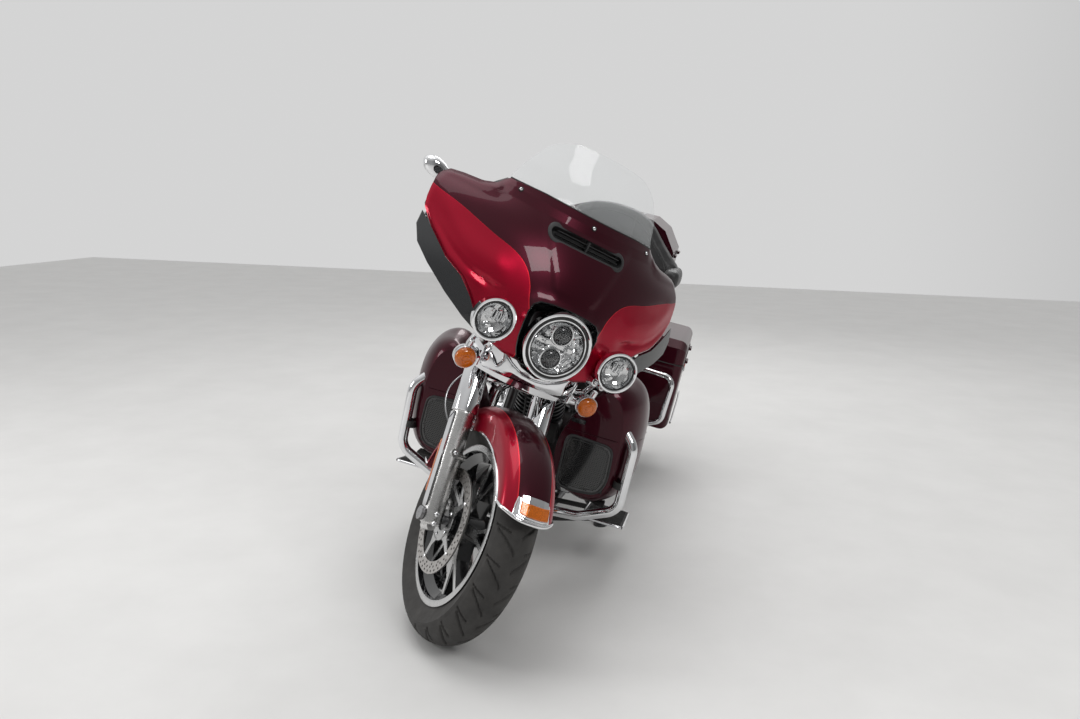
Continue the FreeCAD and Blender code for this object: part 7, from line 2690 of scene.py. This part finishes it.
@dataclass
class EngineDetail:
    """Round covers, bolts, pushrod seals, plug caps, air cleaner and exhaust trim."""

    crank: tuple[float, float] = (-70.0, 372.0)

    def along(self, sign: int, distance: float) -> Vector:
        """Point on a cylinder's centre line; sign -1 is the front cylinder."""
        a = math.radians(22.5) * sign
        return Vector((0, self.crank[0] + math.sin(a) * distance, self.crank[1] + math.cos(a) * distance))

    def covers(self, shop: Workshop, grow: Grower) -> None:
        """Round covers and the rows of bolts on both sides."""
        y0, z0 = self.crank
        rings = Shape()
        rings.join(Shape.lathe([(-1, 0), (-1, 62), (4, 62), (8, 57), (9, 30), (12, 27), (13, 0)],
                               (193, 150, 372), LEFT, 72))
        rings.join(Shape.lathe([(-1, 0), (-1, 50), (3.4, 50), (6, 46), (6.6, 0)], (193, y0 - 60, 360),
                               LEFT, 64))
        rings.join(Shape.lathe([(-1, 0), (-1, 50), (3.6, 50), (7, 46), (7.6, 24), (10, 22), (10.6, 0)],
                               (-175, y0, z0), RIGHT, 64))
        rings.join(Shape.lathe([(-1, 0), (-1, 44), (3, 44), (5, 41), (5.6, 0)], (-157, 175, 372), RIGHT,
                               56))
        shop.piece("engine_round_covers", rings, Rig.CHASSIS, "chrome")
        spots = []
        for centre, radius, x, side, count in (((150.0, 372.0), 54.0, 197.0, 1, 5),
                                               ((y0 - 60, 360.0), 43.0, 196.4, 1, 4),
                                               ((y0, z0), 43.0, -178.6, -1, 5),
                                               ((175.0, 372.0), 37.0, -160.0, -1, 4),
                                               ((y0, z0), 82.0, -174.4, -1, 10),
                                               ((175.0, 372.0), 66.0, -156.4, -1, 6)):
            for i in range(count):
                a = 2 * math.pi * i / count + 0.4
                spots.append(((x, centre[0] + math.cos(a) * radius, centre[1] + math.sin(a) * radius),
                              (side, 0, 0)))
        for i in range(7):
            a = math.radians(100 + 160 * i / 6)
            spots.append(((189.6, y0 - 60 + math.cos(a) * 107, 360 + math.sin(a) * 107), LEFT))
        for i in range(7):
            a = math.radians(-80 + 160 * i / 6)
            spots.append(((189.6, 150 + math.cos(a) * 117, 372 + math.sin(a) * 117), LEFT))
        grow.repeat("engine_cover_bolts", dome_head(4.6, 3.6), spots, Rig.CHASSIS, "chrome")
        tops, seals, plugs = [], Shape(), Shape()
        for sign in (-1, 1):
            a = math.radians(22.5) * sign
            up = Vector((0, math.sin(a), math.cos(a)))
            across = Vector((0, math.cos(a), -math.sin(a)))
            head = self.along(sign, 357.0)
            for dx in (-84.0, -40.0, 0.0, 40.0, 84.0):
                for dy in (-71.0, 71.0):
                    tops.append((tuple(head + across * dy + Vector((dx, 0, 0)) - up * 1.0), tuple(up)))
            for low, high in ((-34, -150), (-12, -104)) if sign < 0 else ((12, 104), (34, 150)):
                bottom = Vector((-124, y0 + low, z0 + 84))
                top = Vector((-76, y0 + high, z0 + 330))
                way = (top - bottom).normalized()
                for share, radius in ((0.04, 14.0), (0.5, 11.6), (0.95, 13.0)):
                    at = bottom.lerp(top, share)
                    seals.join(Shape.lathe([(-8, 8), (-8, radius - 1), (-6, radius), (6, radius),
                                            (8, radius - 1), (8, 8), (-8, 8)], at, way, 28))
            base = self.along(sign, 300.0) + Vector((74, 0, 0))
            plugs.join(Shape.tube([base, base + Vector((22, 0, 3)), base + Vector((40, 0, 12))],
                                  [9.0, 9.0, 7.0], 16))
            lead = [base + Vector((38, 0, 12)), base + Vector((58, -sign * 20, 50)),
                    base + Vector((26, -sign * 60, 96)), Vector((22, -40 + sign * 18, 752))]
            plugs.join(Shape.tube(rounded_path(lead, 34), 4.0, 12))
        grow.repeat("rocker_bolts", bolt_head(5.2, 5.0), tops, Rig.CHASSIS, "chrome")
        shop.piece("pushrod_seals", seals, Rig.CHASSIS, "chrome")
        shop.piece("spark_plug_caps", plugs, Rig.CHASSIS, "rubber")

    def intake(self, shop: Workshop, grow: Grower) -> None:
        """Air-cleaner disc, ring, filter pleats and screws."""
        at = (-190, -66, 640)
        disc = Shape.lathe([(-1, 0), (-1, 74), (3, 74), (6, 70), (6, 60), (3.4, 57), (3.4, 40), (7.6, 36),
                            (8.2, 0)], at, RIGHT, 80)
        shop.piece("air_cleaner_insert", disc, Rig.CHASSIS, "gloss_black")
        ring = Shape.lathe([(-2, 73), (-2, 79), (5.4, 79), (7.4, 76.4), (5.4, 73.4), (-2, 73)], at, RIGHT,
                           80)
        shop.piece("air_cleaner_ring", ring, Rig.CHASSIS, "chrome")
        pleats = [((-150.0, -66 + math.cos(a) * 92.4, 640 + math.sin(a) * 92.4),
                   (0, math.cos(a), math.sin(a))) for a in circle_angles(60)]
        grow.repeat("air_cleaner_pleats", Shape.slab(oblong(17, 1.6), DOWN, LEFT, BACK, 3.4, 0.8), pleats,
                    Rig.CHASSIS, "black_plastic", across=LEFT)
        screws = [((-195.4, -66 + math.cos(a) * 65, 640 + math.sin(a) * 65), RIGHT)
                  for a in (0.5, 2.6, 4.7)]
        grow.repeat("air_cleaner_screws", dome_head(5.6, 4.4), screws, Rig.CHASSIS, "chrome")

    def exhaust(self, shop: Workshop, grow: Grower) -> None:
        """Clamps, slotted tips, heat-shield bands, and near-black slabs that paint the shade inside the
        shield's slots.
        """
        clamps, tips, slot_shade_spots = Shape(), Shape(), []
        for side in (1, -1):
            low, high = Vector((side * 290, 440, 262)), Vector((side * 298, 1210, 290))
            way = (high - low).normalized()
            for d in (18.0, 300.0, 560.0):
                clamps.join(Shape.lathe([(-9, 45.6), (-9, 48.4), (9, 48.4), (9, 45.6), (-9, 45.6)],
                                        low + way * d, way, 48))
            tips.join(Shape.lathe([(-30, 46.2), (-28, 48.2), (-6, 48.2), (0, 46.0), (0, 41.0), (-26, 38.0),
                                   (-40, 38.0), (-40, 46.2), (-30, 46.2)], high - way * 1.0, way, 56))
            for k in range(9):
                slot_shade_spots.append((tuple(low + way * (352.0 + 19.0 * k) + Vector((side * 45.4, 0, 2))),
                              (side, 0, 0)))
        shop.piece("muffler_clamps", clamps, Rig.CHASSIS, "steel")
        shop.piece("muffler_tips", tips, Rig.CHASSIS, "chrome")
        # Painted shade: thin near-black slabs on the muffler stand in for the dark inside of the heat
        # shield's slots.
        grow.repeat("muffler_shield_slots",
                    Shape.slab([(-13, -2.6), (13, -2.6), (15.6, 0), (13, 2.6), (-13, 2.6), (-15.6, 0)],
                               ORIGIN, LEFT, BACK, 1.0, 0.3), slot_shade_spots, Rig.CHASSIS, "dial_black",
                    across=(0, 0.5, 1))
        bands = Shape()
        for at, way, radius in (((-172, -276, 330), (0.05, 0.6, -0.8), 22.0),
                                ((-184, -80, 226), (0.05, 1, 0), 22.0),
                                ((-200, 196, 480), (0, 0.1, -1), 20.0),
                                ((-128, -280, 590), (-0.3, 0.1, -1), 22.0)):
            bands.join(Shape.lathe([(-6, radius - 1), (-6, radius + 2.4), (6, radius + 2.4),
                                    (6, radius - 1), (-6, radius - 1)], at, way, 36))
        shop.piece("header_bands", bands, Rig.CHASSIS, "steel")

    def build(self, shop: Workshop, grow: Grower) -> None:
        """Makes the engine's small pieces."""
        self.covers(shop, grow)
        self.intake(shop, grow)
        self.exhaust(shop, grow)


@dataclass
class Luggage:
    """Latches, seams, reflectors, lenses, plate and rails of the rear."""

    def bags(self, shop: Workshop, grow: Grower) -> None:
        """Seam seals, latches and side reflectors of both side bags, and the case's."""
        seams = Shape()
        line = [(256, 533, 640.3), (418, 533, 640.3), (438, 548, 640.3), (440.4, 580, 640.3),
                (440.4, 1080, 640.3), (436, 1104, 640.3), (416, 1114.6, 640.3), (256, 1114.6, 640.3)]
        seams.join(Shape.tube(rounded_path(line, 12), 2.2, 10).both_sides())
        case = [(-276.4, 760, 1045.3), (-276.4, 1096, 1045.3), (-262, 1124, 1045.3),
                (-236, 1136.4, 1045.3), (236, 1136.4, 1045.3), (262, 1124, 1045.3), (276.4, 1096, 1045.3),
                (276.4, 760, 1045.3)]
        seams.join(Shape.tube(rounded_path(case, 14), 2.4, 10))
        shop.piece("luggage_seals", seams, Rig.CHASSIS, "rubber")
        plates, keys = Shape(), Shape()
        base = oval(26, 14, 40)
        plates.join(Shape.slab(base, (440.2, 640, 610), BACK, UP, 3.4, 1.2).both_sides())
        plates.join(Shape.slab(base, (0, 1136.0, 1018), RIGHT, UP, 3.4, 1.2))
        keys.join(Shape.lathe([(0, 0), (0, 8), (4, 7.4), (5, 5), (3.8, 4.6), (3.8, 0)], (443.0, 640, 610),
                              LEFT, 28).both_sides())
        keys.join(Shape.lathe([(0, 0), (0, 8), (4, 7.4), (5, 5), (3.8, 4.6), (3.8, 0)], (0, 1139.0, 1018),
                              BACK, 28))
        shop.piece("luggage_latch_plates", plates, Rig.CHASSIS, "chrome")
        shop.piece("luggage_lock_barrels", keys, Rig.CHASSIS, "steel")
        bar = [(-58, -9), (58, -9), (62, 0), (58, 9), (-58, 9), (-62, 0)]
        reds = Shape.slab(bar, (440.0, 1010, 560), BACK, UP, 4.0, 1.4).both_sides()
        reds.join(Shape.slab(bar, (0, 1134.6, 920), RIGHT, UP, 4.0, 1.4))
        shop.piece("luggage_reflectors", reds, Rig.CHASSIS, "red_lens")
        rails = Shape()
        path = rounded_path([(447.5, 560, 392), (449.5, 620, 388), (449.5, 1040, 388), (446, 1100, 402)],
                            30)
        rails.join(Shape.tube(path, 4.2, 14).both_sides())
        shop.piece("side_bag_trim_bars", rails, Rig.CHASSIS, "chrome")
        ribs = [((x, 930.0, 1180.0), UP) for x in np.linspace(-96, 96, 7)]
        grow.repeat("top_case_rack_bars", Shape.slab(oblong(4, 110), ORIGIN, LEFT, BACK, 5.0, 1.6),
                    ribs, Rig.CHASSIS, "chrome", body="top_case_lid", across=LEFT)

    def lamps(self, shop: Workshop, grow: Grower) -> None:
        """Rear lenses with their rings, the tail lamp's cover and the blank plate."""
        lens = oval(48, 24, 48)
        tail = Shape.slab(lens, (0, 1189.0, 572), RIGHT, UP, 11.0, 5.0)
        shop.piece("tail_lamp_lens", tail, Rig.CHASSIS, "red_lens")
        rim = [(x * 1.1, z * 1.14) for x, z in lens]
        shop.piece("tail_lamp_bezel", Shape.slab(rim, (0, 1186.0, 572), RIGHT, UP, 6.0, 2.0), Rig.CHASSIS,
                   "chrome")
        domes = Shape.lathe([(-2, 0), (-2, 29), (6, 28.6), (11, 24), (14.5, 14), (15.5, 0)],
                            (150, 1179, 640), BACK, 48)
        shop.piece("rear_signal_lenses", domes.both_sides(), Rig.CHASSIS, "red_lens")
        cups = Shape.lathe([(0, 0), (0, 12), (8, 26), (22, 31.6), (58, 32.2), (62, 31), (62, 28), (56, 0)],
                           (150, 1119, 640), BACK, 48)
        shop.piece("rear_signal_cups", cups.both_sides(), Rig.CHASSIS, "chrome")
        arms = Shape.tube([(-150, 1150, 640), (150, 1150, 640)], 10.6, 24)
        shop.piece("rear_signal_bar", arms, Rig.CHASSIS, "chrome")
        up = Vector((0, -14, 104)).normalized()
        flat = rounded_path([(0, 0, 52), (86, 0, 52), (86, 0, -52), (-86, 0, -52), (-86, 0, 52),
                             (0, 0, 52)], 8.0, 5)[:-1]
        plate = Shape.slab([(p.x, p.z) for p in flat], (0, 1178.4, 504), RIGHT, up, 1.6, 0.4)
        shop.piece("blank_number_plate", plate, Rig.CHASSIS, "dial_white")
        bolts = [((side * 73.0, 1180.0, 504.0), (0, 0.99, 0.13)) for side in (1, -1)]
        grow.repeat("plate_bolts", bolt_head(5.0, 4.0), bolts, Rig.CHASSIS, "steel")

    def build(self, shop: Workshop, grow: Grower) -> None:
        """Makes the rear's small pieces."""
        self.bags(shop, grow)
        self.lamps(shop, grow)


@dataclass
class ChassisTrim:
    """Tank console, shock springs, footboard pads, pulley teeth and rear wheel."""

    def console(self, shop: Workshop, grow: Grower) -> None:
        """Raised console panel, its bright edges, door ring and screws."""
        rows = []
        for y, half, top in ((-296, 30, 974.0), (-250, 38, 977.0), (-200, 42, 979.5), (-120, 44, 975.5),
                             (-40, 46, 968.5), (40, 45, 947.0), (90, 42, 931.5), (140, 38, 906.5),
                             (186, 32, 882.0)):
            crown = [(x * half, y, top + 3.2 * (1 - x ** 4))
                     for x in (-1.0, -0.9, -0.6, 0.0, 0.6, 0.9, 1.0)]
            rows.append(crown + [(x * half, y, top - 8.0) for x in (1.0, -1.0)])
        shop.piece("console_panel", Shape.loft(rows), Rig.CHASSIS, "gloss_black")
        edge = Shape()
        for side in (1, -1):
            edge.join(Shape.tube(rounded_path([(side * (r[6][0] + 1.5), r[6][1], r[6][2] + 0.5)
                                               for r in rows], 40), 2.6, 10))
        shop.piece("console_edges", edge, Rig.CHASSIS, "chrome")
        door = rounded_path([(0, -196, 0), (31, -196, 0), (31, -111, 0), (-31, -111, 0), (-31, -196, 0),
                             (0, -196, 0)], 12.0)[:-1]
        shop.piece("fuel_door_rim", Shape.tube([(p.x, p.y, 986.6) for p in door], 1.5, 8, closed=True),
                   Rig.CHASSIS, "gloss_black", body="fuel_door")
        screws = [((x, y, z), UP) for x in (-26, 26) for y, z in ((-282, 977.0), (60, 943.0), (168, 893.0))]
        grow.repeat("console_screws", dome_head(4.2, 3.2), screws, Rig.CHASSIS, "chrome")

    def springs(self, grow: Grower) -> None:
        """Coils round both rear dampers."""
        for side, name in ((1, "shock_spring_left"), (-1, "shock_spring_right")):
            low = Vector((side * 180.8, 727.0, 387.0))
            high = Vector((side * 163.6, 655.0, 612.0))
            grow.coil(name, low, high, 9.0, 27.0, 4.2, Rig.CHASSIS, "chrome")

    def boards(self, shop: Workshop, grow: Grower) -> None:
        """Ribbed pads and bright rims of the footboards, and the pegs' rubbers."""
        spots = []
        slope = math.tan(math.radians(12.0))
        tilt = (0.0, slope, 1.0)
        for side in (1, -1):
            for k in range(16):
                y = -221.0 - 128.0 + 17.0 * k
                spots.append(((side * 325.0, y, 240.0 - slope * (y + 221.0)), tilt))
        bar = Shape.slab([(-58, -3.2), (58, -3.2), (60, 0), (58, 3.2), (-58, 3.2), (-60, 0)], ORIGIN, LEFT,
                         BACK, 3.4, 1.0)
        grow.repeat("footboard_ribs", bar, spots, Rig.CHASSIS, "rubber", across=LEFT)
        rims = Shape()
        loop = rounded_path([(0, -151, 0), (70, -151, 0), (70, 151, 0), (-70, 151, 0), (-70, -151, 0),
                             (0, -151, 0)], 26.0)[:-1]
        rims.join(Shape.tube([(325 + p.x, -221 + p.y, 236.0 - slope * p.y) for p in loop], 4.4, 12,
                             closed=True))
        shop.piece("footboard_rims", rims.both_sides(), Rig.CHASSIS, "chrome")
        pegs = Shape.tube([(285, -345, 320), (318, -345, 320)], 11.0, 24)
        for k in range(4):
            pegs.join(Shape.lathe([(-2, 10), (-2, 12.4), (2, 12.4), (2, 10), (-2, 10)],
                                  (290 + 8 * k, -345, 320), LEFT, 24))
        shop.piece("shifter_peg", pegs, Rig.CHASSIS, "rubber")
        pad = [((-290.0, -366.0 + 5.5 * k, 320.2), UP) for k in range(5)]
        grow.repeat("brake_pedal_ribs", Shape.slab(oblong(36, 1.5), ORIGIN, LEFT, BACK, 2.2, 0.6),
                    pad, Rig.CHASSIS, "rubber", across=LEFT)

    def rear_wheel(self, shop: Workshop, grow: Grower) -> None:
        """Tyre, machined edges, pulley teeth, hub bolts and axle nuts of the rear wheel."""
        y, z = LAYOUT.rear_axle[1], LAYOUT.rear_axle[2]
        wheel = Wheel(centre=LAYOUT.rear_axle, body="rear_wheel", tag="rear", rig=Rig.CHASSIS,
                      radius=320.0, crown=110.0, half_width=90.0, rim_r=203.0, rim_half=68.0, hub_r=56.0)
        wheel.tyre(shop)
        wheel.edges(shop)
        teeth = [((111.0, y + math.cos(a) * 108.2, z + math.sin(a) * 108.2), (0, math.cos(a), math.sin(a)))
                 for a in circle_angles(66)]
        grow.repeat("pulley_teeth", Shape.slab(oblong(11, 1.8), (0, 0, -2.4), LEFT, BACK, 2.6),
                    teeth, Rig.CHASSIS, "steel", body="rear_wheel", across=LEFT)
        bolts = []
        for i in range(5):
            a = 2 * math.pi * i / 5
            bolts.append(((112.2, y + math.cos(a) * 50, z + math.sin(a) * 50), LEFT))
            bolts.append(((-104.2, y + math.cos(a) * 44, z + math.sin(a) * 44), RIGHT))
        grow.repeat("rear_hub_bolts", bolt_head(6.4, 6.0), bolts, Rig.CHASSIS, "chrome", body="rear_wheel")
        nuts = Shape()
        for side in (1, -1):
            nuts.join(Shape.lathe([(0, 0), (0, 22), (3, 22), (4, 19), (16, 18), (19, 12), (19, 0)],
                                  (side * 170, y, z), (side, 0, 0), 6))
        shop.piece("rear_axle_nuts", nuts, Rig.CHASSIS, "chrome", sharp=25.0)

    def build(self, shop: Workshop, grow: Grower) -> None:
        """Makes the trim."""
        self.console(shop, grow)
        self.springs(grow)
        self.boards(shop, grow)
        self.rear_wheel(shop, grow)


NODE_FINISHES = {
    "triple_clamps": "satin", "fork_sliders": "satin", "fork_covers": "chrome", "front_axle": "steel",
    "front_fender": "paint_fender", "front_calipers": "gloss_black", "lamp_shells": "chrome",
    "lamp_lenses": "lamp_glass", "turn_lenses": "amber", "fork_nacelle": "chrome",
    "outer_fairing": "paint_fairing", "fairing_vent": "gloss_black", "inner_fairing": "black_plastic",
    "windshield": "screen", "air_deflectors": "smoke", "mirrors": "chrome", "handlebar": "chrome",
    "grips": "rubber", "hand_controls": "gloss_black", "front_tyre": "tyre", "front_wheel": "gloss_black",
    "front_discs": "rotor", "frame": "black_coat", "engine": "black_coat", "engine_covers": "chrome",
    "air_cleaner": "chrome", "exhaust": "chrome", "fuel_tank": "paint_red", "tank_console": "chrome",
    "seat": "leather", "rear_fender": "paint_dark", "side_covers": "paint_dark", "swingarm": "black_coat",
    "shocks": "black_coat", "belt": "rubber", "rear_tyre": "tyre", "rear_wheel": "gloss_black",
    "rear_disc_and_pulley": "steel", "saddlebag_bodies": "paint_dark", "top_case_base": "paint_dark",
    "backrest": "leather", "luggage_rack": "chrome", "tail_lamps": "gloss_black",
    "plate_bracket": "black_coat", "lower_fairings": "paint_dark", "lower_grilles": "black_plastic",
    "crash_guards": "chrome", "footboards": "rubber", "side_stand": "black_coat",
    "saddlebag_lid_left": "paint_dark", "saddlebag_lid_right": "paint_dark", "top_case_lid": "paint_dark",
    "fuel_door": "chrome",
}


def main() -> None:
    """Builds the classes in order and reports each piece."""
    logging.basicConfig(level=logging.INFO, format="%(name)s: %(message)s")
    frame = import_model()
    shop = Workshop(frame)
    Viewpoint().build(shop.placer)
    Studio().build()
    for node, finish in NODE_FINISHES.items():
        if node in frame["nodes"]:
            shop.dress(node, finish)
    grow = Grower(shop)
    for unit in (Wheel(), FairingSkin(), Windscreen(), FrontLamps(), FenderSkin(), ForkDetail(), Nacelle(),
                 Mirrors(), LowerFairingTrim(), Cockpit(), Upholstery(), EngineDetail(), Luggage(),
                 ChassisTrim()):
        unit.build(shop, grow)
    bpy.context.view_layer.update()
    scene = bpy.context.scene
    scene.view_settings.view_transform = "Standard"


if __name__ == "__main__":
    main()
